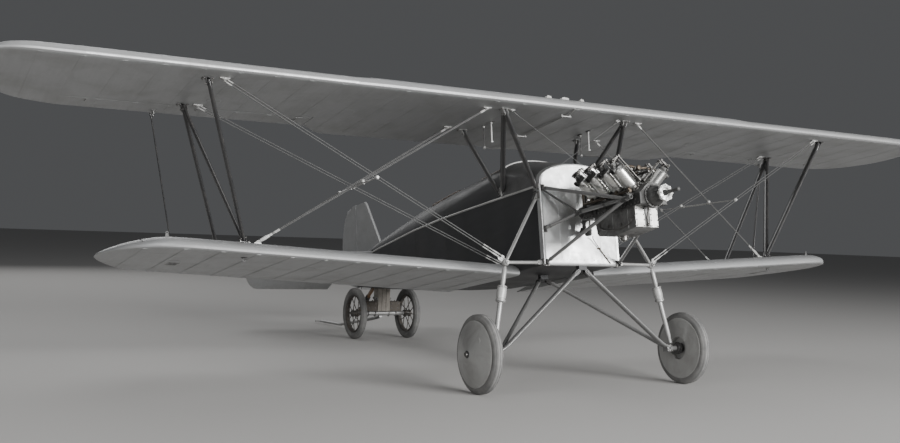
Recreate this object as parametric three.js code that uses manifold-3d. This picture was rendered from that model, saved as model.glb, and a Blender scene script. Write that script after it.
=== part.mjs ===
// A light single-bay biplane with an open water-cooled V-8 and its propeller taken off, parked
// nose-up with its tail on a two-wheeled dolly.
//
// Millimetres. The aircraft is laid out level first: X to port, Y aft, Z up, with the origin on
// the main wheels' axle line. It is then pitched nose-up about that line and stood on the floor.

import * as THREE from 'three';
import { mergeVertices } from 'three/addons/utils/BufferGeometryUtils.js';
import Module from 'manifold-3d';

const wasm = await Module();
wasm.setup();

// Clearances
const SEAT = 0.3;
const RUNNING = 5;

// Attitude and main wheels
const PARK_ANGLE = THREE.MathUtils.degToRad(10);
const WHEEL_RADIUS = 355.6;
const TYRE_WIDTH = 100;
const HALF_TRACK = 1183;
const AXLE_RADIUS = 25;

// Fuselage
const FIREWALL_Y = -30;
const FIREWALL_THICKNESS = 6;
const FUSELAGE_HALF_WIDTH = 438;
const FUSELAGE_WALL = 20;
const CABIN_END_Y = 2720;
const STERNPOST_Y = 5186;

// Wings
const UPPER_SPAN_HALF = 5300;
const UPPER_LE_Y = -165;
const UPPER_TE_Y = 1440;
const AILERON_TE_Y = 1215;
const UPPER_WING_Z = 2314;
const LOWER_SPAN_HALF = 4270;
const LOWER_LE_Y = 392;
const LOWER_TE_Y = 1840;
const LOWER_WING_Z = 734;
const LOWER_DIHEDRAL = 0.058;
const FRONT_SPAR_UPPER_Y = 68;
const REAR_SPAR_UPPER_Y = 873;
const FRONT_SPAR_LOWER_Y = 616;
const REAR_SPAR_LOWER_Y = 1331;

// Ailerons, on the upper wing only
const AILERON_HINGE_Y = 925;
const AILERON_INNER_X = 2330;
const AILERON_OUTER_X = 4560;
const AILERON_ROD_Y = 1185;

// Tail
const TAIL_HINGE_Y = 5215;
const TAILPLANE_Z = 1575;
const TAILPLANE_HALF_SPAN = 1600;
const TAILPLANE_THICKNESS = 46;
const ELEVATOR_CHORD = 600;
const ELEVATOR_INNER_X = 175;
const ELEVATOR_DROOP = THREE.MathUtils.degToRad(33);
const FIN_TOP_Z = 2372;
const RUDDER_CHORD = 520;

// Engine
const THRUST_LINE_Z = 1272;
const HUB_FACE_Y = -1277;
const CYLINDER_FRONT_Y = -978;
const CYLINDER_PITCH = 177;
const CYLINDER_COUNT = 4;

// Tail dolly, in the parked frame
const DOLLY_Y = 4570;
const DOLLY_WHEEL_RADIUS = 335;
const DOLLY_TYRE_WIDTH = 86;
const DOLLY_HALF_TRACK = 385;

const finish = {
  silverFabric: { color: 0xb9bbb8, roughness: 0.62, metalness: 0.1 },
  blackFabric: { color: 0x17181a, roughness: 0.45, metalness: 0.0 },
  blackPaint: { color: 0x141414, roughness: 0.4, metalness: 0.1 },
  aluminium: { color: 0xd7d8d6, roughness: 0.35, metalness: 0.9 },
  castCase: { color: 0x4b4c4b, roughness: 0.6, metalness: 0.6 },
  brightSteel: { color: 0xc2c2bf, roughness: 0.3, metalness: 1.0 },
  steel: { color: 0x6c6c6a, roughness: 0.45, metalness: 0.9 },
  brass: { color: 0xa38a4c, roughness: 0.4, metalness: 1.0 },
  tyre: { color: 0x77767a, roughness: 0.85, metalness: 0.0 },
  wheelPaint: { color: 0x9a9a98, roughness: 0.55, metalness: 0.1 },
  leather: { color: 0x3a2a1e, roughness: 0.6, metalness: 0.0 },
  wood: { color: 0x6d5233, roughness: 0.6, metalness: 0.0 },
};

const V = (x, y, z) => new THREE.Vector3(x, y, z);
const FLIGHT = V(0, 1, 0);

// Solids and booleans

function toManifold(geometry) {
  const bare = geometry.clone();
  bare.deleteAttribute('normal');
  bare.deleteAttribute('uv');
  const merged = mergeVertices(bare, 1e-3);
  return new wasm.Manifold(new wasm.Mesh({
    numProp: 3,
    vertProperties: new Float32Array(merged.attributes.position.array),
    triVerts: new Uint32Array(merged.index.array),
  }));
}

function toGeometry(manifold) {
  const { vertProperties, triVerts, numProp } = manifold.getMesh();
  const geometry = new THREE.BufferGeometry();
  const points = new Float32Array(vertProperties.length / numProp * 3);
  for (let i = 0; i < points.length / 3; i += 1) {
    for (let k = 0; k < 3; k += 1) points[3 * i + k] = vertProperties[numProp * i + k];
  }
  geometry.setAttribute('position', new THREE.BufferAttribute(points, 3));
  geometry.setIndex(new THREE.BufferAttribute(new Uint32Array(triVerts), 1));
  geometry.computeVertexNormals();
  return geometry;
}

function join(...parts) {
  return parts.flat().map(asManifold).reduce((whole, part) => whole.add(part));
}

function cut(body, ...tools) {
  return tools.flat().map(asManifold).reduce((rest, tool) => rest.subtract(tool), asManifold(body));
}

function common(body, tool) {
  return asManifold(body).intersect(asManifold(tool));
}

function asManifold(part) {
  return part.isBufferGeometry ? toManifold(part) : part;
}

function addMesh(parent, name, body, look) {
  const geometry = body.isBufferGeometry ? body : toGeometry(body);
  const mesh = new THREE.Mesh(geometry, new THREE.MeshStandardMaterial(finish[look]));
  mesh.name = name;
  parent.add(mesh);
  return mesh;
}

// Basic shapes

function box(low, high) {
  const size = high.clone().sub(low);
  const geometry = new THREE.BoxGeometry(size.x, size.y, size.z);
  geometry.translate((low.x + high.x) / 2, (low.y + high.y) / 2, (low.z + high.z) / 2);
  return geometry;
}

function boxBetween(a, b) {
  return box(a.clone().min(b), a.clone().max(b));
}

// A straight bar of any round section from a to b, with an even number of sides. The section's
// height lies along the flight direction.
function barOf(section, a, b, sides, chordwise = FLIGHT) {
  const along = b.clone().sub(a);
  const length = along.length();
  along.normalize();
  const across = chordwise.clone().cross(along).normalize();
  const chord = along.clone().cross(across);
  const geometry = new THREE.ExtrudeGeometry(section, {
    depth: length, bevelEnabled: false, curveSegments: sides / 2,
  });
  geometry.applyMatrix4(new THREE.Matrix4().makeBasis(across, chord, along).setPosition(a));
  return geometry;
}

function ellipse(width, height) {
  return new THREE.Shape().absellipse(0, 0, width / 2, height / 2, 0, 2 * Math.PI);
}

function rod(a, b, diameter, sides = 8) {
  const hint = Math.abs(b.clone().sub(a).normalize().y) > 0.99 ? V(1, 0, 0) : FLIGHT;
  return barOf(ellipse(diameter, diameter), a, b, sides, hint);
}

function strut(a, b, thickness, chord) {
  return barOf(ellipse(thickness, chord), a, b, 10);
}

function ball(centre, radius, segments = 8) {
  const geometry = new THREE.SphereGeometry(radius, segments, Math.max(4, segments / 2));
  geometry.translate(centre.x, centre.y, centre.z);
  return geometry;
}

// A turned shape: rows of [radius, distance along the axis]; the axis is X or Y.
function turned(profile, axis, segments) {
  const points = profile.map(([r, d]) => new THREE.Vector2(r, d));
  const geometry = new THREE.LatheGeometry(points, segments);
  if (axis === 'x') geometry.rotateZ(-Math.PI / 2);
  return geometry;
}

// A closed skin through rings of points; every ring has the same number of points.
function skin(rings) {
  const count = rings[0].length;
  const position = rings.flat().flatMap((p) => [p.x, p.y, p.z]);
  const index = [];
  for (let r = 0; r + 1 < rings.length; r += 1) {
    for (let i = 0; i < count; i += 1) {
      const a = r * count + i;
      const b = r * count + (i + 1) % count;
      index.push(a, b, a + count, b, b + count, a + count);
    }
  }
  for (const [start, flip] of [[0, true], [(rings.length - 1) * count, false]]) {
    const ring = rings[start / count];
    const normal = ringNormal(ring);
    const side = V(0, 0, 1).cross(normal).length() > 0.1 ? V(0, 0, 1) : V(0, 1, 0);
    const u = side.clone().cross(normal).normalize();
    const w = normal.clone().cross(u);
    const flat = ring.map((p) => new THREE.Vector2(p.dot(u), p.dot(w)));
    for (const [a, b, c] of THREE.ShapeUtils.triangulateShape(flat, [])) {
      index.push(...(flip ? [start + a, start + c, start + b] : [start + a, start + b, start + c]));
    }
  }
  const geometry = new THREE.BufferGeometry();
  geometry.setAttribute('position', new THREE.Float32BufferAttribute(position, 3));
  geometry.setIndex(index);
  return geometry;
}

function ringNormal(ring) {
  const normal = V(0, 0, 0);
  ring.forEach((p, i) => {
    const q = ring[(i + 1) % ring.length];
    normal.x += (p.y - q.y) * (p.z + q.z);
    normal.y += (p.z - q.z) * (p.x + q.x);
    normal.z += (p.x - q.x) * (p.y + q.y);
  });
  return normal.normalize();
}

function mirrored(point, side) {
  return V(point.x * side, point.y, point.z);
}

const SIDES = [
  { side: -1, name: 'starboard' },
  { side: 1, name: 'port' },
];

// Fuselage sections: flat sides and bottom, arched top deck
const FUSELAGE_STATIONS = [
  { y: FIREWALL_Y, half: 438, bottom: 812, shoulder: 1610, crown: 1795 },
  { y: 620, half: 442, bottom: 800, shoulder: 1800, crown: 1970 },
  { y: 1450, half: 436, bottom: 800, shoulder: 1700, crown: 1950 },
  { y: 1900, half: 425, bottom: 806, shoulder: 1660, crown: 1940 },
  { y: CABIN_END_Y, half: 372, bottom: 880, shoulder: 1600, crown: 1900 },
  { y: 4000, half: 220, bottom: 1045, shoulder: 1580, crown: 1745 },
  { y: STERNPOST_Y, half: 34, bottom: 1200, shoulder: 1570, crown: 1606 },
];
const DECK_STEPS = 10;

function fuselageRing({ y, half, bottom, shoulder, crown }, grow) {
  const ring = [
    V(-half - grow, y, bottom - grow),
    V(half + grow, y, bottom - grow),
    V(half + grow, y, shoulder),
  ];
  for (let i = 1; i < DECK_STEPS; i += 1) {
    const turn = Math.PI * i / DECK_STEPS;
    const z = shoulder + (crown + grow - shoulder) * Math.sin(turn);
    ring.push(V((half + grow) * Math.cos(turn), y, z));
  }
  ring.push(V(-half - grow, y, shoulder));
  return ring;
}

function stationAt(y) {
  const after = FUSELAGE_STATIONS.findIndex((s) => s.y >= y);
  const [a, b] = [FUSELAGE_STATIONS[Math.max(0, after - 1)], FUSELAGE_STATIONS[after]];
  const t = b.y === a.y ? 0 : (y - a.y) / (b.y - a.y);
  const mix = (key) => a[key] + (b[key] - a[key]) * t;
  return { y, half: mix('half'), bottom: mix('bottom'), shoulder: mix('shoulder'), crown: mix('crown') };
}

function fuselageBody(fromY, toY, grow = 0) {
  const inner = FUSELAGE_STATIONS.filter((s) => s.y > fromY + 1 && s.y < toY - 1);
  const stations = [stationAt(fromY), ...inner, stationAt(toY)];
  return oriented(skin(stations.map((s) => fuselageRing(s, grow))));
}

// Cockpit openings: rows of front and rear edge, half width and seat place
const COCKPITS = [
  { name: 'front', front: 640, rear: 1330, half: 300, seatY: 1010 },
  { name: 'rear', front: 1760, rear: 2480, half: 285, seatY: 2150 },
];

const COCKPIT_CORNER = 150;
const COCKPIT_CUT = { depth: 700, bevelEnabled: false, curveSegments: 4 };
const COCKPIT_CUT_Z = 1560;

function cockpitHole({ front, rear, half }) {
  const radius = COCKPIT_CORNER;
  const outline = new THREE.Shape();
  outline.moveTo(-half, front);
  outline.lineTo(half, front);
  outline.lineTo(half, rear - radius);
  outline.absarc(half - radius, rear - radius, radius, 0, Math.PI / 2, false);
  outline.absarc(radius - half, rear - radius, radius, Math.PI / 2, Math.PI, false);
  const geometry = new THREE.ExtrudeGeometry(outline, COCKPIT_CUT);
  geometry.translate(0, 0, COCKPIT_CUT_Z);
  return geometry;
}

// The belly is cut flat over the lower wings' roots
const LOWER_WING_SEAT_Z = 799;

const solidFuselage = fuselageBody(FIREWALL_Y, STERNPOST_Y, SEAT);

function cabinSpace(shrink) {
  const [from, to] = [FIREWALL_Y + FUSELAGE_WALL, CABIN_END_Y - FUSELAGE_WALL];
  return fuselageBody(from, to, -FUSELAGE_WALL - shrink);
}

function buildFuselage(parent) {
  const outer = fuselageBody(FIREWALL_Y, CABIN_END_Y);
  const hollow = cabinSpace(0);
  const keelFittings = GEAR_FITTINGS.map(({ y }) => gearFitting(y, 0));
  const lowerWingSeat = box(V(-500, LOWER_LE_Y, 700), V(500, LOWER_TE_Y, LOWER_WING_SEAT_Z));
  const shell = cut(outer, hollow, COCKPITS.map(cockpitHole), lowerWingSeat);
  addMesh(parent, 'fuselage_front', join(shell, keelFittings), 'blackFabric');
  const rear = fuselageBody(CABIN_END_Y + SEAT, STERNPOST_Y);
  const sternLug = rudderLug(RUDDER_HINGES[0], STERNPOST_Y);
  addMesh(parent, 'fuselage_rear', join(cut(rear, tailSlots()), sternLug), 'blackFabric');
  buildFirewall(parent);
  buildCockpits(parent);
}

function tailSlots() {
  const room = SEAT + TAILPLANE_THICKNESS / 2;
  return [
    box(V(-400, TAILPLANE_ROOT_LE_Y - 2, TAILPLANE_Z - room), V(400, STERNPOST_Y + 60, TAILPLANE_Z + room)),
    box(V(-FIN_THICKNESS / 2 - SEAT, FIN_ROOT_Y - 2, TAILPLANE_Z), V(FIN_THICKNESS / 2 + SEAT, 5400, 2200)),
  ];
}

function buildFirewall(parent) {
  const face = fuselageRing(FUSELAGE_STATIONS[0], 0).map((p) => new THREE.Vector2(p.x, p.z));
  const plate = new THREE.ExtrudeGeometry(new THREE.Shape(face), {
    depth: FIREWALL_THICKNESS, bevelEnabled: false,
  });
  plate.rotateX(Math.PI / 2);
  plate.translate(0, FIREWALL_Y - SEAT, 0);
  addMesh(parent, 'firewall', plate, 'aluminium');
}

// Seat pans with a back, one piece of bent sheet each, on two legs
const SEAT_PAN = { half: 190, ahead: 60, depth: 380, rise: 300, top: 560, side: 190, sheet: 14 };
const SEAT_LEG = { x: 150, half: 12, length: 290 };

function seatBody(seatY) {
  const { half, ahead, depth, rise, top, side, sheet } = SEAT_PAN;
  const floorZ = stationAt(seatY + depth).bottom + FUSELAGE_WALL;
  const baseZ = floorZ + rise;
  const backY = seatY + depth - ahead;
  return join(
    box(V(-half, seatY - ahead, baseZ), V(half, backY, baseZ + sheet)),
    box(V(-half, backY - sheet, baseZ), V(half, backY, baseZ + top)),
    [-1, 1].map((s) => box(
      V(s * half - sheet / 2, seatY - ahead / 2, baseZ),
      V(s * half + sheet / 2, backY, baseZ + side),
    )),
    [-1, 1].map((s) => box(
      V(s * SEAT_LEG.x - SEAT_LEG.half, seatY, floorZ - 60),
      V(s * SEAT_LEG.x + SEAT_LEG.half, seatY + SEAT_LEG.length, baseZ + 2),
    )),
  );
}

function buildCockpits(parent) {
  for (const { name, seatY } of COCKPITS) {
    addMesh(parent, `seat_${name}`, common(seatBody(seatY), cabinSpace(SEAT)), 'leather');
    addMesh(parent, `instrument_panel_${name}`, instrumentPanel(name), 'wood');
    addMesh(parent, `control_stick_${name}`, controlStick(seatY), 'steel');
  }
}

const PANEL = { ahead: 70, thickness: 8, low: 1480 };

function instrumentPanel(name) {
  const { front } = COCKPITS.find((c) => c.name === name);
  const y = front - PANEL.ahead;
  const station = stationAt(y);
  const board = box(V(-station.half, y - PANEL.thickness, PANEL.low), V(station.half, y, station.crown));
  return common(board, cabinSpace(SEAT));
}

function controlStick(seatY) {
  const y = seatY - 230;
  const floorZ = stationAt(y).bottom + FUSELAGE_WALL;
  const stick = join(
    rod(V(0, y, floorZ + 30), V(0, y + 60, floorZ + 620), 26),
    box(V(-50, y - 50, floorZ - 20), V(50, y + 50, floorZ + 40)),
  );
  return common(stick, cabinSpace(SEAT));
}

// Wing sections: fraction of chord, upper and lower height as fractions of chord
const AEROFOIL = [
  { at: 0.0, top: 0.03, low: 0.014 },
  { at: 0.02, top: 0.052, low: 0.002 },
  { at: 0.1, top: 0.082, low: 0.0 },
  { at: 0.28, top: 0.098, low: 0.0 },
  { at: 0.5, top: 0.088, low: 0.0 },
  { at: 0.75, top: 0.052, low: 0.0 },
  { at: 1.0, top: 0.006, low: 0.0 },
];

function wingRing({ x, front, rear, z, thin = 1 }) {
  const chord = rear - front;
  const upper = AEROFOIL.map(({ at, top }) => V(x, front + at * chord, z + top * chord * thin));
  const lower = AEROFOIL.map(({ at, low }) => V(x, front + at * chord, z + low * chord * thin));
  return [...upper.reverse(), ...lower];
}

// Rounded tips: rows of distance in from the tip, how far the leading edge falls back and the
// trailing edge comes forward there, and how much of the section's height is left
const UPPER_TIP = [
  { inset: 700, front: 0, rear: 0, thin: 1 },
  { inset: 400, front: 0, rear: 95, thin: 1 },
  { inset: 240, front: 15, rear: 215, thin: 0.95 },
  { inset: 120, front: 75, rear: 365, thin: 0.85 },
  { inset: 40, front: 195, rear: 535, thin: 0.65 },
  { inset: 0, front: 415, rear: 765, thin: 0.4 },
];
const LOWER_TIP = [
  { inset: 670, front: 0, rear: 0, thin: 1 },
  { inset: 470, front: 33, rear: 0, thin: 1 },
  { inset: 270, front: 168, rear: 140, thin: 0.95 },
  { inset: 120, front: 348, rear: 360, thin: 0.85 },
  { inset: 30, front: 528, rear: 560, thin: 0.65 },
  { inset: 0, front: 658, rear: 700, thin: 0.4 },
];

function upperHalfStations() {
  const inner = [
    { x: 0, front: UPPER_LE_Y, rear: UPPER_TE_Y },
    { x: 2090, front: UPPER_LE_Y, rear: UPPER_TE_Y },
    { x: 2310, front: UPPER_LE_Y, rear: AILERON_TE_Y },
  ];
  const outer = UPPER_TIP.map(({ inset, front, rear, thin }) => ({
    x: UPPER_SPAN_HALF - inset, front: UPPER_LE_Y + front, rear: AILERON_TE_Y - rear, thin,
  }));
  return [...inner, ...outer].map((s) => ({ ...s, z: UPPER_WING_Z }));
}

function lowerHalfStations() {
  const root = { x: FUSELAGE_HALF_WIDTH + 6, front: LOWER_LE_Y, rear: LOWER_TE_Y };
  const outer = LOWER_TIP.map(({ inset, front, rear, thin }) => ({
    x: LOWER_SPAN_HALF - inset, front: LOWER_LE_Y + front, rear: LOWER_TE_Y - rear, thin,
  }));
  return [root, ...outer].map((s) => ({ ...s, z: LOWER_WING_Z + LOWER_DIHEDRAL * s.x }));
}

function halfWing(stations, side) {
  const rings = stations.map((s) => wingRing({ ...s, x: s.x * side }));
  return side > 0 ? rings : rings.reverse();
}

function upperWingBody() {
  const stations = upperHalfStations();
  const rings = [...halfWing(stations.slice(1), -1), ...halfWing(stations, 1)];
  return oriented(skin(rings));
}

function lowerWingBody(side) {
  return oriented(skin(halfWing(lowerHalfStations(), side)));
}

// Turns a closed skin's faces outwards if they point in
function oriented(geometry) {
  const index = geometry.index.array;
  const p = geometry.attributes.position;
  const corner = (i) => V(p.getX(index[i]), p.getY(index[i]), p.getZ(index[i]));
  let volume = 0;
  for (let i = 0; i < index.length; i += 3) {
    volume += corner(i).dot(corner(i + 1).cross(corner(i + 2)));
  }
  if (volume < 0) {
    for (let i = 0; i < index.length; i += 3) [index[i + 1], index[i + 2]] = [index[i + 2], index[i + 1]];
  }
  return toManifold(geometry);
}

// Limits of the room cut out of the upper wing for an aileron
const WING_UNDER = 2200;
const WING_OVER = 2600;
const WING_BEHIND = 1700;

// Underneath, the wing's lip ends before the hinge line and the blade starts behind it
const LIP_OFFSET = 10;
const BLADE_OFFSET = 30;
const AILERON_NOSE = 28;
const AILERON_HINGE_Z = UPPER_WING_Z + 36;
const HINGE_DISC = { radius: 22, width: 16 };
const AILERON_HINGES = [2480, 3420, 4380];

function hingeLug(centre, toward, axis = 'x') {
  const half = HINGE_DISC.width / 2;
  const across = axis === 'x' ? V(half, 0, 0) : V(0, 0, half);
  const disc = rod(centre.clone().sub(across), centre.clone().add(across), HINGE_DISC.radius * 2, 12);
  const pad = axis === 'x' ? V(half, 0, 12) : V(12, 0, half);
  return join(disc, box(toward.clone().sub(pad), centre.clone().add(pad)));
}

function buildWings(parent, moving) {
  const whole = upperWingBody();
  const bay = AILERON_NOSE + RUNNING;
  const baySolid = (side) => {
    const a = V(side * (AILERON_INNER_X - RUNNING), AILERON_HINGE_Y, AILERON_HINGE_Z);
    const b = V(side * (AILERON_OUTER_X + RUNNING), AILERON_HINGE_Y, AILERON_HINGE_Z);
    return join(
      boxBetween(a.clone().setZ(WING_UNDER), b.clone().setY(WING_BEHIND).setZ(WING_OVER)),
      rod(a, b, 2 * bay, 16),
      boxBetween(a.clone().setY(AILERON_HINGE_Y - LIP_OFFSET), b.clone().setZ(WING_UNDER)),
    );
  };
  const lugs = SIDES.flatMap(({ side }) => AILERON_HINGES.map((x) => hingeLug(
    V(side * x, AILERON_HINGE_Y, AILERON_HINGE_Z),
    V(side * x, AILERON_HINGE_Y - bay - 20, AILERON_HINGE_Z),
  )));
  const trimmed = cut(whole, SIDES.map(({ side }) => baySolid(side)));
  addMesh(parent, 'upper_wing', join(trimmed, lugs), 'silverFabric');
  for (const { side, name } of SIDES) {
    const aileron = aileronBody(whole, side);
    aileron.translate(0, -AILERON_HINGE_Y, -AILERON_HINGE_Z);
    const pivot = moving(`aileron_${name}`, V(0, AILERON_HINGE_Y, AILERON_HINGE_Z));
    addMesh(pivot, `aileron_${name}`, aileron, 'silverFabric');
    buildAileronRod(pivot, side, name, moving);
    addMesh(parent, `lower_wing_${name}`, cut(lowerWingBody(side), rodSlot(side)), 'silverFabric');
  }
}

function aileronBody(whole, side) {
  const a = V(side * AILERON_INNER_X, AILERON_HINGE_Y, AILERON_HINGE_Z);
  const b = V(side * AILERON_OUTER_X, AILERON_HINGE_Y, AILERON_HINGE_Z);
  const farCorner = b.clone().setY(WING_BEHIND).setZ(WING_OVER);
  const bladeRoom = join(
    boxBetween(a, farCorner),
    boxBetween(a.clone().setY(AILERON_HINGE_Y + BLADE_OFFSET).setZ(WING_UNDER), farCorner),
  );
  const blade = common(whole, bladeRoom);
  const nose = rod(a, b, 2 * AILERON_NOSE, 16);
  const slots = AILERON_HINGES.map((x) => {
    const half = HINGE_DISC.width / 2 + 0.4;
    const rear = AILERON_HINGE_Y + HINGE_DISC.radius + RUNNING;
    return box(V(side * x - half, AILERON_HINGE_Y - 80, WING_UNDER), V(side * x + half, rear, WING_OVER));
  });
  const horn = aileronHorn(side);
  return toGeometry(join(cut(join(blade, nose), slots), horn));
}

function aileronRodEnds(side) {
  return {
    high: V(side * 3780, AILERON_ROD_Y, UPPER_WING_Z - 34),
    low: V(side * 3560, AILERON_ROD_Y + 110, LOWER_WING_Z + LOWER_DIHEDRAL * 3560 + 30),
  };
}

// The slot in the lower wing in which the rod's lower end travels
const ROD_SLOT = { inboard: 22, outboard: 46, ahead: 74, behind: 44, reach: 150 };

function rodSlot(side) {
  const { low } = aileronRodEnds(side);
  const { inboard, outboard, ahead, behind, reach } = ROD_SLOT;
  return boxBetween(
    V(low.x - side * inboard, low.y - ahead, low.z - reach),
    V(low.x + side * outboard, low.y + behind, low.z + reach),
  );
}

function aileronHorn(side) {
  const { high } = aileronRodEnds(side);
  return box(V(high.x - 24, high.y - 20, high.z - 14), V(high.x - 12, high.y + 20, UPPER_WING_Z + 12));
}

function buildAileronRod(pivot, side, name, moving) {
  const { high, low } = aileronRodEnds(side);
  const pin = high.clone().sub(V(0, AILERON_HINGE_Y, AILERON_HINGE_Z));
  const link = moving(`aileron_rod_${name}`, pin, pivot);
  const body = join(
    barOf(ellipse(14, 30), V(0, 0, 0), low.clone().sub(high), 8),
    box(V(-11.5, -12, -14), V(11.5, 12, 12)),
  );
  addMesh(link, `aileron_rod_${name}`, body, 'blackPaint');
}

// Interplane N struts, cabane N struts
const STRUT = { thickness: 32, chord: 78 };

function upperSeat(x, y) {
  return V(x, y, UPPER_WING_Z - SEAT);
}

function lowerSurfaceZ(x, y) {
  const chord = LOWER_TE_Y - LOWER_LE_Y;
  const f = (y - LOWER_LE_Y) / chord;
  const after = AEROFOIL.findIndex((row) => row.at >= f);
  const [a, b] = [AEROFOIL[after - 1], AEROFOIL[after]];
  const top = a.top + (b.top - a.top) * (f - a.at) / (b.at - a.at);
  return LOWER_WING_Z + LOWER_DIHEDRAL * Math.abs(x) + top * chord;
}

const FOOT = { x: 22, y: 38, z: 46 };

function foot(point, down) {
  const corner = V(FOOT.x, FOOT.y, down ? FOOT.z : -FOOT.z);
  return boxBetween(point.clone().sub(V(FOOT.x, FOOT.y, 0)), point.clone().add(corner));
}

function interplaneStruts(side) {
  const topFront = mirrored(upperSeat(3574, FRONT_SPAR_UPPER_Y), side);
  const topRear = mirrored(upperSeat(3577, REAR_SPAR_UPPER_Y), side);
  const bottomFront = mirrored(V(3118, FRONT_SPAR_LOWER_Y, lowerSurfaceZ(3118, FRONT_SPAR_LOWER_Y)), side);
  const bottomRear = mirrored(V(3128, REAR_SPAR_LOWER_Y, lowerSurfaceZ(3128, REAR_SPAR_LOWER_Y)), side);
  const legs = [
    [topFront, bottomFront],
    [topRear, bottomRear],
    [topRear, bottomFront],
  ].map(([a, b]) => strut(a, b, STRUT.thickness, STRUT.chord));
  const feet = [
    ...[topFront, topRear].map((p) => foot(p, false)),
    ...[bottomFront, bottomRear].map((p) => foot(p, true)),
  ];
  return cut(join(legs, feet), aboveUpperWing(), grownLowerWing(side));
}

// What rises into the upper wing is trimmed at its underside
function aboveUpperWing() {
  return box(V(-6000, -800, UPPER_WING_Z - SEAT), V(6000, 2000, UPPER_WING_Z + 200));
}

// The lower wing raised by the seating gap, used only to trim what stands on it
function grownLowerWing(side) {
  return lowerWingBody(side).translate(0, 0, SEAT).add(lowerWingBody(side));
}

const CABANE = {
  topX: 724,
  frontTopY: 60,
  rearTopY: 873,
  footX: 448,
  frontFoot: { y: 20, z: 1560 },
  rearFoot: { y: 712, z: 1600 },
};

function cabaneStruts(side) {
  const { topX, frontTopY, rearTopY, footX, frontFoot, rearFoot } = CABANE;
  const topFront = mirrored(upperSeat(topX, frontTopY), side);
  const topRear = mirrored(upperSeat(topX, rearTopY), side);
  const footFront = mirrored(V(footX, frontFoot.y, frontFoot.z), side);
  const footRear = mirrored(V(footX, rearFoot.y, rearFoot.z), side);
  const legs = [[topFront, footFront], [topRear, footRear], [topFront, footRear]]
    .map(([a, b]) => strut(a, b, STRUT.thickness, STRUT.chord));
  const plates = [footFront, footRear].map((p) => box(
    V(p.x - 12, p.y - 45, p.z - 30), V(p.x + 12, p.y + 45, p.z + 30),
  ));
  const feet = [foot(topFront, false), foot(topRear, false)];
  return cut(join(legs, plates, feet), aboveUpperWing(), solidFuselage);
}

// Flying and landing wires of one side, clamped to the spreader bar where they cross
const WIRE_DIAMETER = 9;

function bracingWires(side) {
  const m = (x, y, z) => V(x * side, y, z);
  const topFront = m(3447, 30, UPPER_WING_Z - SEAT - 8);
  const topRear = m(3447, 850, UPPER_WING_Z - SEAT - 8);
  const node = m(OUTRIGGER_NODE.x + 30, OUTRIGGER_NODE.y, OUTRIGGER_NODE.z + 44);
  const rootRear = m(FUSELAGE_HALF_WIDTH + 14, 950, 940);
  const innerFront = m(905, 79, UPPER_WING_Z - SEAT - 8);
  const innerRear = m(930, 818, UPPER_WING_Z - SEAT - 8);
  const bottomFront = m(3000, FRONT_SPAR_LOWER_Y, lowerSurfaceZ(3000, FRONT_SPAR_LOWER_Y) + 12);
  const bottomRear = m(3000, REAR_SPAR_LOWER_Y, lowerSurfaceZ(3000, REAR_SPAR_LOWER_Y) + 12);
  const wires = [[node, topFront], [rootRear, topRear], [innerFront, bottomFront], [innerRear, bottomRear]];
  const at = ([a, b], x) => a.clone().lerp(b, (x * side - a.x) / (b.x - a.x));
  const crossFront = at(wires[0], 2110);
  const crossRear = at(wires[3], 2010);
  const spreader = rod(crossFront, crossRear, 26, 8);
  const clamps = [at(wires[1], 2010), at(wires[2], 2080)].map((p) => {
    const onBar = nearestOn(crossFront, crossRear, p);
    return rod(p, onBar, 16, 6);
  });
  const lugs = [topFront, topRear, innerFront, innerRear].map((p) => box(
    V(p.x - 25, p.y - 8, p.z - 6), V(p.x + 25, p.y + 8, p.z + 8),
  ));
  const feet = [bottomFront, bottomRear].map((p) => box(
    V(p.x - 25, p.y - 8, p.z - 12), V(p.x + 25, p.y + 8, p.z + 6),
  ));
  const rods = wires.map(([a, b]) => rod(a, b, WIRE_DIAMETER, 6));
  return cut(join(rods, spreader, clamps, lugs, feet), grownLowerWing(side), solidFuselage);
}

function nearestOn(a, b, p) {
  const along = b.clone().sub(a);
  const t = THREE.MathUtils.clamp(p.clone().sub(a).dot(along) / along.lengthSq(), 0, 1);
  return a.clone().addScaledVector(along, t);
}

// Undercarriage: outrigger truss, vee of legs, sprung strut, stub axle
const OUTRIGGER_NODE = V(855, -3, 827);
const GEAR_FITTINGS = [{ y: -4, z: 806 }, { y: 651, z: 796 }];
const KNUCKLE = V(985, 0, 0);

function gearFitting(y, grow) {
  const { z } = GEAR_FITTINGS.find((f) => f.y === y);
  return box(V(-45 - grow, y - 25 - grow, z - 40 - grow), V(45 + grow, y + 25 + grow, z + 24));
}

function knuckle(side, grow = 0) {
  const c = mirrored(KNUCKLE, side);
  return box(V(c.x - 38 - grow, -42 - grow, -34 - grow), V(c.x + 38 + grow, 42 + grow, 34 + grow));
}

function gearLegs(side) {
  const hub = mirrored(V(KNUCKLE.x - 20, 0, 10), side);
  const legs = GEAR_FITTINGS.map(({ y, z }) => strut(V(20 * side, y, z - 22), hub, 34, 76));
  const stub = rod(mirrored(KNUCKLE, side), mirrored(V(HALF_TRACK + 55, 0, 0), side), 2 * AXLE_RADIUS, 24);
  const fittings = GEAR_FITTINGS.map(({ y }) => gearFitting(y, SEAT));
  const centre = boxBetween(V(0, -600, 600), V(-400 * side, 900, 900));
  return cut(join(legs, knuckle(side), stub), centre, fittings, solidFuselage);
}

function outrigger(side, grow = 0) {
  const node = mirrored(OUTRIGGER_NODE, side);
  const lowerEnd = mirrored(V(FUSELAGE_HALF_WIDTH - 6, 18, 836), side);
  const upperEnd = mirrored(V(FUSELAGE_HALF_WIDTH - 6, 24, 1480), side);
  const tubes = join(
    strut(node, lowerEnd, 30 + grow, 52 + grow),
    strut(node, upperEnd, 26 + grow, 60 + grow),
  );
  return join(tubes, ball(node, 42 + grow, 12));
}

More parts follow.
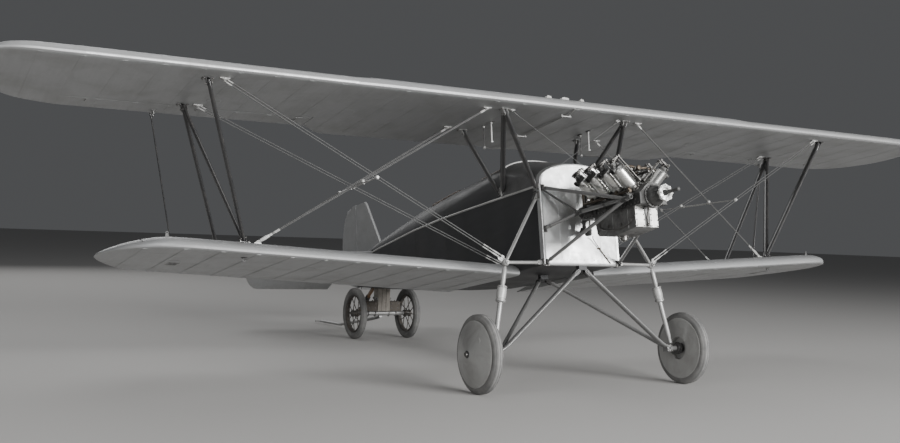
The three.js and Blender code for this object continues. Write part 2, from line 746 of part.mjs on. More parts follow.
function shockStrut(side) {
  const top = mirrored(OUTRIGGER_NODE, side);
  const bottom = mirrored(V(KNUCKLE.x + 12, 0, 20), side);
  const between = (t) => top.clone().lerp(bottom, t);
  const body = join(
    rod(between(0.02), bottom, 46, 12),
    rod(between(0.28), between(0.48), 84, 14),
  );
  return cut(body, knuckle(side, SEAT), outrigger(side, 2 * SEAT));
}

// Wheels: profile rows are radius and distance outboard of the tyre's middle
const TYRE_POINTS = 8;
const WHEEL_SEGMENTS = 36;

function tyreBody(radius, width) {
  const centre = radius - width / 2;
  const profile = [];
  for (let i = 0; i <= TYRE_POINTS; i += 1) {
    const turn = 2 * Math.PI * (i % TYRE_POINTS) / TYRE_POINTS;
    profile.push([centre + width / 2 * Math.cos(turn), width / 2 * Math.sin(turn)]);
  }
  return oriented(mergedForSkin(turned(profile, 'x', WHEEL_SEGMENTS)));
}

function mergedForSkin(geometry) {
  const bare = geometry.clone();
  bare.deleteAttribute('normal');
  bare.deleteAttribute('uv');
  return mergeVertices(bare, 1e-3);
}

const DISC_PROFILE = [
  [0, 62], [AXLE_RADIUS + 0.8, 62], [AXLE_RADIUS + 0.8, -96], [46, -96], [52, -84], [240, -34],
  [254.6, -26], [254.6, 26], [240, 34], [62, 96], [50, 104], [46, 138], [28, 150], [0, 153],
];

function wheelDisc(side) {
  const body = oriented(mergedForSkin(turned(DISC_PROFILE, 'x', WHEEL_SEGMENTS)));
  return side > 0 ? body : body.mirror([1, 0, 0]);
}

function buildGear(parent, moving) {
  for (const { side, name } of SIDES) {
    addMesh(parent, `gear_legs_${name}`, gearLegs(side), 'blackPaint');
    addMesh(parent, `outrigger_${name}`, cut(outrigger(side), solidFuselage), 'blackPaint');
    addMesh(parent, `shock_strut_${name}`, shockStrut(side), 'blackPaint');
    const wheel = moving(`wheel_${name}`, V(side * HALF_TRACK, 0, 0));
    addMesh(wheel, `wheel_disc_${name}`, wheelDisc(side), 'wheelPaint');
    addMesh(wheel, `tyre_${name}`, tyreBody(WHEEL_RADIUS, TYRE_WIDTH), 'tyre');
  }
}

// Engine
const CASE = { front: -1120, rear: -250, half: 150, top: 1392, bottom: 1200 };
const BEARER = { half: 22, height: 48, x: 196, z: 1262 };

function atBank(side, distance) {
  return V(side * distance * Math.SQRT1_2, 0, THRUST_LINE_Z + distance * Math.SQRT1_2);
}

function cylinderY(i, side) {
  return CYLINDER_FRONT_Y + i * CYLINDER_PITCH + (side > 0 ? 24 : 0);
}

function crankcase(grow = 0) {
  const outline = new THREE.Shape();
  outline.moveTo(-CASE.half - grow, CASE.bottom);
  outline.lineTo(CASE.half + grow, CASE.bottom);
  outline.lineTo(CASE.half + grow, THRUST_LINE_Z + 30);
  outline.lineTo(50, CASE.top + grow * 1.5);
  outline.lineTo(-50, CASE.top + grow * 1.5);
  outline.lineTo(-CASE.half - grow, THRUST_LINE_Z + 30);
  const block = new THREE.ExtrudeGeometry(outline, {
    depth: CASE.rear - CASE.front + 2 * grow, bevelEnabled: false,
  });
  block.rotateX(Math.PI / 2);
  block.translate(0, CASE.rear + grow, 0);
  return toManifold(block);
}

function buildEngine(parent, moving) {
  const nose = turned([[0, -1], [104, 0], [98, 50], [56, 92], [48, 128], [0, 128]], 'y', 20);
  nose.rotateX(Math.PI);
  nose.translate(0, CASE.front, THRUST_LINE_Z);
  const arms = SIDES.flatMap(({ side }) => [CASE.front + 110, -690, CASE.rear - 90].map((y) => boxBetween(
    V(side * (CASE.half - 10), y - 25, BEARER.z + BEARER.height / 2 + SEAT),
    V(side * (BEARER.x + 20), y + 25, BEARER.z + BEARER.height / 2 + 28),
  )));
  addMesh(parent, 'crankcase', join(crankcase(), oriented(mergedForSkin(nose)), arms), 'castCase');
  addMesh(parent, 'oil_sump', oilSump(), 'castCase');
  for (const { side, name } of SIDES) {
    addMesh(parent, `cylinders_${name}`, cylinderBank(side), 'brightSteel');
    addMesh(parent, `valve_gear_${name}`, valveGear(side), 'steel');
    addMesh(parent, `engine_mount_${name}`, engineMount(side), 'blackPaint');
  }
  addMesh(parent, 'inlet_manifold', inletManifold(), 'brass');
  addMesh(parent, 'engine_accessories', engineAccessories(), 'steel');
  const hub = moving('propeller_hub', V(0, HUB_FACE_Y, THRUST_LINE_Z));
  addMesh(hub, 'propeller_hub', propellerHub(), 'brightSteel');
}

function oilSump() {
  const side = new THREE.Shape();
  side.moveTo(-1040, CASE.bottom - SEAT);
  side.lineTo(-1040, 1050);
  side.lineTo(-730, 985);
  side.lineTo(-620, 985);
  side.lineTo(-360, 1050);
  side.lineTo(-330, CASE.bottom - SEAT);
  const body = new THREE.ExtrudeGeometry(side, { depth: 280, bevelEnabled: false });
  const across = new THREE.Matrix4().makeBasis(V(0, 1, 0), V(0, 0, 1), V(1, 0, 0));
  body.applyMatrix4(across.setPosition(V(-140, 0, 0)));
  const strainer = rod(V(0, -675, 1000), V(0, -675, 940), 90, 16);
  return join(body, strainer);
}

function cylinderBank(side, grow = 0) {
  const jackets = Array.from({ length: CYLINDER_COUNT }, (_, i) => {
    const y = V(0, cylinderY(i, side), 0);
    const along = (d) => atBank(side, d).add(y);
    return join(
      rod(along(120), along(178), 118 + grow, 12),
      rod(along(176), along(372), 138 + grow, 14),
      rod(along(371), along(400), 112 + grow, 12),
    );
  });
  const gallery = rod(
    atBank(side, 376).add(V(0, cylinderY(0, side) - 40, 0)),
    atBank(side, 376).add(V(0, cylinderY(CYLINDER_COUNT - 1, side) + 60, 0)), 40, 10,
  );
  return cut(join(jackets, gallery), crankcase(SEAT));
}

function valveGear(side) {
  const rail = rod(
    atBank(side, 424).add(V(0, cylinderY(0, side) - 60, 0)),
    atBank(side, 424).add(V(0, cylinderY(CYLINDER_COUNT - 1, side) + 60, 0)), 22, 8,
  );
  const inward = V(-side, 0, 1).normalize();
  const pieces = Array.from({ length: CYLINDER_COUNT }, (_, i) => {
    const y = V(0, cylinderY(i, side), 0);
    const top = atBank(side, 424).add(y);
    const out = top.clone().addScaledVector(inward, -62);
    const within = top.clone().addScaledVector(inward, 84);
    const stands = rod(atBank(side, 400.3).add(y), top, 44, 6);
    const push = rod(within, atBank(side, 150).add(y).addScaledVector(inward, 98), 12, 6);
    return join(rod(out, within, 18, 6), stands, push, ball(out, 20, 6));
  });
  return cut(join(rail, pieces), crankcase(SEAT));
}

function engineMount(side) {
  const node = mirrored(V(BEARER.x, -960, BEARER.z), side);
  const wallY = FIREWALL_Y - FIREWALL_THICKNESS - 2 * SEAT;
  const ends = [1545, 1103, 830].map((z) => V(425 * side, wallY, z));
  const tubes = ends.map((end) => rod(node, end, 32, 8));
  const rail = box(
    V(node.x - BEARER.half, CASE.front + 60, BEARER.z - BEARER.height / 2),
    V(node.x + BEARER.half, wallY, BEARER.z + BEARER.height / 2),
  );
  const pads = ends.map(({ x, z }) => boxBetween(
    V(x - 30 * side, wallY - 14, z - 30), V(x + 10 * side, wallY, z + 30),
  ));
  const behind = box(V(-800, wallY, 600), V(800, wallY + 200, 2000));
  return cut(join(tubes, rail, pads), behind, crankcase(SEAT));
}

const BRANCH_OFFSET = 40;

function inletManifold() {
  const pipeZ = THRUST_LINE_Z + 290;
  const log = rod(V(0, -960, pipeZ), V(0, -130, pipeZ), 46, 10);
  const branches = SIDES.flatMap(({ side }) => Array.from({ length: CYLINDER_COUNT }, (_, i) => {
    const y = cylinderY(i, side) + BRANCH_OFFSET;
    return rod(V(0, y, pipeZ), atBank(side, 330).add(V(0, y, 0)), 30, 8);
  }));
  const drop = rod(V(0, -130, pipeZ + 10), V(0, -130, 1200), 52, 10);
  const carburettor = box(V(-60, -176, 1080), V(60, -84, 1220));
  const whole = join(log, drop, carburettor, branches);
  return cut(whole, crankcase(SEAT), SIDES.map(({ side }) => cylinderBank(side, 2 * SEAT)));
}

function engineAccessories() {
  const y = CASE.rear + SEAT;
  return join(
    box(V(-90, y, 1240), V(90, y + 60, 1360)),
    rod(V(0, y + 20, 1300), V(0, y + 88, 1300), 110, 14),
  );
}

function propellerHub() {
  const profile = [
    [0, 178], [14, 172], [19, 160], [14, 146], [14, 40], [34, 30], [36, 14], [78, 14], [78, -14],
    [40, -16], [38, -28], [0, -28],
  ];
  const body = oriented(mergedForSkin(turned(profile, 'y', 24)));
  return toManifold(toGeometry(body).rotateX(Math.PI));
}

// Tail surfaces
const TAILPLANE_ROOT_LE_Y = 4360;
const FIN_ROOT_Y = 4340;
const FIN_THICKNESS = 40;
const TAIL_NOSE = 22;
const TAIL_GAP = TAIL_NOSE + RUNNING;

function flatPanel(outline, thickness) {
  const settings = { depth: thickness, bevelEnabled: false, curveSegments: 5 };
  const panel = new THREE.ExtrudeGeometry(outline, settings);
  panel.translate(0, 0, -thickness / 2);
  return panel;
}

function tailplaneBody() {
  const half = TAILPLANE_HALF_SPAN;
  const rear = TAIL_HINGE_Y - TAIL_GAP;
  const outline = new THREE.Shape();
  outline.moveTo(0, TAILPLANE_ROOT_LE_Y);
  outline.lineTo(half - 320, 4700);
  outline.quadraticCurveTo(half, 4800, half, rear);
  outline.lineTo(-half, rear);
  outline.quadraticCurveTo(-half, 4800, 320 - half, 4700);
  const panel = flatPanel(outline, TAILPLANE_THICKNESS);
  panel.translate(0, 0, TAILPLANE_Z);
  const lugs = [-1300, -500, 500, 1300].map((x) => hingeLug(
    V(x, TAIL_HINGE_Y, TAILPLANE_Z), V(x, rear - 20, TAILPLANE_Z),
  ));
  return join(panel, lugs);
}

// The elevator is drawn level, then drooped about its hinge line
function elevatorBody() {
  const half = TAILPLANE_HALF_SPAN;
  const outline = new THREE.Shape();
  outline.moveTo(half, 0);
  outline.quadraticCurveTo(half - 40, ELEVATOR_CHORD * 0.8, half - 260, ELEVATOR_CHORD);
  outline.lineTo(ELEVATOR_INNER_X + 60, ELEVATOR_CHORD);
  outline.lineTo(ELEVATOR_INNER_X - 15, 120);
  outline.lineTo(ELEVATOR_INNER_X - 95, 0);
  const halves = [1, -1].map((s) => {
    const panel = oriented(mergedForSkin(flatPanel(outline, 2 * TAIL_NOSE)));
    return s > 0 ? panel : panel.mirror([1, 0, 0]);
  });
  const nose = rod(V(-half, 0, 0), V(half, 0, 0), 2 * TAIL_NOSE, 12);
  const slots = [-1300, -500, 500, 1300].map((x) => {
    const h = HINGE_DISC.width / 2 + 0.4;
    return box(V(x - h, -60, -60), V(x + h, HINGE_DISC.radius + RUNNING, 60));
  });
  return toGeometry(cut(join(halves, nose), slots)).rotateX(-ELEVATOR_DROOP);
}

function finBody() {
  const rear = TAIL_HINGE_Y - TAIL_GAP;
  const outline = new THREE.Shape();
  outline.moveTo(FIN_ROOT_Y, TAILPLANE_Z + TAILPLANE_THICKNESS / 2 + SEAT);
  outline.lineTo(rear, TAILPLANE_Z + TAILPLANE_THICKNESS / 2 + SEAT);
  outline.lineTo(rear, FIN_TOP_Z - 20);
  outline.lineTo(4900, FIN_TOP_Z);
  outline.quadraticCurveTo(4840, FIN_TOP_Z - 20, 4800, FIN_TOP_Z - 90);
  return upright(outline, FIN_THICKNESS);
}

// A flat panel standing in the plane of symmetry: shape X runs aft and shape Y up
function upright(outline, thickness) {
  const panel = flatPanel(outline, thickness);
  panel.applyMatrix4(new THREE.Matrix4().makeBasis(V(0, 1, 0), V(0, 0, 1), V(1, 0, 0)));
  return panel;
}

const RUDDER_LOW_Z = 1190;
const RUDDER_HINGES = [1330, 1700, 2240];

function rudderLug(z, postFaceY) {
  return hingeLug(V(0, TAIL_HINGE_Y, z), V(0, postFaceY - 20, z), 'z');
}

function rudderBody() {
  const outline = new THREE.Shape();
  outline.moveTo(0, RUDDER_LOW_Z);
  outline.quadraticCurveTo(RUDDER_CHORD * 0.55, RUDDER_LOW_Z, RUDDER_CHORD * 0.85, 1460);
  outline.quadraticCurveTo(RUDDER_CHORD * 1.12, 1850, RUDDER_CHORD * 0.7, 2220);
  outline.quadraticCurveTo(RUDDER_CHORD * 0.45, FIN_TOP_Z + 10, 0, FIN_TOP_Z - 6);
  const blade = upright(outline, 2 * TAIL_NOSE - 8);
  const post = rod(V(0, 0, RUDDER_LOW_Z), V(0, 0, FIN_TOP_Z - 6), 2 * TAIL_NOSE, 12);
  const slots = RUDDER_HINGES.map((z) => {
    const h = HINGE_DISC.width / 2 + 0.4;
    return box(V(-60, -60, z - h), V(60, HINGE_DISC.radius + RUNNING, z + h));
  });
  const tailplaneRoom = box(V(-200, -60, TAILPLANE_Z - 60), V(200, 60, TAILPLANE_Z + 60));
  return toGeometry(cut(join(blade, post), slots, tailplaneRoom));
}

function buildTail(parent, moving) {
  const rear = TAIL_HINGE_Y - TAIL_GAP;
  addMesh(parent, 'tailplane', tailplaneBody(), 'silverFabric');
  const finLugs = RUDDER_HINGES.slice(1).map((z) => rudderLug(z, rear));
  addMesh(parent, 'fin', join(finBody(), finLugs), 'silverFabric');
  const elevator = moving('elevator', V(0, TAIL_HINGE_Y, TAILPLANE_Z));
  addMesh(elevator, 'elevator', elevatorBody(), 'silverFabric');
  const rudder = moving('rudder', V(0, TAIL_HINGE_Y, 0));
  addMesh(rudder, 'rudder', rudderBody(), 'silverFabric');
  for (const { side, name } of SIDES) {
    const brace = strut(V(side * 40, 5020, 1215), V(side * 760, 5040, TAILPLANE_Z - 20), 20, 44);
    const panel = box(V(-2000, 4000, TAILPLANE_Z - TAILPLANE_THICKNESS / 2 - SEAT), V(2000, 5400, 1900));
    addMesh(parent, `tailplane_strut_${name}`, cut(brace, panel, solidFuselage), 'blackPaint');
  }
  const skid = join(
    strut(V(0, 4690, 1160), V(0, 5260, 830), 40, 56),
    ball(V(0, 5262, 828), 34, 8),
  );
  addMesh(parent, 'tail_skid', cut(skid, solidFuselage), 'wood');
}

// Tail dolly, laid out in the parked frame
function spokedWheel() {
  const rim = DOLLY_WHEEL_RADIUS - DOLLY_TYRE_WIDTH - SEAT;
  const ringProfile = [[rim - 26, -22], [rim, -30], [rim, 30], [rim - 26, 22], [rim - 26, -22]];
  const ring = oriented(mergedForSkin(turned(ringProfile, 'x', WHEEL_SEGMENTS)));
  const hubProfile = [
    [0, 50], [40, 50], [44, 20], [44, -20], [40, -60], [20.6, -60], [20.6, 30], [0, 30],
  ];
  const hub = oriented(mergedForSkin(turned(hubProfile, 'x', 16)));
  const spokes = Array.from({ length: 12 }, (_, i) => {
    const turn = 2 * Math.PI * i / 12;
    const out = V(0, Math.cos(turn), Math.sin(turn));
    const lean = i % 2 ? 28 : -34;
    const inner = out.clone().multiplyScalar(36).add(V(lean, 0, 0));
    return rod(inner, out.clone().multiplyScalar(rim - 12), 12, 4);
  });
  return join(ring, hub, spokes);
}

function buildDolly(parent, aircraftBody, moving) {
  const z = DOLLY_WHEEL_RADIUS;
  const axle = join(
    rod(V(-DOLLY_HALF_TRACK + 62, DOLLY_Y, z), V(DOLLY_HALF_TRACK - 62, DOLLY_Y, z), 60, 12),
    rod(V(-DOLLY_HALF_TRACK - 26, DOLLY_Y, z), V(DOLLY_HALF_TRACK + 26, DOLLY_Y, z), 40, 24),
  );
  const upright = box(V(-88, DOLLY_Y - 70, z - 20), V(88, DOLLY_Y + 70, 900));
  const block = box(V(-250, DOLLY_Y - 60, z + 20), V(-80, DOLLY_Y + 60, z + 160));
  const cheeks = box(V(80, DOLLY_Y - 60, z + 20), V(250, DOLLY_Y + 60, z + 160));
  const tongue = [
    rod(V(0, DOLLY_Y + 20, z - 10), V(0, 5900, 60), 44, 8),
    rod(V(0, 5900, 60), V(0, 6700, 40), 44, 8),
    ball(V(0, 5900, 60), 30, 8),
  ];
  addMesh(parent, 'dolly_frame', cut(join(axle, upright, block, cheeks, tongue), aircraftBody), 'wood');
  for (const { side, name } of SIDES) {
    const wheel = moving(`dolly_wheel_${name}`, V(side * DOLLY_HALF_TRACK, DOLLY_Y, z));
    const body = spokedWheel();
    addMesh(wheel, `dolly_wheel_${name}`, side > 0 ? body : body.mirror([1, 0, 0]), 'blackPaint');
    addMesh(wheel, `dolly_tyre_${name}`, tyreBody(DOLLY_WHEEL_RADIUS, DOLLY_TYRE_WIDTH), 'tyre');
  }
}

// Assembly

const parked = new THREE.Group();
const aircraft = new THREE.Group();
aircraft.rotation.x = -PARK_ANGLE;
aircraft.position.z = WHEEL_RADIUS;
parked.add(aircraft);

function pivotIn(home) {
  return (name, position, parent = home) => {
    const pivot = new THREE.Group();
    pivot.name = `pivot_${name}`;
    pivot.position.copy(position);
    parent.add(pivot);
    return pivot;
  };
}

buildFuselage(aircraft);
buildWings(aircraft, pivotIn(aircraft));
for (const { side, name } of SIDES) {
  addMesh(aircraft, `interplane_struts_${name}`, interplaneStruts(side), 'blackPaint');
  addMesh(aircraft, `cabane_struts_${name}`, cabaneStruts(side), 'blackPaint');
  addMesh(aircraft, `bracing_wires_${name}`, cut(bracingWires(side), outrigger(side, 2 * SEAT)), 'steel');
}
buildGear(aircraft, pivotIn(aircraft));
buildEngine(aircraft, pivotIn(aircraft));
buildTail(aircraft, pivotIn(aircraft));

aircraft.updateMatrixWorld(true);
const rearBody = toGeometry(fuselageBody(CABIN_END_Y, STERNPOST_Y, SEAT));
const restingBody = toManifold(rearBody.applyMatrix4(aircraft.matrixWorld));
buildDolly(parked, restingBody, pivotIn(parked));

const plane = new THREE.Group();
plane.add(parked);
plane.updateMatrixWorld(true);
const bounds = new THREE.Box3().setFromObject(plane, true);
parked.position.y = -(bounds.min.y + bounds.max.y) / 2;
plane.updateMatrixWorld(true);

export default plane;
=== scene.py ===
# %% [markdown]
# # A biplane on its tail dolly
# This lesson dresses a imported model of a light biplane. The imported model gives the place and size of
# every part, and each cell builds one part of the real machine in more detail over it: doped fabric
# wings with their ribs, an open engine, wire bracing, spoked dolly wheels.

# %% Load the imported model
import math

import bmesh
import bpy
import numpy as np
from mathutils import Matrix, Vector


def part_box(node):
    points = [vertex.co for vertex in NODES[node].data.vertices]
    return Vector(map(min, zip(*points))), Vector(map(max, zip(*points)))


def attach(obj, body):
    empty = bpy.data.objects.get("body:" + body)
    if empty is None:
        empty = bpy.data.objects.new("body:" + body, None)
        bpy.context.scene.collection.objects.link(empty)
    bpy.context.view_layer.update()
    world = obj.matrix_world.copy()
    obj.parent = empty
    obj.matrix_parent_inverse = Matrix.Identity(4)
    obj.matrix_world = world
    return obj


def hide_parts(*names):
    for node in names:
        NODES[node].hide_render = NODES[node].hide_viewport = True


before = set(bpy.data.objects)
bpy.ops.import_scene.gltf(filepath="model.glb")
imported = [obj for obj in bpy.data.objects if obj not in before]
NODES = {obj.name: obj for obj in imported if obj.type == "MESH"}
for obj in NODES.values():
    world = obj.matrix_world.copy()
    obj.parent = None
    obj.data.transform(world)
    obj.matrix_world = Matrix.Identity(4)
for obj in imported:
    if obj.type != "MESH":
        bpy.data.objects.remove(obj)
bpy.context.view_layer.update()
print("nodes in the packed model:", len(NODES))

# %% [markdown]
# ## Where the aircraft stands
# The aircraft was laid out level, in metres, X to port, Y aft and Z up, from the middle of its main
# axle line. On the floor it sits nose-up. One matrix takes level places to parked ones, so every
# part below can be drawn level, which keeps its numbers easy to read.

# %% The parked attitude
PARK_ANGLE = math.radians(10)
WHEEL_RADIUS = 0.3556
tyre_low, tyre_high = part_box("tyre_port")
AXLE_Y = (tyre_low.y + tyre_high.y) / 2
PARKED = Matrix.Translation((0, AXLE_Y, WHEEL_RADIUS)) @ Matrix.Rotation(-PARK_ANGLE, 4, "X")
ON_FLOOR = Matrix.Translation((0, AXLE_Y, 0))
SIDES = {"starboard": -1, "port": 1}
print("axle line stands at y =", round(AXLE_Y, 4))

# %% [markdown]
# ## The camera
# The camera's place, turn and lens were worked out from the photograph, from points that appear on
# both sides of the aircraft. A roll of two degrees tilts the horizon as the photographer did.

# %% The camera
CAMERA_PLACE = Vector((-5.830, AXLE_Y - 7.779, 1.396))
CAMERA_YAW = math.radians(28.949)
CAMERA_PITCH = math.radians(0.813)
CAMERA_ROLL = math.radians(1.924)
FOCAL_PIXELS = 1017.9
IMAGE_WIDTH = 900
SENSOR = 36.0

ahead = Vector((
    math.sin(CAMERA_YAW) * math.cos(CAMERA_PITCH),
    math.cos(CAMERA_YAW) * math.cos(CAMERA_PITCH),
    math.sin(CAMERA_PITCH),
))
level_right = ahead.cross(Vector((0, 0, 1))).normalized()
level_up = level_right.cross(ahead)
right = math.cos(CAMERA_ROLL) * level_right + math.sin(CAMERA_ROLL) * level_up
up = -math.sin(CAMERA_ROLL) * level_right + math.cos(CAMERA_ROLL) * level_up

lens = bpy.data.cameras.new("photograph")
lens.sensor_width = SENSOR
lens.lens = FOCAL_PIXELS / IMAGE_WIDTH * SENSOR
lens.dof.use_dof = False
camera = bpy.data.objects.new("photograph", lens)
camera.matrix_world = Matrix.Translation(CAMERA_PLACE) @ Matrix((right, up, -ahead)).transposed().to_4x4()
bpy.context.scene.collection.objects.link(camera)
bpy.context.scene.camera = camera

# %% [markdown]
# ## Floor and light
# A pale floor carries the shadows and throws light up under the wings, as a sunlit apron does. Four
# large soft lamps stand in for a studio: a low key from ahead of the nose, which draws the front edges
# of the wings as in the photograph, a wide fill from the camera's side, a weaker one behind and a weak
# one overhead that reaches into the cockpits.

# %% Floor, lamps and sky
FLOOR_SIZE = 400


def plain_material(name, colour, roughness):
    material = bpy.data.materials.new(name)
    material.use_nodes = True
    shader = material.node_tree.nodes["Principled BSDF"]
    shader.inputs["Base Color"].default_value = (*colour, 1)
    shader.inputs["Roughness"].default_value = roughness
    return material


floor_mesh = bpy.data.meshes.new("floor")
half = FLOOR_SIZE / 2
floor_mesh.from_pydata([(-half, -half, 0), (half, -half, 0), (half, half, 0), (-half, half, 0)], [],
                       [(0, 1, 2, 3)])
floor = bpy.data.objects.new("floor", floor_mesh)
floor_mesh.materials.append(plain_material("pale_floor", (0.42, 0.412, 0.40), 0.8))
bpy.context.scene.collection.objects.link(floor)


def lamp(name, place, target, size, power):
    data = bpy.data.lights.new(name, "AREA")
    data.shape = "RECTANGLE"
    data.size, data.size_y = size
    data.energy = power
    holder = bpy.data.objects.new(name, data)
    holder.location = place
    holder.rotation_mode = "QUATERNION"
    aim = Vector(target) - Vector(place)
    holder.rotation_quaternion = aim.to_track_quat("-Z", "Y")
    bpy.context.scene.collection.objects.link(holder)
    return holder


lamp("key", (5, -22, 6), (0, 1, 1.5), (15, 5), 9500)
lamp("fill", (-16, -12, 7), (0, 1, 1.2), (12, 8), 800)
lamp("back", (-4, 20, 10), (0, 1, 1.5), (14, 8), 900)
lamp("overhead", (-2, 2, 13), (0, 1, 1.5), (14, 10), 450)

sky = bpy.data.worlds.new("studio")
sky.use_nodes = True
sky.node_tree.nodes["Background"].inputs["Color"].default_value = (0.8, 0.82, 0.85, 1)
sky.node_tree.nodes["Background"].inputs["Strength"].default_value = 0.10
bpy.context.scene.world = sky

# %% [markdown]
# ## Node trees as expressions
# Finishes and repeated small parts are both made by node trees. Wiring nodes by hand is hard to read,
# so a small class stands for a node's output and lets Python's own signs build the maths:
# `1 - dirt * 0.4` adds the nodes for it. One method makes every other kind of node, and both the
# finishes and the geometry recipes further down share it.

# %% Sockets that can be added and multiplied
class Signal:
    def __init__(self, wiring, socket):
        self.wiring = wiring
        self.socket = socket

    def maths(self, operation, *others, flipped=False):
        values = [*others, self] if flipped else [self, *others]
        return self.wiring.node("ShaderNodeMath", {"operation": operation}, values)

    def __add__(self, other):
        return self.maths("ADD", other)

    __radd__ = __add__

    def __mul__(self, other):
        return self.maths("MULTIPLY", other)

    __rmul__ = __mul__

    def __sub__(self, other):
        return self.maths("SUBTRACT", other)

    def __rsub__(self, other):
        return self.maths("SUBTRACT", other, flipped=True)

    def __truediv__(self, other):
        return self.maths("DIVIDE", other)

    def __rtruediv__(self, other):
        return self.maths("DIVIDE", other, flipped=True)

    def __gt__(self, other):
        return self.maths("GREATER_THAN", other)

    def __lt__(self, other):
        return self.maths("LESS_THAN", other)

    def size(self):
        return self.maths("ABSOLUTE")

    def cycle(self):
        return self.maths("FRACT")


class Wiring:
    """A node tree with one method that adds any node: its settings first, then its inputs."""

    def __init__(self, tree):
        self.tree = tree

    def node(self, kind, settings, values, output=0):
        made = self.tree.nodes.new(kind)
        for key, value in settings.items():
            if key == "stops":
                self.set_stops(made.color_ramp, value)
            else:
                setattr(made, key, value)
        pairs = values.items() if isinstance(values, dict) else enumerate(values)
        for key, value in pairs:
            if isinstance(value, Signal):
                self.tree.links.new(value.socket, made.inputs[key])
            else:
                made.inputs[key].default_value = value
        return Signal(self, made.outputs[output])

    def set_stops(self, ramp, stops):
        while len(ramp.elements) < len(stops):
            ramp.elements.new(0.5)
        for element, (position, value) in zip(ramp.elements, stops):
            element.position = position
            element.color = (value, value, value, 1)


# %% [markdown]
# ## The finish class
# A finish is one material. Its patterns read the piece's own coordinates, turned level by a Mapping
# node, so that a pattern runs along the aircraft and not along the floor.

# %% A finish
COLOUR_A, COLOUR_B, COLOUR_RESULT = 6, 7, 2


class Finish(Wiring):
    def __init__(self, name):
        self.material = bpy.data.materials.new(name)
        self.material.use_nodes = True
        super().__init__(self.material.node_tree)
        self.shader = self.tree.nodes["Principled BSDF"]
        place = self.node("ShaderNodeTexCoord", {}, [], "Object")
        turn = Matrix.Rotation(PARK_ANGLE, 3, "X")
        shift = -(turn @ Vector((0, AXLE_Y, WHEEL_RADIUS)))
        mapping = {"Vector": place, "Location": shift, "Rotation": (PARK_ANGLE, 0, 0)}
        self.level = self.node("ShaderNodeMapping", {}, mapping)

    def stretched(self, scale, turn=(0, 0, 0)):
        return self.node("ShaderNodeMapping", {}, {"Vector": self.level, "Scale": scale, "Rotation": turn})

    def noise(self, scale, detail=3.0, roughness=0.55, at=None, distortion=0.0):
        values = {"Vector": at or self.level, "Scale": scale, "Detail": detail, "Roughness": roughness}
        return self.node("ShaderNodeTexNoise", {}, {**values, "Distortion": distortion}, "Fac")

    def ramp(self, factor, *stops):
        return self.node("ShaderNodeValToRGB", {"stops": stops}, [factor])

    def blend(self, factor, first, second):
        first, second = [c if isinstance(c, Signal) else (*c, 1) for c in (first, second)]
        values = {0: factor, COLOUR_A: first, COLOUR_B: second}
        return self.node("ShaderNodeMix", {"data_type": "RGBA"}, values, COLOUR_RESULT)

    def axis(self, name):
        return self.node("ShaderNodeSeparateXYZ", {}, [self.level], name)

    def bump(self, height, strength, distance):
        return self.node("ShaderNodeBump", {}, {"Height": height, "Strength": strength, "Distance": distance})

    def set(self, **values):
        for key, value in values.items():
            socket = self.shader.inputs[key.replace("_", " ")]
            if isinstance(value, Signal):
                self.tree.links.new(value.socket, socket)
            elif isinstance(value, tuple):
                socket.default_value = (*value, 1)
            else:
                socket.default_value = value
        return self.material


FINISHES = {}

# %% [markdown]
# ## Doped cloth
# The wings and tail are cotton stretched over ribs, shrunk tight and painted with aluminium dope. Up
# close it shows a fine weave, brush marks, and stains where oil and dust have settled. The black cloth
# of the body is the same under another colour, so one function makes both.

# %% Cloth finishes
RIB_PITCH = 0.305


def doped_cloth(name, pale, dark, dust_colour, dust, roughness, metallic):
    f = Finish(name)
    clouds = f.noise(1.3, 4, 0.6)
    brushed = f.noise(5, 3, 0.6, at=f.stretched((7, 0.7, 3)))
    weave = f.noise(900, 1, 0.5)
    across = f.axis("X")
    from_rib = ((across / RIB_PITCH + 0.5).cycle() - 0.5).size() * RIB_PITCH
    settled = f.ramp(from_rib, (0.0, 1.0), (0.05, 0.0))
    grime = f.ramp(f.noise(2.2, 6, 0.65, distortion=0.4), (0.45, 0.0), (0.72, 1.0))
    streaks = f.ramp(f.noise(3, 4, 0.6, at=f.stretched((9, 0.8, 9))), (0.5, 0.0), (0.8, 1.0))
    darker = tuple(0.8 * c for c in dark)
    base = f.blend(clouds, dark, pale)
    base = f.blend(brushed * 0.35, base, darker)
    base = f.blend(streaks * 0.25 + settled * 0.10, base, darker)
    base = f.blend(grime * dust, base, dust_colour)
    return f.set(
        Base_Color=base,
        Roughness=roughness + brushed * 0.14 + grime * 0.12,
        Metallic=metallic,
        Normal=f.bump(weave * 0.12 + brushed * 0.25, 0.3, 0.003),
    )


SILVER = ((0.46, 0.465, 0.465), (0.35, 0.355, 0.36))
BLACK = ((0.026, 0.027, 0.030), (0.014, 0.015, 0.017))
FINISHES["silver_fabric"] = doped_cloth("silver_fabric", *SILVER, (0.18, 0.17, 0.15), 0.30, 0.34, 0.45)
FINISHES["black_fabric"] = doped_cloth("black_fabric", *BLACK, (0.08, 0.076, 0.068), 0.20, 0.44, 0.0)
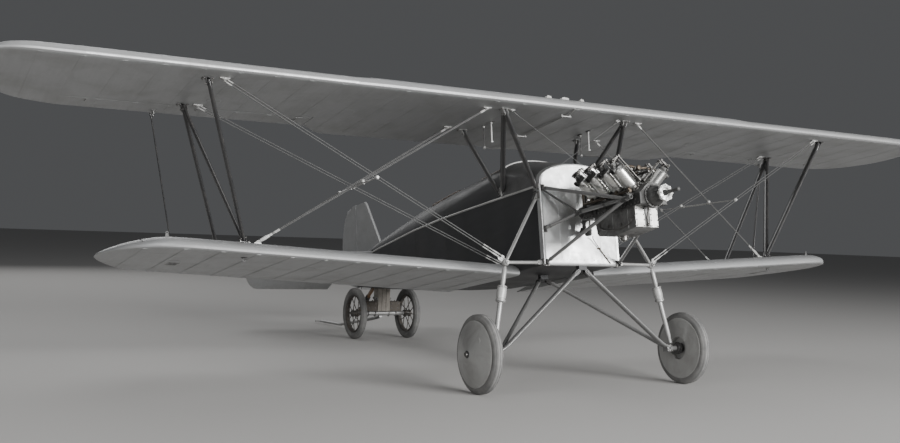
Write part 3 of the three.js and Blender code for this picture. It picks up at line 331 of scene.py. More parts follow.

# %% [markdown]
# ## Painted and bare metal
# Struts are enamelled black, dusty and rubbed; the firewall is bare sheet polished in swirls; the engine
# is oily cast aluminium, bright sheet jackets and steel. Some black tubes get a lighter grey enamel instead:
# a painted highlight for the light along their tops. Each metal shares one recipe: a clean colour, a
# second colour where it is worn or dirty, and fine scratches in its bump.

# %% Metal finishes
def metal(name, clean, dirty, roughness, metallic, dirt, scale, scratch, coat):
    f = Finish(name)
    patches = f.ramp(f.noise(scale, 6, 0.65, distortion=0.6), (0.42, 0.0), (0.7, 1.0))
    fine = f.noise(260, 2, 0.6)
    scored = f.noise(40, 2, 0.5, at=f.stretched((1, 14, 3), (0.4, 0.3, 0.8)))
    smudge = f.noise(scale * 0.3, 3, 0.5)
    base = f.blend(patches * dirt, clean, dirty)
    base = f.blend(smudge * 0.3, base, tuple(0.7 * c for c in clean))
    return f.set(
        Base_Color=base,
        Roughness=roughness + patches * 0.18 * dirt + (scored - 0.5) * 0.12,
        Metallic=metallic,
        Coat_Weight=coat,
        Normal=f.bump(fine * 0.5 + scored * scratch, 0.2, 0.0015),
    )


METALS = [
    # name, clean colour, dirty colour, roughness, metallic, dirt, scale, scratch, coat
    ("black_enamel", (0.030, 0.030, 0.031), (0.12, 0.11, 0.10), 0.30, 0.0, 0.30, 12, 0.2, 0.4),
    # next row: a grey lighter than black enamel, a painted highlight for the light along the tops of black
    # tubes
    ("worn_enamel", (0.17, 0.17, 0.168), (0.10, 0.097, 0.09), 0.34, 0.2, 0.45, 12, 0.2, 0.3),
    ("grey_enamel", (0.34, 0.34, 0.335), (0.15, 0.14, 0.125), 0.38, 0.3, 0.35, 12, 0.2, 0.0),
    ("side_strip", (0.42, 0.42, 0.41), (0.20, 0.19, 0.175), 0.40, 0.2, 0.45, 5, 0.2, 0.0),
    ("scuttle_sheet", (0.20, 0.20, 0.20), (0.10, 0.10, 0.098), 0.45, 0.75, 0.5, 4, 0.5, 0.0),
    ("engine_castings", (0.095, 0.095, 0.093), (0.022, 0.020, 0.018), 0.50, 0.6, 0.8, 14, 0.2, 0.0),
    ("sump_casting", (0.20, 0.20, 0.196), (0.05, 0.047, 0.043), 0.50, 0.6, 0.75, 11, 0.2, 0.0),
    ("cylinder_jackets", (0.70, 0.70, 0.68), (0.26, 0.24, 0.21), 0.26, 0.95, 0.5, 10, 0.3, 0.0),
    ("sump_plates", (0.62, 0.62, 0.60), (0.30, 0.28, 0.25), 0.34, 0.9, 0.6, 9, 0.4, 0.0),
    ("engine_steel", (0.17, 0.165, 0.158), (0.030, 0.027, 0.024), 0.36, 0.85, 0.6, 22, 0.3, 0.0),
    ("copper_pipe", (0.105, 0.086, 0.068), (0.035, 0.031, 0.027), 0.44, 0.8, 0.7, 16, 0.3, 0.0),
    ("wire_steel", (0.085, 0.085, 0.084), (0.05, 0.048, 0.045), 0.55, 0.3, 0.4, 20, 0.3, 0.0),
    ("hub_steel", (0.70, 0.70, 0.68), (0.35, 0.33, 0.30), 0.30, 0.5, 0.3, 25, 0.3, 0.0),
    ("wheel_cover", (0.36, 0.36, 0.35), (0.20, 0.19, 0.18), 0.33, 0.15, 0.50, 6, 0.3, 0.35),
    ("dolly_iron", (0.09, 0.088, 0.085), (0.20, 0.15, 0.11), 0.55, 0.3, 0.6, 18, 0.2, 0.0),
]
for row in METALS:
    FINISHES[row[0]] = metal(*row)

# %% [markdown]
# The firewall's thin sheet is not quite flat: it buckles between its rivets, and that wide, shallow
# waviness breaks the reflections up. Greasy hands and oil mist have dulled it in patches.

# %% Firewall finish
def buckled_sheet(name):
    f = Finish(name)
    waves = f.noise(3.2, 2, 0.4, distortion=0.8)
    swirl = f.noise(30, 3, 0.6, at=f.stretched((1, 1, 0.35), (0, 0.5, 0)))
    mist = f.ramp(f.noise(2.6, 6, 0.68, distortion=0.5), (0.42, 0.0), (0.66, 1.0))
    base = f.blend(mist * 0.55, (0.74, 0.75, 0.75), (0.36, 0.355, 0.34))
    base = f.blend(swirl * 0.25, base, (0.50, 0.50, 0.49))
    return f.set(
        Base_Color=base,
        Roughness=0.26 + mist * 0.22 + swirl * 0.12,
        Metallic=0.9,
        Normal=f.bump(waves + swirl * 0.03, 0.35, 0.03),
    )


FINISHES["firewall_sheet"] = buckled_sheet("firewall_sheet")

# %% [markdown]
# ## Rubber, leather, cord and wood
# Old tyres go grey and craze. Leather has a pebbled grain that shows as small cells, and wood has long
# grain, which a noise squeezed along one axis gives.

# %% Rubber, leather and wood finishes
def rubber(name, fresh, aged):
    f = Finish(name)
    dusty = f.ramp(f.noise(7, 5, 0.6), (0.35, 0.0), (0.7, 1.0))
    crazed = f.noise(160, 4, 0.7)
    base = f.blend(dusty, fresh, aged)
    return f.set(Base_Color=base, Roughness=0.72 + dusty * 0.15, Normal=f.bump(crazed, 0.3, 0.002))


def leather(name):
    f = Finish(name)
    cells = {"Vector": f.level, "Scale": 260.0}
    edges = f.node("ShaderNodeTexVoronoi", {"feature": "DISTANCE_TO_EDGE"}, cells, "Distance")
    rubbed = f.ramp(f.noise(9, 4, 0.6), (0.4, 0.0), (0.75, 1.0))
    base = f.blend(rubbed, (0.055, 0.033, 0.021), (0.15, 0.095, 0.06))
    pebble = f.ramp(edges, (0.0, 0.0), (0.12, 1.0))
    return f.set(Base_Color=base, Roughness=0.42 + rubbed * 0.2, Normal=f.bump(pebble, 0.35, 0.0015))


def timber(name, pale, dark, roughness, coat, grain_along):
    f = Finish(name)
    grain = f.noise(3, 4, 0.6, at=f.stretched(grain_along), distortion=0.6)
    rings = f.ramp(grain, (0.35, 0.0), (0.5, 1.0), (0.62, 0.25))
    base = f.blend(rings, dark, pale)
    base = f.blend(f.noise(5) * 0.3, base, tuple(0.6 * c for c in dark))
    bump = f.bump(grain, 0.2, 0.002)
    return f.set(Base_Color=base, Roughness=roughness + grain * 0.15, Coat_Weight=coat, Normal=bump)


FINISHES["tyre_rubber"] = rubber("tyre_rubber", (0.13, 0.13, 0.128), (0.23, 0.226, 0.218))
FINISHES["black_rubber"] = rubber("black_rubber", (0.02, 0.02, 0.021), (0.07, 0.068, 0.063))
FINISHES["seat_leather"] = leather("seat_leather")
FINISHES["panel_wood"] = timber("panel_wood", (0.30, 0.17, 0.08), (0.16, 0.085, 0.04), 0.30, 0.5, (22, 3, 60))
FINISHES["dolly_wood"] = timber("dolly_wood", (0.33, 0.305, 0.27), (0.19, 0.17, 0.15), 0.7, 0.0, (50, 6, 8))
FINISHES["oiled_wood"] = timber("oiled_wood", (0.105, 0.088, 0.070), (0.05, 0.042, 0.034), 0.6, 0.0,
                                (50, 6, 8))
print("finishes:", len(FINISHES))

# %% [markdown]
# ## Drawing shapes
# Each piece is a list of points and faces. A few plain functions draw the shapes that an aircraft is
# made of: a skin through rings, a tube along a path, a streamlined bar, a turned part and a block. A
# `Form` gathers them, and `piece` turns the form into an object, stands it in the parked attitude,
# hangs it on the body it rides on and hides the plain node it stands for.

# %% Rings, skins and tubes
AFT = Vector((0, 1, 0))
UP = Vector((0, 0, 1))
PORT = Vector((1, 0, 0))


def vec(*numbers):
    return Vector(numbers)


class Form:
    def __init__(self, *shapes):
        self.points = []
        self.faces = []
        for shape in shapes:
            self.add(shape)

    def add(self, shape, place=None):
        points, faces = shape
        base = len(self.points)
        self.points += [tuple(place @ Vector(p) if place else p) for p in points]
        self.faces += [tuple(base + i for i in face) for face in faces]
        return self


def skin(rings, capped=True, looped=False):
    count = len(rings[0])
    points = [p for ring in rings for p in ring]
    faces = []
    for r in range(len(rings) - (0 if looped else 1)):
        after = (r + 1) % len(rings)
        for i in range(count):
            j = (i + 1) % count
            faces.append((r * count + i, r * count + j, after * count + j, after * count + i))
    if capped and not looped:
        faces.append(tuple(reversed(range(count))))
        faces.append(tuple(range((len(rings) - 1) * count, len(rings) * count)))
    return points, faces


def frames_along(path, hint=None):
    """Directions across a path at each point, turned as little as possible from one to the next."""
    path = [Vector(p) for p in path]
    out = []
    side = None
    for i, p in enumerate(path):
        along = (path[min(i + 1, len(path) - 1)] - path[max(i - 1, 0)]).normalized()
        if side is None:
            start = hint or (AFT if abs(along.y) < 0.9 else UP)
            side = start.cross(along)
        side = (side - along * side.dot(along)).normalized()
        out.append((p, side, along.cross(side).normalized()))
    return out


def turns(count, start=0.0, sweep=2 * math.pi):
    return [start + sweep * k / count for k in range(count)]


def tube(path, radius, sides=10, hint=None, flat=1.0):
    radii = radius if isinstance(radius, (list, tuple)) else [radius] * len(path)
    rings = []
    for (p, u, w), r in zip(frames_along(path, hint), radii):
        rings.append([p + u * (r * flat * math.cos(t)) + w * (r * math.sin(t)) for t in turns(sides)])
    return skin(rings)


def rod(a, b, radius, sides=12):
    return tube([a, b], radius, sides)


def bend(points, steps=8):
    """A smooth path through a few points."""
    points = [Vector(p) for p in points]
    padded = [2 * points[0] - points[1], *points, 2 * points[-1] - points[-2]]
    path = []
    for a, b, c, d in zip(padded, padded[1:], padded[2:], padded[3:]):
        for k in range(steps):
            t = k / steps
            path.append(0.5 * (2 * b + (c - a) * t + (2 * a - 5 * b + 4 * c - d) * t ** 2
                               + (3 * b - a - 3 * c + d) * t ** 3))
    return [*path, points[-1]]


# %% Bars, turned parts and blocks
def squarish(value, power):
    """A sine or cosine pushed outwards, which turns a circle into a rounded square."""
    return math.copysign(abs(value) ** power, value)


def turned(profile, centre, axis, segments=32):
    """A turned part: rows of radius and distance along the axis."""
    axis = Vector(axis).normalized()
    side = (UP if abs(axis.z) < 0.9 else PORT).cross(axis).normalized()
    other = axis.cross(side)
    rings = []
    for r, d in profile:
        centre_here = Vector(centre) + axis * d
        r = max(r, 1e-5)
        rings.append([centre_here + side * (r * math.cos(t)) + other * (r * math.sin(t))
                      for t in turns(segments)])
    return skin(rings)


def ball(centre, radius, segments=16, axis=UP):
    steps = segments // 2
    profile = [(radius * math.sin(math.pi * k / steps), -radius * math.cos(math.pi * k / steps))
               for k in range(steps + 1)]
    return turned(profile, centre, axis, segments)


def block(low, high):
    (x0, y0, z0), (x1, y1, z1) = [[f(a, b) for a, b in zip(low, high)] for f in (min, max)]
    points = [(x, y, z) for z in (z0, z1) for y in (y0, y1) for x in (x0, x1)]
    return points, [(0, 2, 3, 1), (4, 5, 7, 6), (0, 1, 5, 4), (2, 6, 7, 3), (0, 4, 6, 2), (1, 3, 7, 5)]


def slab(outline, thickness, origin, u, w):
    """A flat outline, drawn in directions u and w, given a thickness about its plane."""
    u, w = Vector(u), Vector(w)
    n = u.cross(w).normalized() * (thickness / 2)
    ring = [Vector(origin) + u * a + w * b for a, b in outline]
    return skin([[p - n for p in ring], [p + n for p in ring]])


def rounded_slot(length, width, steps=6):
    """A flat outline with round ends, about the origin and along its first direction."""
    r, h = width / 2, (length - width) / 2
    half = math.pi / steps
    right = [(h + r * math.cos(-math.pi / 2 + k * half), r * math.sin(-math.pi / 2 + k * half))
             for k in range(steps + 1)]
    left = [(-x, -y) for x, y in right]
    return right + left


# %% From a form to a piece
def clean_mesh(name, points, faces, merge=1e-6):
    mesh = bpy.data.meshes.new(name)
    mesh.from_pydata(points, [], faces)
    work = bmesh.new()
    work.from_mesh(mesh)
    bmesh.ops.remove_doubles(work, verts=work.verts, dist=merge)
    bmesh.ops.dissolve_degenerate(work, edges=work.edges, dist=merge)
    bmesh.ops.recalc_face_normals(work, faces=work.faces)
    work.to_mesh(mesh)
    work.free()
    return mesh


def settle(made, slot, body, replaces, finish):
    made.data.materials.clear()
    made.data.materials.append(FINISHES[finish or slot])
    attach(made, body)
    if replaces:
        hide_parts(*replaces)
    return made


def piece(name, form, slot, body="airframe", replaces=(), place=PARKED, sharp=35, bevel=0.0, finish=None):
    mesh = clean_mesh(name, [place @ Vector(p) for p in form.points], form.faces)
    mesh.shade_smooth()
    mesh.set_sharp_from_angle(angle=math.radians(sharp))
    made = bpy.data.objects.new(name, mesh)
    bpy.context.scene.collection.objects.link(made)
    if bevel:
        rounding = made.modifiers.new("rounded edges", "BEVEL")
        rounding.width = bevel
        rounding.segments = 2
        rounding.limit_method = "ANGLE"
        rounding.angle_limit = math.radians(40)
        rounding.harden_normals = True
    return settle(made, slot, body, replaces, finish)


def eased(table_x, table_y, x):
    """A smooth curve through a table that never overshoots it."""
    tx, ty = np.asarray(table_x, float), np.asarray(table_y, float)
    slope = np.diff(ty) / np.diff(tx)
    tangent = np.concatenate([[slope[0]], np.zeros(len(tx) - 2), [slope[-1]]])
    for i in range(1, len(tx) - 1):
        if slope[i - 1] * slope[i] > 0:
            tangent[i] = 2 * slope[i - 1] * slope[i] / (slope[i - 1] + slope[i])
    i = int(np.clip(np.searchsorted(tx, x) - 1, 0, len(tx) - 2))
    h = tx[i + 1] - tx[i]
    t = float(np.clip((x - tx[i]) / h, 0, 1))
    return float(
        ty[i] * (1 + 2 * t) * (1 - t) ** 2 + tangent[i] * h * t * (1 - t) ** 2
        + ty[i + 1] * t * t * (3 - 2 * t) + tangent[i + 1] * h * t * t * (t - 1)
    )


# %% [markdown]
# ## Recipes for what repeats
# Bolt heads, stitches, tapes, springs and spokes repeat by the hundred. Each kind gets a Geometry Nodes
# tree with named sizes. `run_recipe` gives the tree a mesh of marks, sets its inputs, takes the result
# as a plain mesh and drops the modifier, so the finished piece is ordinary geometry.

# %% Geometry recipes
class Recipe(Wiring):
    """A Geometry Nodes tree: marks in, finished shapes out, with named sizes."""

    def __init__(self, name, **sizes):
        super().__init__(bpy.data.node_groups.new(name, "GeometryNodeTree"))
        face = self.tree.interface
        face.new_socket("Marks", in_out="INPUT", socket_type="NodeSocketGeometry")
        for key, value in sizes.items():
            kind = "NodeSocketInt" if isinstance(value, int) else "NodeSocketFloat"
            face.new_socket(key, in_out="INPUT", socket_type=kind).default_value = value
        face.new_socket("Finish", in_out="INPUT", socket_type="NodeSocketMaterial")
        face.new_socket("Shapes", in_out="OUTPUT", socket_type="NodeSocketGeometry")
        entry = self.tree.nodes.new("NodeGroupInput")
        self.given = {socket.name: Signal(self, socket) for socket in entry.outputs}

    def named(self, name, kind="FLOAT_VECTOR"):
        return self.node("GeometryNodeInputNamedAttribute", {"data_type": kind}, {"Name": name})

    def xyz(self, x=0.0, y=0.0, z=0.0):
        return self.node("ShaderNodeCombineXYZ", {}, [x, y, z])

    def merged(self, *parts):
        made = self.tree.nodes.new("GeometryNodeJoinGeometry")
        for part in reversed(parts):
            self.tree.links.new(part.socket, made.inputs[0])
        return Signal(self, made.outputs[0])

    def moved(self, shape, **values):
        names = {key.replace("_", " "): value for key, value in values.items()}
        return self.node("GeometryNodeTransform", {}, {"Geometry": shape, **names})

    def done(self, shapes):
        plain = self.node("GeometryNodeRealizeInstances", {}, {"Geometry": shapes})
        values = {"Geometry": plain, "Material": self.given["Finish"]}
        coloured = self.node("GeometryNodeSetMaterial", {}, values)
        leave = self.tree.nodes.new("NodeGroupOutput")
        self.tree.links.new(coloured.socket, leave.inputs[0])
        return self.tree


def run_recipe(name, tree, points, edges=(), facing=None, tilt=None, slot="engine_steel", body="airframe",
               place=PARKED, sharp=35, replaces=(), finish=None, **sizes):
    mesh = bpy.data.meshes.new(name + "_marks")
    mesh.from_pydata([place @ Vector(p) for p in points], list(edges), [])
    turn = place.to_3x3()
    for key, rows in (("facing", facing), ("along", tilt)):
        if rows is not None:
            attribute = mesh.attributes.new(key, "FLOAT_VECTOR", "POINT")
            attribute.data.foreach_set("vector", [c for row in rows
                                                  for c in (turn @ Vector(row)).normalized()])
    marks = bpy.data.objects.new(name + "_marks", mesh)
    bpy.context.scene.collection.objects.link(marks)
    maker = marks.modifiers.new("recipe", "NODES")
    maker.node_group = tree
    inputs = {item.name: item.identifier for item in tree.interface.items_tree if item.in_out == "INPUT"}
    for key, value in sizes.items():
        maker[inputs[key.replace("_", " ")]] = value
    maker[inputs["Finish"]] = FINISHES[finish or slot]
    ready = bpy.data.meshes.new_from_object(marks.evaluated_get(bpy.context.evaluated_depsgraph_get()))
    bpy.data.objects.remove(marks)
    ready.name = name
    ready.shade_smooth()
    ready.set_sharp_from_angle(angle=math.radians(sharp))
    made = bpy.data.objects.new(name, ready)
    bpy.context.scene.collection.objects.link(made)
    print(name, "faces:", len(ready.polygons))
    return settle(made, slot, body, replaces, finish)


# %% [markdown]
# A bolt is a washer, a six-sided nut and a stub of thread. Marks carry a `facing` direction, and the
# tree stands one bolt on each, its axis along that direction.

# %% Recipe for bolts
def bolt_recipe():
    r = Recipe("bolts", Across=0.014, Height=0.007, Washer=0.010, Stub=0.005, Sides=6)
    radius, height, stub = r.given["Across"] * 0.5, r.given["Height"], r.given["Stub"]

    def drum(sides, wide, tall, low):
        shape = r.node("GeometryNodeMeshCylinder", {}, {"Vertices": sides, "Radius": wide, "Depth": tall})
        return r.moved(shape, Translation=r.xyz(z=tall * 0.5 + low))

    washer = drum(12, r.given["Washer"], 0.0012, 0.0)
    nut = drum(r.given["Sides"], radius, height, 0.001)
    thread = drum(8, radius * 0.5, stub, height)
    turn = r.node("FunctionNodeAlignRotationToVector", {"axis": "Z"}, {"Vector": r.named("facing")})
    values = {"Points": r.given["Marks"], "Instance": r.merged(washer, nut, thread), "Rotation": turn}
    return r.done(r.node("GeometryNodeInstanceOnPoints", {}, values))


BOLTS = bolt_recipe()

# %% [markdown]
# A rivet is only a low dome, flattened on its underside. Stitches are the same dome stretched across
# the seam, so one tree serves both: its dome has a length, a width and a height, and the `along` mark
# says which way it lies.

# %% Recipe for rivets and stitches
def dome_recipe():
    r = Recipe("domes", Length=0.006, Width=0.006, Height=0.002)
    dome = r.node("GeometryNodeMeshIcoSphere", {}, {"Radius": 0.5, "Subdivisions": 2}, "Mesh")
    shaped = r.moved(dome, Scale=r.xyz(r.given["Length"], r.given["Width"], r.given["Height"] * 2))
    stand = r.node("FunctionNodeAlignRotationToVector", {"axis": "Z"}, {"Vector": r.named("facing")})
    values = {"Rotation": stand, "Vector": r.named("along")}
    lie = r.node("FunctionNodeAlignRotationToVector", {"axis": "X", "pivot_axis": "Z"}, values)
    values = {"Points": r.given["Marks"], "Instance": shaped, "Rotation": lie}
    return r.done(r.node("GeometryNodeInstanceOnPoints", {}, values))


DOMES = dome_recipe()

# %% [markdown]
# Tapes, cables and pipes all follow a path. One tree sweeps a flat tape along edges that lie on a
# surface, and one sweeps a twisted strand, whose tilt grows with its length, for wire rope and cord.

# %% Recipes for tapes and strands
def tape_recipe():
    r = Recipe("tapes", Width=0.044, Thickness=0.0012)
    curve = r.node("GeometryNodeMeshToCurve", {}, {"Mesh": r.given["Marks"]})
    values = {"Curve": curve, "Normal": r.named("along")}
    faced = r.node("GeometryNodeSetCurveNormal", {"mode": "FREE"}, values)
    values = {"Width": r.given["Width"], "Height": r.given["Thickness"]}
    section = r.node("GeometryNodeCurvePrimitiveQuadrilateral", {"mode": "RECTANGLE"}, values)
    values = {"Curve": faced, "Profile Curve": section, "Fill Caps": True}
    return r.done(r.node("GeometryNodeCurveToMesh", {}, values))


def strand_recipe():
    r = Recipe("strands", Radius=0.0035, Twist=60.0, Step=0.012, Lobes=6)
    curve = r.node("GeometryNodeMeshToCurve", {}, {"Mesh": r.given["Marks"]})
    values = {"Curve": curve, "Length": r.given["Step"]}
    even = r.node("GeometryNodeResampleCurve", {"mode": "LENGTH"}, values)
    length = r.node("GeometryNodeSplineParameter", {}, [], "Length")
    tilted = r.node("GeometryNodeSetCurveTilt", {}, {"Curve": even, "Tilt": length * r.given["Twist"]})
    radius = r.given["Radius"]
    values = {"Points": r.given["Lobes"], "Inner Radius": radius * 0.8, "Outer Radius": radius}
    section = r.node("GeometryNodeCurveStar", {}, values)
    values = {"Curve": tilted, "Profile Curve": section, "Fill Caps": True}
    return r.done(r.node("GeometryNodeCurveToMesh", {}, values))


TAPES = tape_recipe()
STRANDS = strand_recipe()

# %% [markdown]
# Valve springs and other coils come from a spiral swept with a round section, stood on each mark.

# %% Recipe for coil springs
def spring_recipe():
    r = Recipe("springs", Radius=0.014, Height=0.04, Wire=0.002, Rounds=5.0)
    values = {"Resolution": 14, "Rotations": r.given["Rounds"], "Height": r.given["Height"]}
    values |= {"Start Radius": r.given["Radius"], "End Radius": r.given["Radius"]}
    spiral = r.node("GeometryNodeCurveSpiral", {}, values)
    section = r.node("GeometryNodeCurvePrimitiveCircle", {}, {"Resolution": 6, "Radius": r.given["Wire"]})
    coil = r.node("GeometryNodeCurveToMesh", {}, {"Curve": spiral, "Profile Curve": section,
                                                  "Fill Caps": True})
    turn = r.node("FunctionNodeAlignRotationToVector", {"axis": "Z"}, {"Vector": r.named("facing")})
    values = {"Points": r.given["Marks"], "Instance": coil, "Rotation": turn}
    return r.done(r.node("GeometryNodeInstanceOnPoints", {}, values))


SPRINGS = spring_recipe()
print("recipes:", len(bpy.data.node_groups))

# %% [markdown]
# ## The wing section
# A wing rib of this age is thin, nearly flat underneath and highest a quarter of the way back. The
# table gives the rib as fractions of the chord. Cloth sags a few millimetres between ribs, which is
# what makes an old wing catch the light in bands, so rings are drawn at every rib and between them.

# %% Rib shape and cloth sag
TOP_AT = [0, 0.004, 0.02, 0.1, 0.28, 0.5, 0.75, 1]
TOP_HEIGHT = [0.021, 0.036, 0.052, 0.082, 0.098, 0.088, 0.052, 0.006]
LOW_AT = [0, 0.004, 0.02, 0.1, 1]
LOW_HEIGHT = [0.021, 0.009, 0.002, 0, 0]
CHORD_STEPS = 26
SAG = 0.0050


def chord_places():
    return [0.5 * (1 - math.cos(math.pi * k / CHORD_STEPS)) for k in range(CHORD_STEPS + 1)]


def sag_at(x, fraction):
    between = math.sin(math.pi * x / RIB_PITCH) ** 2
    return SAG * between * math.sin(math.pi * min(1, max(0, (fraction - 0.06) / 0.94)))


def rib_top(station, y):
    chord = station["rear"] - station["front"]
    fraction = min(1, max(0, (y - station["front"]) / chord))
    height = eased(TOP_AT, TOP_HEIGHT, fraction) * chord * station["thin"]
    return station["z"] + height - sag_at(station["x"], fraction)


def rib_low(station, y):
    chord = station["rear"] - station["front"]
    fraction = min(1, max(0, (y - station["front"]) / chord))
    height = eased(LOW_AT, LOW_HEIGHT, fraction) * chord * station["thin"]
    return station["z"] + height + 0.6 * sag_at(station["x"], fraction)


def rib_ring(station):
    """One closed loop: from the trailing edge over the top to the nose and back underneath."""
    front, chord = station["front"], station["rear"] - station["front"]
    ys = [front + c * chord for c in chord_places()]
    over = [vec(station["x"], y, rib_top(station, y)) for y in reversed(ys)]
    under = [vec(station["x"], y, rib_low(station, y)) for y in ys[1:]]
    return over + under


def ring_places(start, stop, per_bay=4):
    step = RIB_PITCH / per_bay
    inner = [k * step for k in range(math.ceil(start / step), math.floor(stop / step) + 1)]
    return [start] + [x for x in inner if start + 0.01 < x < stop - 0.01] + [stop]


# %% [markdown]
# ## Wing plans
# Seen from above, each wing is straight with a raked, rounded tip. The tip tables give how far the two
# edges have drawn in at some distance from the tip, and how thin the wing has become there.

# %% Plans of the two wings
UPPER_HALF_SPAN = 5.300
LOWER_HALF_SPAN = 4.270
UPPER_Z = 2.314
UPPER_LE, UPPER_TE, AILERON_TE = -0.165, 1.440, 1.215
LOWER_LE, LOWER_TE = 0.392, 1.840
NOTCH_START, NOTCH_END = 2.090, 2.310
AILERON_INNER, AILERON_OUTER = 2.330, 4.560
UPPER_TIP = [
    # distance from the tip, front edge back, rear edge forward, height kept
    (0, 0.415, 0.765, 0.4), (0.04, 0.195, 0.535, 0.65), (0.12, 0.075, 0.365, 0.85),
    (0.24, 0.015, 0.215, 0.95), (0.4, 0, 0.095, 1), (0.7, 0, 0, 1),
]
LOWER_TIP = [
    (0, 0.658, 0.700, 0.4), (0.03, 0.528, 0.560, 0.65), (0.12, 0.348, 0.360, 0.85),
    (0.27, 0.168, 0.140, 0.95), (0.47, 0.033, 0, 1), (0.67, 0, 0, 1),
]


def tip_row(table, inset):
    near = [math.sqrt(row[0]) for row in table]
    return [eased(near, [row[k] for row in table], math.sqrt(max(0, inset))) for k in (1, 2, 3)]


def upper_station(x):
    front, rear, thin = tip_row(UPPER_TIP, min(UPPER_HALF_SPAN - abs(x), 0.7))
    wide = min(1, max(0, (NOTCH_END - abs(x)) / (NOTCH_END - NOTCH_START)))
    trailing = AILERON_TE + (UPPER_TE - AILERON_TE) * wide
    return {"x": x, "front": UPPER_LE + front, "rear": trailing - rear, "thin": thin, "z": UPPER_Z}


def lower_wing_z(x):
    return 0.734 + 0.058 * abs(x)


def lower_station(x):
    front, rear, thin = tip_row(LOWER_TIP, min(LOWER_HALF_SPAN - abs(x), 0.67))
    return {"x": x, "front": LOWER_LE + front, "rear": LOWER_TE - rear, "thin": thin, "z": lower_wing_z(x)}


def tip_places(half_span, start):
    steps = [0.7 * (k / 16) ** 2 for k in range(16, -1, -1)]
    return [x for x in (half_span - s for s in steps) if x > start + 0.02]


def wing_rings(station, start, side, half_span):
    places = ring_places(start, half_span - 0.7)
    places += tip_places(half_span, places[-1])
    return [rib_ring(station(side * x)) for x in places]


# %% [markdown]
# ## The upper wing
# The upper wing is one piece from tip to tip. Behind its rear spar a bay is left open for each aileron,
# with a hollow cove that the aileron's round nose turns in.

# %% Upper wing
HINGE_Y, HINGE_Z = 0.925, 2.350
COVE_RADIUS = 0.033
NOSE_RADIUS = 0.026
LIP = 0.012
RUNNING_GAP = 0.005


def bay_ring(station):
    """The wing's section in front of an aileron, with its cove."""
    x, front = station["x"], station["front"]
    rise = rib_top(station, HINGE_Y) - HINGE_Z
    top_lip = HINGE_Y - math.sqrt(COVE_RADIUS ** 2 - rise ** 2)
    over = [front + c * (top_lip - front) for c in reversed(chord_places())]
    under = [front + c * (HINGE_Y - LIP - front) for c in chord_places()][1:]
    start = math.atan2(-COVE_RADIUS, -LIP)
    sweep = math.atan2(rise, top_lip - HINGE_Y) - 2 * math.pi - start
    cove = [vec(x, HINGE_Y + COVE_RADIUS * math.cos(t), HINGE_Z + COVE_RADIUS * math.sin(t))
            for t in turns(8, start, sweep)]
    return [vec(x, y, rib_top(station, y)) for y in over] + [vec(x, y, rib_low(station, y))
            for y in under] + cove


def upper_wing_form():
    middle = ring_places(0, AILERON_INNER - RUNNING_GAP)
    across = [-x for x in reversed(middle[1:])] + middle
    form = Form(skin([rib_ring(upper_station(x)) for x in across]))
    for side in SIDES.values():
        places = ring_places(AILERON_INNER - RUNNING_GAP, AILERON_OUTER + RUNNING_GAP)
        form.add(skin([bay_ring(upper_station(side * x)) for x in places]))
        form.add(skin(wing_rings(upper_station, AILERON_OUTER + RUNNING_GAP, side, UPPER_HALF_SPAN)))
    return form


piece("upper_wing_cloth", upper_wing_form(), "silver_fabric", replaces=["upper_wing"], sharp=30)

# %% [markdown]
# ## Ailerons
# Each aileron is a narrow wing of its own, with a round nose at the hinge line.

# %% Ailerons
BLADE_START = 0.030


def aileron_ring(station):
    x, rear = station["x"], station["rear"]
    over = [HINGE_Y + 0.004 + c * (rear - HINGE_Y - 0.004) for c in reversed(chord_places())]
    under = [HINGE_Y + BLADE_START + c * (rear - HINGE_Y - BLADE_START) for c in chord_places()]
    nose = [vec(x, HINGE_Y + NOSE_RADIUS * math.cos(t), HINGE_Z + NOSE_RADIUS * math.sin(t))
            for t in turns(9, math.radians(104), math.radians(180))]
    return [vec(x, y, rib_top(station, y)) for y in over] + nose + [vec(x, y, rib_low(station, y))
            for y in under]


for side_name, side in SIDES.items():
    places = ring_places(AILERON_INNER, AILERON_OUTER)
    form = Form(skin([aileron_ring(upper_station(side * x)) for x in places]))
    node = "aileron_" + side_name
    piece(node + "_cloth", form, "silver_fabric", node, [node], sharp=30)

# %% [markdown]
# ## Cutting
# Some skins need a hole cut through them. `carved` takes solids out of a form with exact booleans and
# hands back points and faces, so that what follows treats it like any other form.

# %% Lower wings
SLOT_X, SLOT_Y = (3.538, 3.606), (1.221, 1.339)


def carved(name, form, cutters):
    holders = []
    for index, shape in enumerate([form, *cutters]):
        mesh = clean_mesh(f"{name}_{index}", shape.points, shape.faces)
        holders.append(bpy.data.objects.new(mesh.name, mesh))
        bpy.context.scene.collection.objects.link(holders[-1])
    for holder in holders[1:]:
        cut = holders[0].modifiers.new("cut", "BOOLEAN")
        cut.operation = "DIFFERENCE"
        cut.solver = "EXACT"
        cut.object = holder
    ready = bpy.data.meshes.new_from_object(holders[0].evaluated_get(bpy.context.evaluated_depsgraph_get()))
    result = Form(([v.co.copy() for v in ready.vertices], [tuple(p.vertices) for p in ready.polygons]))
    for holder in holders:
        bpy.data.objects.remove(holder)
    return result


for side_name, side in SIDES.items():
    form = Form(skin(wing_rings(lower_station, 0.444, side, LOWER_HALF_SPAN)))
    slot = Form(block((side * SLOT_X[0], SLOT_Y[0], 0.7), (side * SLOT_X[1], SLOT_Y[1], 1.2)))
    node = "lower_wing_" + side_name
    piece(node + "_cloth", carved(node, form, [slot]), "silver_fabric", replaces=[node], sharp=30)
print("wings and ailerons drawn")

# %% [markdown]
# ## Rib tapes and stitching
# Cloth is sewn to every rib with a knot every few centimetres, and a doped tape covers each row. These
# rows follow the wing's surface, so the marks are laid on the same rib shape and the two recipes put a
# tape along it and a knot at each place.

# %% Rows along the ribs
TAPE_WIDTH = 0.044
STITCH_PITCH = 0.080


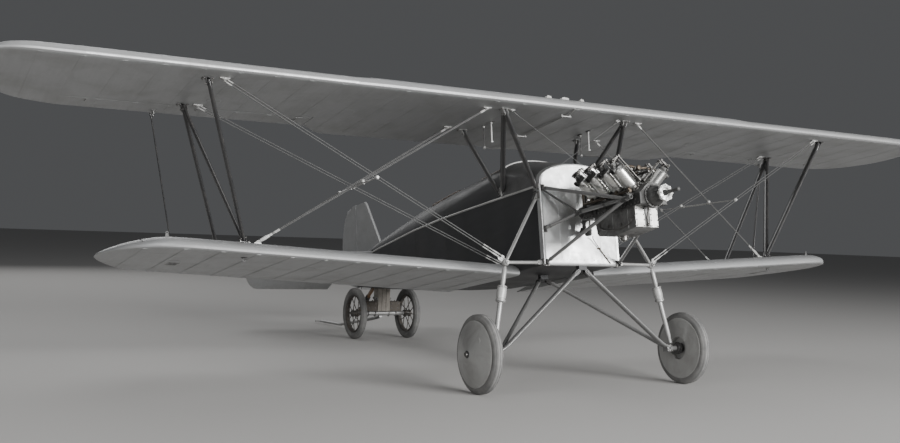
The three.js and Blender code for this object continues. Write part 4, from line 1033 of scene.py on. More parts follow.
class Marks:
    """Places for a recipe: points, the way each faces, the way it lies, and edges between them."""

    def __init__(self):
        self.points, self.edges, self.facing, self.along = [], [], [], []

    def mark(self, point, facing=UP, along=PORT):
        self.points.append(Vector(point))
        self.facing.append(Vector(facing))
        self.along.append(Vector(along))

    def path(self, points, along=PORT):
        base = len(self.points)
        for point in points:
            self.mark(point, UP, along)
        self.edges += [(base + k, base + k + 1) for k in range(len(points) - 1)]

    def line(self, a, b, pitch, facing, along=PORT, inset=0.5):
        a, b = Vector(a), Vector(b)
        count = max(1, round((b - a).length / pitch))
        for k in range(count):
            self.mark(a.lerp(b, (k + inset) / count), facing, along)


def make(name, recipe, marks, slot="engine_steel", body="airframe", **more):
    return run_recipe(name, recipe, marks.points, marks.edges, marks.facing, marks.along, slot, body, **more)


# %% Tapes and knots on every surface
def rib_numbers(start, stop):
    return [k * RIB_PITCH for k in range(math.ceil(start / RIB_PITCH), math.floor(stop / RIB_PITCH) + 1)]


def wing_front(row, face):
    return row["front"] + 0.02 * (row["rear"] - row["front"])


def wing_rear(row, face):
    return row["rear"] - 0.004


def bay_rear(row, face):
    return HINGE_Y - (0.026 if face > 0 else LIP + 0.002)


def blade_front(row, face):
    return HINGE_Y + (0.006 if face > 0 else BLADE_START + 0.002)


def rib_rows(station, xs, start, stop, tapes, knots):
    """Tapes and knots on both faces of the ribs at xs, between two places along the chord."""
    for x in xs:
        row = station(x)
        for height, face in ((rib_top, 1), (rib_low, -1)):
            ys = np.linspace(start(row, face), stop(row, face), 18)
            tapes.path([vec(x, y, height(row, y) + 0.0004 * face) for y in ys])
            for y in np.arange(ys[0] + 0.05, ys[-1] - 0.03, STITCH_PITCH):
                knots.mark((x, y, height(row, y) + 0.0009 * face), (0, 0, face), AFT)


def cloth_rows(name, rows, body="airframe"):
    tapes, knots = Marks(), Marks()
    for station, xs, start, stop in rows:
        rib_rows(station, xs, start, stop, tapes, knots)
    make(name + "_rib_tapes", TAPES, tapes, "silver_fabric", body, Width=TAPE_WIDTH)
    make(name + "_rib_knots", DOMES, knots, "silver_fabric", body, Length=0.016, Width=0.005, Height=0.0018)


both = [-1, 1]
middle = rib_numbers(-AILERON_INNER, AILERON_INNER)
bays = [s * x for s in both for x in rib_numbers(AILERON_INNER, AILERON_OUTER)]
tips = [s * x for s in both for x in rib_numbers(AILERON_OUTER, UPPER_HALF_SPAN - 0.15)]
cloth_rows("upper_wing", [
    (upper_station, middle, wing_front, wing_rear),
    (upper_station, bays, wing_front, bay_rear),
    (upper_station, tips, wing_front, wing_rear),
])
for side_name, side in SIDES.items():
    blades = [side * x for x in rib_numbers(AILERON_INNER, AILERON_OUTER)]
    cloth_rows("aileron_" + side_name, [(upper_station, blades, blade_front, wing_rear)],
               "aileron_" + side_name)
    ribs = [side * x for x in rib_numbers(0.5, LOWER_HALF_SPAN - 0.15)]
    cloth_rows("lower_wing_" + side_name, [(lower_station, ribs, wing_front, wing_rear)])

# %% [markdown]
# ## The body's shape
# The body is a box of four longerons with a rounded deck of stringers on top, covered in cloth. The
# table gives half width, bottom, shoulder and crown along its length.

# %% Body sections
BODY_AT = [-0.030, 0.620, 1.450, 1.900, 2.720, 4.000, 5.186]
BODY_HALF = [0.438, 0.442, 0.436, 0.425, 0.372, 0.220, 0.034]
BODY_BOTTOM = [0.812, 0.800, 0.800, 0.806, 0.880, 1.045, 1.200]
BODY_SHOULDER = [1.610, 1.800, 1.700, 1.660, 1.600, 1.580, 1.570]
BODY_CROWN = [1.795, 1.970, 1.950, 1.940, 1.900, 1.745, 1.606]
FRAME_PITCH = 0.45
DECK_STRINGERS = 8


def body_at(y):
    rows = (BODY_HALF, BODY_BOTTOM, BODY_SHOULDER, BODY_CROWN)
    return [float(np.interp(y, BODY_AT, row)) for row in rows]


def body_ring(y, grow=0.0, corner=0.018, sag=0.004):
    half, bottom, shoulder, crown = body_at(y)
    half, bottom, crown = half + grow, bottom - grow, crown + grow
    corner = min(corner, half * 0.5)
    swell = sag * math.sin(math.pi * (y - 0.62) / FRAME_PITCH) ** 2
    ring = []
    for k in range(-6, 7):
        x = k / 6 * (half - corner)
        ring.append(vec(x, y, bottom + swell * math.cos(k / 6 * math.pi / 2)))
    for k in range(1, 4):
        t = math.radians(-90 + 90 * k / 4)
        ring.append(vec(half - corner + corner * math.cos(t), y, bottom + corner + corner * math.sin(t)))
    for k in range(0, 9):
        g = k / 8
        z = bottom + corner + (shoulder - bottom - corner) * g
        ring.append(vec(half - swell * math.sin(math.pi * g), y, z))
    steps = 32
    for k in range(1, steps):
        t = math.pi * k / steps
        dip = 0.7 * sag * abs(math.sin(DECK_STRINGERS * t)) * min(1, half / 0.2)
        ring.append(vec((half - dip) * math.cos(t), y, shoulder + (crown - dip - shoulder) * math.sin(t)))
    for k in range(8, -1, -1):
        g = k / 8
        z = bottom + corner + (shoulder - bottom - corner) * g
        ring.append(vec(-half + swell * math.sin(math.pi * g), y, z))
    for k in range(3, 0, -1):
        t = math.radians(-90 - 90 * k / 4)
        ring.append(vec(-half + corner + corner * math.cos(t), y, bottom + corner + corner * math.sin(t)))
    return ring


def body_solid(start, stop, grow=0.0, step=0.075, sag=0.004):
    count = max(2, round((stop - start) / step))
    places = sorted({start + (stop - start) * k / count for k in range(count + 1)} | {y for y in BODY_AT
            if start < y < stop})
    return Form().add(skin([body_ring(y, grow, sag=sag) for y in places]))


# %% [markdown]
# ## Front body with its cockpits
# The front body is hollow. Its two openings are cut from above: each is square ahead and rounded
# behind, where the coaming runs round the occupant's back.

# %% Front body
WALL = 0.020
COCKPITS = {
    "front": {"front": 0.640, "rear": 1.330, "half": 0.300, "seat": 1.010},
    "rear": {"front": 1.760, "rear": 2.480, "half": 0.285, "seat": 2.150},
}
COCKPIT_CORNER = 0.150


def cockpit_outline(cockpit, steps=10):
    front, rear, half = cockpit["front"], cockpit["rear"], cockpit["half"]
    r = COCKPIT_CORNER
    points = [(-half, front), (half, front)]
    points += [(half, front + (rear - r - front) * k / 6) for k in range(1, 6)]
    for k in range(steps + 1):
        t = math.pi / 2 * k / steps
        points.append((half - r + r * math.cos(t), rear - r + r * math.sin(t)))
    for k in range(steps + 1):
        t = math.pi / 2 * (1 + k / steps)
        points.append((r - half + r * math.cos(t), rear - r + r * math.sin(t)))
    points += [(-half, front + (rear - r - front) * k / 6) for k in range(5, 0, -1)]
    return points


cutters = [body_solid(-0.010, 2.700, -WALL, 0.3, 0)]
for cockpit in COCKPITS.values():
    outline = cockpit_outline(cockpit)
    cutters.append(Form().add(skin([[vec(x, y, z) for x, y in outline] for z in (1.56, 2.3)])))
cutters.append(Form().add(block((-0.5, 0.392, 0.7), (0.5, 1.840, 0.799))))
front_body = carved("front_body", body_solid(-0.030, 2.720), cutters)
for y, z in ((-0.004, 0.806), (0.651, 0.796)):
    front_body.add(block((-0.045, y - 0.025, z - 0.040), (0.045, y + 0.025, z + 0.022)))
piece("front_body_cloth", front_body, "black_fabric", replaces=["fuselage_front"], sharp=40)

# %% [markdown]
# ## Rear body
# Behind the cockpits the body tapers to the sternpost. The tailplane passes through a slot.

# %% Rear body
tail_slot = Form().add(block((-0.4, 4.358, 1.5517), (0.4, 5.25, 1.5983)))
fin_slot = Form().add(block((-0.0203, 4.338, 1.575), (0.0203, 5.4, 2.2)))
rear_body = carved("rear_body", body_solid(2.7203, 5.186), [tail_slot, fin_slot])
rear_body.add(rod((0, 5.215, 1.322), (0, 5.215, 1.338), 0.022, 16))
rear_body.add(block((-0.012, 5.15, 1.322), (0.012, 5.205, 1.338)))
piece("rear_body_cloth", rear_body, "black_fabric", replaces=["fuselage_rear"], sharp=40)
print("body drawn")

# %% [markdown]
# ## Tail surfaces
# The tail is flat: a frame of tube covered both sides, a little thicker at its middle than at its
# rounded edge. Each surface is drawn as a grid between a front and a rear edge.

# %% Tail surfaces
TAIL_Y = 5.215
TAIL_Z = 1.575


def quad_curve(a, b, c, steps=10):
    a, b, c = Vector(a), Vector(b), Vector(c)
    return [a * (1 - t) ** 2 + b * 2 * t * (1 - t) + c * t ** 2
            for t in (k / steps for k in range(1, steps + 1))]


def pillow(span, edges, thickness, place, pitch=0.3, sag=0.003, steps=14):
    """A thin two-sided surface: span places, edges(s) gives front and rear, place puts it in the air."""
    rings = []
    for s in span:
        front, rear = edges(s)
        width = rear - front
        sag_here = sag * math.sin(math.pi * s / pitch) ** 2
        over, under = [], []
        for k in range(steps + 1):
            c = 0.5 * (1 - math.cos(math.pi * k / steps))
            round_off = min(1.0, math.sqrt(max(0, 1 - (1 - min(c * width, (1 - c) * width)
                                                       / (thickness / 2)) ** 2))
                            if min(c, 1 - c) * width < thickness / 2 else 1.0)
            h = thickness / 2 * round_off - sag_here * math.sin(math.pi * c)
            over.append(place(s, front + c * width, h))
            under.append(place(s, front + c * width, -h))
        rings.append(list(reversed(over)) + under[1:-1])
    return skin(rings)


def tailplane_edges(x):
    x = abs(x)
    if x < 1.280:
        front = 4.360 + (4.700 - 4.360) * x / 1.280
    else:
        t = 1 - math.sqrt(max(0, 1 - (x - 1.280) / 0.320))
        front = 4.700 * (1 - t) ** 2 + 4.800 * 2 * t * (1 - t) + 5.188 * t ** 2
    return front, 5.188


def span_places(start, stop, step=0.075, tip=0.0):
    places = [start + (stop - start) * k / max(1, round((stop - start) / step))
              for k in range(max(1, round((stop - start) / step)) + 1)]
    if tip:
        places = [x for x in places if x < stop - tip] + [stop - tip * (k / 10) ** 2
                                                          for k in range(10, -1, -1)]
    return places


half = span_places(0.0, 1.597, 0.075, 0.3)
span = [-x for x in reversed(half[1:])] + half
form = Form()
form.add(pillow(span, tailplane_edges, 0.046, lambda s, y, h: vec(s, y, TAIL_Z + h)))
for x in (-1.3, -0.5, 0.5, 1.3):
    form.add(rod((x - 0.008, TAIL_Y, TAIL_Z), (x + 0.008, TAIL_Y, TAIL_Z), 0.022, 18))
    form.add(block((x - 0.008, 5.168, TAIL_Z - 0.012), (x + 0.008, TAIL_Y, TAIL_Z + 0.012)))
piece("tailplane_cloth", form, "silver_fabric", replaces=["tailplane"], sharp=35)

DROOP = math.radians(33)


def elevator_edges(x):
    x = abs(x)
    if x < 0.160:
        return 0.0, 0.12 * (x - 0.080) / 0.080
    if x < 0.235:
        return 0.0, 0.12 + 0.48 * (x - 0.160) / 0.075
    if x < 1.340:
        return 0.0, 0.600
    a, b, c = (0.600, 0.480, 0.0)
    s = (-(1.560 - 1.340) + math.sqrt(max(0, (1.560 - 1.340) ** 2 + (1.6 - 2 * 1.56 + 1.34)
                                          * (x - 1.340)))) / (1.6 - 2 * 1.56 + 1.34)
    s = min(1, max(0, s))
    return 0.0, max(0.002, a * (1 - s) ** 2 + 2 * b * s * (1 - s) + c * s * s)


def elevator_place(s, y, h):
    nose = 0.021
    y = y - nose if y > 0 else -nose
    y = y + nose * (y / 0.6) if y > 0 else y
    return vec(s, TAIL_Y + y * math.cos(DROOP) + h * math.sin(DROOP),
               TAIL_Z - y * math.sin(DROOP) + h * math.cos(DROOP))


form = Form()
for side in SIDES.values():
    places = [0.085, 0.12, 0.16] + span_places(0.19, 1.598, 0.075, 0.28)
    form.add(pillow([side * x for x in places], lambda s: (0.0, elevator_edges(s)[1] + 0.021), 0.042,
                    elevator_place))
form.add(rod((-0.2, TAIL_Y, TAIL_Z), (0.2, TAIL_Y, TAIL_Z), 0.0215, 18))
piece("elevator_cloth", form, "silver_fabric", "elevator", ["elevator"], sharp=35)


def fin_edges(z):
    if z < 2.282:
        return 4.340 + (4.800 - 4.340) * (z - 1.5983) / (2.282 - 1.5983), 5.188
    bow = 2.372 - 2 * 2.352 + 2.282
    under_root = max(0, 4 * 0.07 ** 2 - 4 * bow * (2.282 - z))
    s = (-2 * 0.070 + math.sqrt(under_root)) / (2 * bow)
    s = min(1, max(0, s))
    front = 4.800 * (1 - s) ** 2 + 2 * 4.840 * s * (1 - s) + 4.900 * s * s
    return front, 5.188


form = Form()
form.add(pillow(span_places(1.5983, 2.355, 0.07, 0.09), fin_edges, 0.040, lambda s, y, h: vec(h, y, s)))
for z in (1.70, 2.24):
    form.add(rod((0, TAIL_Y, z - 0.008), (0, TAIL_Y, z + 0.008), 0.022, 18))
    form.add(block((-0.012, 5.168, z - 0.008), (0.012, TAIL_Y, z + 0.008)))
piece("fin_cloth", form, "silver_fabric", replaces=["fin"], sharp=35)


def rudder_outline():
    points = [vec(0, 1.190, 0)]
    points += quad_curve((0, 1.190, 0), (0.286, 1.190, 0), (0.442, 1.460, 0))
    points += quad_curve((0.442, 1.460, 0), (0.582, 1.850, 0), (0.364, 2.220, 0))
    points += quad_curve((0.364, 2.220, 0), (0.234, 2.382, 0), (0, 2.366, 0))
    return points


RUDDER_EDGE = rudder_outline()


def rudder_edges(z):
    best = 0.0
    for a, b in zip(RUDDER_EDGE, RUDDER_EDGE[1:]):
        if min(a.y, b.y) <= z <= max(a.y, b.y) and abs(b.y - a.y) > 1e-9:
            best = max(best, a.x + (b.x - a.x) * (z - a.y) / (b.y - a.y))
    return (0.061 if 1.515 < z < 1.635 else -0.021), max(best, 0.01)


form = Form()
for low_z, high_z in ((1.1905, 1.5149), (1.5151, 1.6349), (1.6351, 2.366)):
    form.add(pillow(span_places(low_z, high_z, 0.05), rudder_edges, 0.040, lambda s, y,
                    h: vec(h, TAIL_Y + y, s)))
piece("rudder_cloth", form, "silver_fabric", "rudder", ["rudder"], sharp=35)
print("tail drawn")

# %% [markdown]
# ## Struts
# The struts are steel tube drawn to a streamline section, enamelled black. Each end is swaged into a
# flat fork and pinned between the cheeks of a fitting. A strut here is a bar that narrows towards both
# ends, with its end sockets, pins and fittings added as shapes of their own.

# %% Streamlined struts
STRUT_THICK, STRUT_CHORD = 0.032, 0.078
SPAR_UPPER = (0.068, 0.873)
SPAR_LOWER = (0.616, 1.331)


def lower_top_z(x, y):
    return rib_top(lower_station(x), y)


def tapered_strut(a, b, thickness, chord, neck=0.07, steps=9):
    """A streamline bar whose last stretch at both ends draws in to a narrow neck."""
    a, b = Vector(a), Vector(b)
    length = (b - a).length
    along = (b - a).normalized()
    across = AFT.cross(along).normalized()
    back = along.cross(across)
    back = back if back.y > 0 else -back
    ends = [0, 0.012, 0.03, 0.05, neck + 0.02]
    places = ends + [length * k / steps for k in range(1, steps)] + [length - e for e in reversed(ends)]
    rings = []
    for d in sorted(places):
        edge = min(d, length - d)
        grow = 0.62 + 0.38 * min(1, edge / (neck + 0.02)) ** 0.6
        section = []
        for t in turns(22):
            c = 0.5 * (1 - math.cos(t))
            width = math.copysign(math.sin(math.pi * c ** 0.72), math.sin(t)) if 0 < c < 1 else 0
            section.append(a + along * d + across * (width * thickness / 2 * (0.8 + 0.2 * grow))
                           + back * ((c - 0.42) * chord * grow))
        rings.append(section)
    return skin(rings)


def pinned_end(form, marks, point, toward, thickness, plate_normal=PORT):
    """Two cheek plates about a strut's end, with a bolt through them."""
    point, along = Vector(point), (Vector(toward) - Vector(point)).normalized()
    normal = (Vector(plate_normal) - along * Vector(plate_normal).dot(along)).normalized()
    width = along.cross(normal)
    for s in (-1, 1):
        centre = point + along * 0.022 + normal * (s * (thickness / 2 + 0.003))
        form.add(slab(rounded_slot(0.085, 0.040), 0.004, centre, along, width))
        marks.mark(point + along * 0.045 + normal * (s * (thickness / 2 + 0.005)), normal * s)


# %% Interplane struts
def interplane(side_name, side):
    bars, plates, pins = Form(), Form(), Marks()
    top = [vec(side * x, y, UPPER_Z) for x, y in zip((3.574, 3.577), SPAR_UPPER)]
    foot = [vec(side * x, y, lower_top_z(x, y)) for x, y in zip((3.118, 3.128), SPAR_LOWER)]
    for a, b in ((top[0], foot[0]), (top[1], foot[1]), (top[1], foot[0])):
        along = (b - a).normalized()
        bars.add(tapered_strut(a + along * 0.012, b - along * 0.010, STRUT_THICK, STRUT_CHORD))
        pinned_end(plates, pins, a, b, STRUT_THICK)
        pinned_end(plates, pins, b, a, STRUT_THICK)
    for x, y, z, face in [(*p, -1) for p in top] + [(*p, 1) for p in foot]:
        slope = 0.0 if face < 0 else 0.058 * side
        base = vec(x, y, z + 0.003 * face)
        u = vec(1, 0, slope).normalized()
        plates.add(slab([(-0.05, -0.03), (0.05, -0.03), (0.05, 0.03), (-0.05, 0.03)], 0.004, base, u, AFT))
        for dx in (-0.038, 0.038):
            for dy in (-0.019, 0.019):
                pins.mark(base + u * dx + AFT * dy + UP * (0.002 * face), (0, 0, face))
    name = "interplane_struts_" + side_name
    piece(name + "_bars", bars, "black_enamel", replaces=[name], sharp=50)
    piece(name + "_fittings", plates, "black_enamel", sharp=30, bevel=0.001)
    make(name + "_bolts", BOLTS, pins, Across=0.013, Height=0.006, Washer=0.010)


for side_name, side in SIDES.items():
    interplane(side_name, side)

# %% Cabane struts
CABANE_X, CABANE_FOOT_X = 0.724, 0.448
CABANE_TOP_Y = (0.060, 0.873)
CABANE_FRONT = (0.020, 1.560)
CABANE_REAR = ((0.600, 1.634), (0.690, 1.650))


def cabane(side_name, side):
    bars, plates, pins = Form(), Form(), Marks()
    top = [vec(side * CABANE_X, y, UPPER_Z) for y in CABANE_TOP_Y]
    foot = [vec(side * (CABANE_FOOT_X + 0.004), y, z) for y, z in (CABANE_FRONT, *CABANE_REAR)]
    for a, b in ((top[0], foot[0]), (top[0], foot[1]), (top[1], foot[2])):
        along = (b - a).normalized()
        bars.add(tapered_strut(a + along * 0.012, b, STRUT_THICK, STRUT_CHORD))
        pinned_end(plates, pins, a, b, STRUT_THICK)
    for p in top:
        plates.add(block(p + vec(-0.05, -0.032, -0.004), p + vec(0.05, 0.032, -0.0005)))
        for dx in (-0.038, 0.038):
            for dy in (-0.02, 0.02):
                pins.mark(p + vec(dx, dy, -0.004), (0, 0, -1))
    for p in (foot[0], (foot[1] + foot[2]) / 2):
        origin = vec(side * 0.4425, p.y, p.z)
        plates.add(slab([(-0.05, -0.034), (0.05, -0.034), (0.05, 0.03), (0, 0.05), (-0.05, 0.03)], 0.006,
                        origin + PORT * (side * 0.003), AFT, UP))
        for dy, dz in ((-0.036, -0.022), (0.036, -0.022), (0, -0.005)):
            pins.mark(origin + vec(side * 0.006, dy, dz), (side, 0, 0))
    name = "cabane_struts_" + side_name
    piece(name + "_bars", bars, "black_enamel", replaces=[name], sharp=50)
    piece(name + "_fittings", plates, "black_enamel", sharp=30, bevel=0.001, finish="grey_enamel")
    make(name + "_bolts", BOLTS, pins, Across=0.013, Height=0.006, Washer=0.010)


for side_name, side in SIDES.items():
    cabane(side_name, side)
print("struts drawn")

# %% [markdown]
# ## Bracing wires
# Flying wires carry the lift and are doubled; landing wires are single. Each is a strand of steel wire
# with a turnbuckle at its lower end: a barrel between two forked screws. Where the wires cross, wooden
# spreader bars and clips stop them from drumming.

# %% Turnbuckles and wire ends
def turnbuckle(form, start, along, length=0.15, stout=1.0):
    """A spindle barrel with an eye and a fork, from a pin at start."""
    profile = [(0.0045, 0.0), (0.0045, 0.03), (0.0062, 0.032), (0.0078, 0.055), (0.0082, 0.075),
               (0.0078, 0.095), (0.0062, 0.118), (0.0045, 0.12), (0.0045, length)]
    form.add(turned([(r * stout, d) for r, d in profile], start, along, 12))
    side = along.cross(UP).normalized()
    for s in (-1, 1):
        form.add(slab(rounded_slot(0.034, 0.016, 4), 0.003, start + along * 0.004 + side * (s * 0.006), along,
                      along.cross(side)))
    form.add(rod(start - side * 0.011, start + side * 0.011, 0.004, 8))


def thimble(form, end, along):
    """The strand's end, bent round a thimble and bound back on itself."""
    side = along.cross(UP).normalized()
    loop = [end + along * (0.012 - 0.012 * math.cos(t)) + side * (0.009 * math.sin(t)) for t in turns(12)]
    form.add(tube([*loop, loop[0]], 0.0028, 6))
    form.add(tube([end + along * 0.024, end + along * 0.075], 0.0062, 8))


def bracing_wire(strands, fittings, lower, upper, doubled, stout=1.0):
    lower, upper = Vector(lower), Vector(upper)
    along = (upper - lower).normalized()
    aside = (UP - along * UP.dot(along)).normalized()
    for offset in ((-0.012, 0.012) if doubled else (-0.0045, 0.0045)):
        a, b = lower + aside * offset, upper + aside * offset
        turnbuckle(fittings, a, along, 0.15, stout)
        thimble(fittings, a + along * 0.15, along)
        thimble(fittings, b, -along)
        strands.path([a + along * 0.17, b - along * 0.03])


# %% Flying and landing wires
WIRE_TOP_Z = UPPER_Z - 0.012
NODE = vec(0.855, -0.003, 0.827)


def at_x(a, b, x):
    return a.lerp(b, (x - a.x) / (b.x - a.x))


def lug(form, point, toward, base_normal):
    """A plate standing from a spar fitting to take the end of a wire."""
    along = (Vector(toward) - Vector(point)).normalized()
    side = along.cross(Vector(base_normal)).normalized()
    form.add(slab(rounded_slot(0.056, 0.024, 4), 0.004, Vector(point) - along * 0.012, along,
                  along.cross(side)))
    form.add(rod(Vector(point) - side * 0.009, Vector(point) + side * 0.009, 0.0045, 8))


def wires(side_name, side):
    def at(x, y, z):
        return vec(side * x, y, z)

    strands, fittings, bars, pins = Marks(), Form(), Form(), Marks()
    node = at(NODE.x + 0.030, NODE.y, NODE.z + 0.044)
    root = at(0.452, 0.640, 0.884)
    top = [at(3.447, 0.030, WIRE_TOP_Z), at(3.447, 0.850, WIRE_TOP_Z)]
    inner = [at(0.905, 0.079, WIRE_TOP_Z), at(0.930, 0.818, WIRE_TOP_Z)]
    foot = [at(3.0, y, lower_top_z(3.0, y) + 0.014) for y in SPAR_LOWER]
    for lower, upper, doubled in ((node, top[0], True), (root, top[1], True), (foot[0], inner[0], False),
                                  (foot[1], inner[1], False)):
        bracing_wire(strands, fittings, lower, upper, doubled, 1.0 if doubled else 1.55)
        lug(fittings, lower, upper, AFT)
        lug(fittings, upper, lower, AFT)
    for p in top + inner:
        fittings.add(block(p + vec(-0.042, -0.020, 0.004), p + vec(0.042, 0.020, 0.0115)))
        fittings.add(turned([(0.0, -0.004), (0.024, -0.004), (0.022, 0.006), (0.012, 0.013), (0.0, 0.015)],
                            p + vec(0, 0, 0.006), (0, 0, -1), 20))
        pins.mark(p + vec(side * 0.02, 0, 0.004), (0, 0, -1))
        pins.mark(p + vec(-side * 0.02, 0, 0.004), (0, 0, -1))
    for p in foot:
        fittings.add(block(p + vec(-0.030, -0.016, -0.014), p + vec(0.030, 0.016, -0.004)))
        pins.mark(p + vec(side * 0.02, 0, -0.004), (0, 0, 1))
        pins.mark(p + vec(-side * 0.02, 0, -0.004), (0, 0, 1))
    front, rear = at_x(node, top[0], side * 2.110), at_x(foot[1], inner[1], side * 2.010)
    bars.add(tube([front, front.lerp(rear, 0.5), rear], [0.0065, 0.010, 0.0065], 12))
    for cross in (front, rear, at_x(root, top[1], side * 2.010), at_x(foot[0], inner[0], side * 2.080)):
        along = (rear - front).normalized()
        near = front + along * max(0, min((rear - front).length, (cross - front).dot(along)))
        bars.add(tube([cross, near], 0.005, 8))
        bars.add(tube([near - along * 0.02, near + along * 0.02], 0.012, 12))
        bars.add(ball(cross, 0.019, 16))
    name = "bracing_wires_" + side_name
    make(name + "_strands", STRANDS, strands, "wire_steel", replaces=[name], sharp=60, Radius=0.0052)
    piece(name + "_fittings", fittings, "wire_steel", sharp=40, finish="side_strip")
    piece(name + "_spreader", bars, "wire_steel", sharp=50, finish="side_strip")
    make(name + "_bolts", BOLTS, pins, Across=0.011, Height=0.005, Washer=0.008)


for side_name, side in SIDES.items():
    wires(side_name, side)
print("wires drawn")

# %% [markdown]
# ## Undercarriage legs
# Two legs a side run from fittings under the keel to a knuckle, where the front leg bends into the stub
# axle. An outrigger of tubes carries the top of a sprung strut. The strut's sleeve hides its rubber
# springs; they are not jointed, so the sleeve is drawn closed.

# %% Legs and knuckles
KNUCKLE_X = 0.985
HALF_TRACK = 1.183
FRONT_FITTING, REAR_FITTING = (-0.004, 0.806), (0.651, 0.796)
LEG_THICK, LEG_CHORD = 0.034, 0.070


def bent_leg(side, y, z):
    """The path of the front leg: straight down, then bent level towards the wheel."""
    start, knee = vec(side * 0.046, y, z - 0.0505), vec(side * 0.960, 0, 0.008)
    before = start.lerp(knee, 0.88)
    after = vec(side * 1.035, 0, 0.0)
    corner = [before.lerp(knee, t).lerp(knee.lerp(after, t), t) for t in np.linspace(0, 1, 9)]
    return [start, start.lerp(knee, 0.3), start.lerp(knee, 0.6), *corner]


def leg_tube(path, thick, chord):
    """A streamline section swept along a bent path, its chord kept along the flight."""
    rings = []
    for i, p in enumerate(path):
        along = (Vector(path[min(i + 1, len(path) - 1)]) - Vector(path[max(i - 1, 0)])).normalized()
        across = AFT.cross(along).normalized()
        back = along.cross(across)
        back = back if back.y > 0 else -back
        squash = max(0.0, (i - 6) / (len(path) - 7)) if i > 6 else 0.0
        width, depth = thick * (1 + 0.25 * squash), chord * (1 - 0.4 * squash)
        rings.append([p + across * (width / 2 * math.cos(t)) + back * (depth / 2 * math.sin(t))
                      for t in turns(20)])
    return skin(rings)


def gear_side(side_name, side):
    def at(x, y, z):
        return vec(side * x, y, z)

    legs, steel, pins = Form(), Form(), Marks()
    front = bent_leg(side, *FRONT_FITTING)
    legs.add(leg_tube(front, LEG_THICK, LEG_CHORD))
    rear_top, rear_foot = at(0.046, REAR_FITTING[0], REAR_FITTING[1] - 0.0505), at(0.958, 0.012, 0.018)
    legs.add(tapered_strut(rear_top, rear_foot, LEG_THICK, LEG_CHORD, 0.05))
    for top, foot in ((front[0], front[1]), (rear_top, rear_foot)):
        along = (foot - top).normalized()
        legs.add(tube([top, top + along * 0.09], 0.020, 14, flat=1.0))
        pinned_end(steel, pins, top, foot, 0.036, AFT)
    block_low, block_high = at(KNUCKLE_X - 0.030, -0.036, -0.030), at(KNUCKLE_X + 0.030, 0.036, 0.030)
    legs.add(block(block_low, block_high))
    legs.add(turned([(0.034, 0), (0.034, 0.018), (0.029, 0.02), (0.025, 0.05), (0.025, 0.16), (0.025, 0.253)],
                    at(KNUCKLE_X, 0, 0), (side, 0, 0), 28))
    for dy in (-0.020, 0.020):
        for dz in (-0.017, 0.017):
            pins.mark(at(KNUCKLE_X + dz, -0.036, dy), (0, -1, 0))
            pins.mark(at(KNUCKLE_X + dz, dy, 0.030), (0, 0, 1))
    steel.add(tube([at(KNUCKLE_X, -0.045, 0.0), at(KNUCKLE_X, 0.045, 0.0)], 0.009, 12))
    name = "gear_legs_" + side_name
    # the legs' grey enamel is a painted highlight: black legs coloured lighter for the light on their upper
    # edges
    piece(name + "_tubes", legs, "black_enamel", replaces=[name], sharp=45, bevel=0.0025,
          finish="worn_enamel")
    piece(name + "_plates", steel, "black_enamel", sharp=30, bevel=0.001)
    make(name + "_bolts", BOLTS, pins, Across=0.012, Height=0.006, Washer=0.009)


for side_name, side in SIDES.items():
    gear_side(side_name, side)

# %% Outriggers
NODE_RADIUS = 0.036


def outrigger(side_name, side):
    def at(x, y, z):
        return vec(side * x, y, z)

    tubes, plates, pins = Form(), Form(), Marks()
    node = at(NODE.x, NODE.y, NODE.z)
    low, high = at(0.4385, 0.018, 0.836), at(0.4395, 0.024, 1.480)
    for end, thick, chord in ((low, 0.032, 0.054), (high, 0.028, 0.060)):
        along = (node - end).normalized()
        tubes.add(tapered_strut(end + along * 0.012, node - along * 0.02, thick, chord, 0.05))
        plates.add(slab([(-0.045, -0.035), (0.045, -0.035), (0.045, 0.035), (-0.045, 0.035)], 0.005,
                        end + PORT * (side * 0.0035), AFT, UP))
        pinned_end(plates, pins, end + PORT * (side * 0.004), node, thick, AFT)
        for dy in (-0.034, 0.034):
            for dz in (-0.024, 0.024):
                pins.mark(end + vec(side * 0.006, dy, dz), (side, 0, 0))
    tubes.add(ball(node, NODE_RADIUS, 20, AFT))
    tubes.add(rod(node - AFT * 0.048, node + AFT * 0.048, 0.013, 14))
    for s in (-1, 1):
        pins.mark(node + AFT * (s * 0.048), (0, s, 0))
        plates.add(turned([(0.018, -0.002), (0.018, 0.002)], node + AFT * (s * 0.040), AFT, 24))
    for toward in (at(3.447, 0.030, 2.3), at(2.2, 0.1, 1.6)):
        along = (toward - node).normalized()
        plates.add(slab(rounded_slot(0.09, 0.026, 4), 0.004, node + along * 0.045, along, along.cross(AFT)))
    name = "outrigger_" + side_name
    # the tubes' grey enamel is a painted highlight: black tubes whose flat tops catch the light, coloured
    # grey all over
    piece(name + "_tubes", tubes, "black_enamel", replaces=[name], sharp=45, finish="grey_enamel")
    piece(name + "_plates", plates, "black_enamel", sharp=30, bevel=0.001, finish="worn_enamel")
    make(name + "_bolts", BOLTS, pins, Across=0.013, Height=0.006, Washer=0.010)


for side_name, side in SIDES.items():
    outrigger(side_name, side)

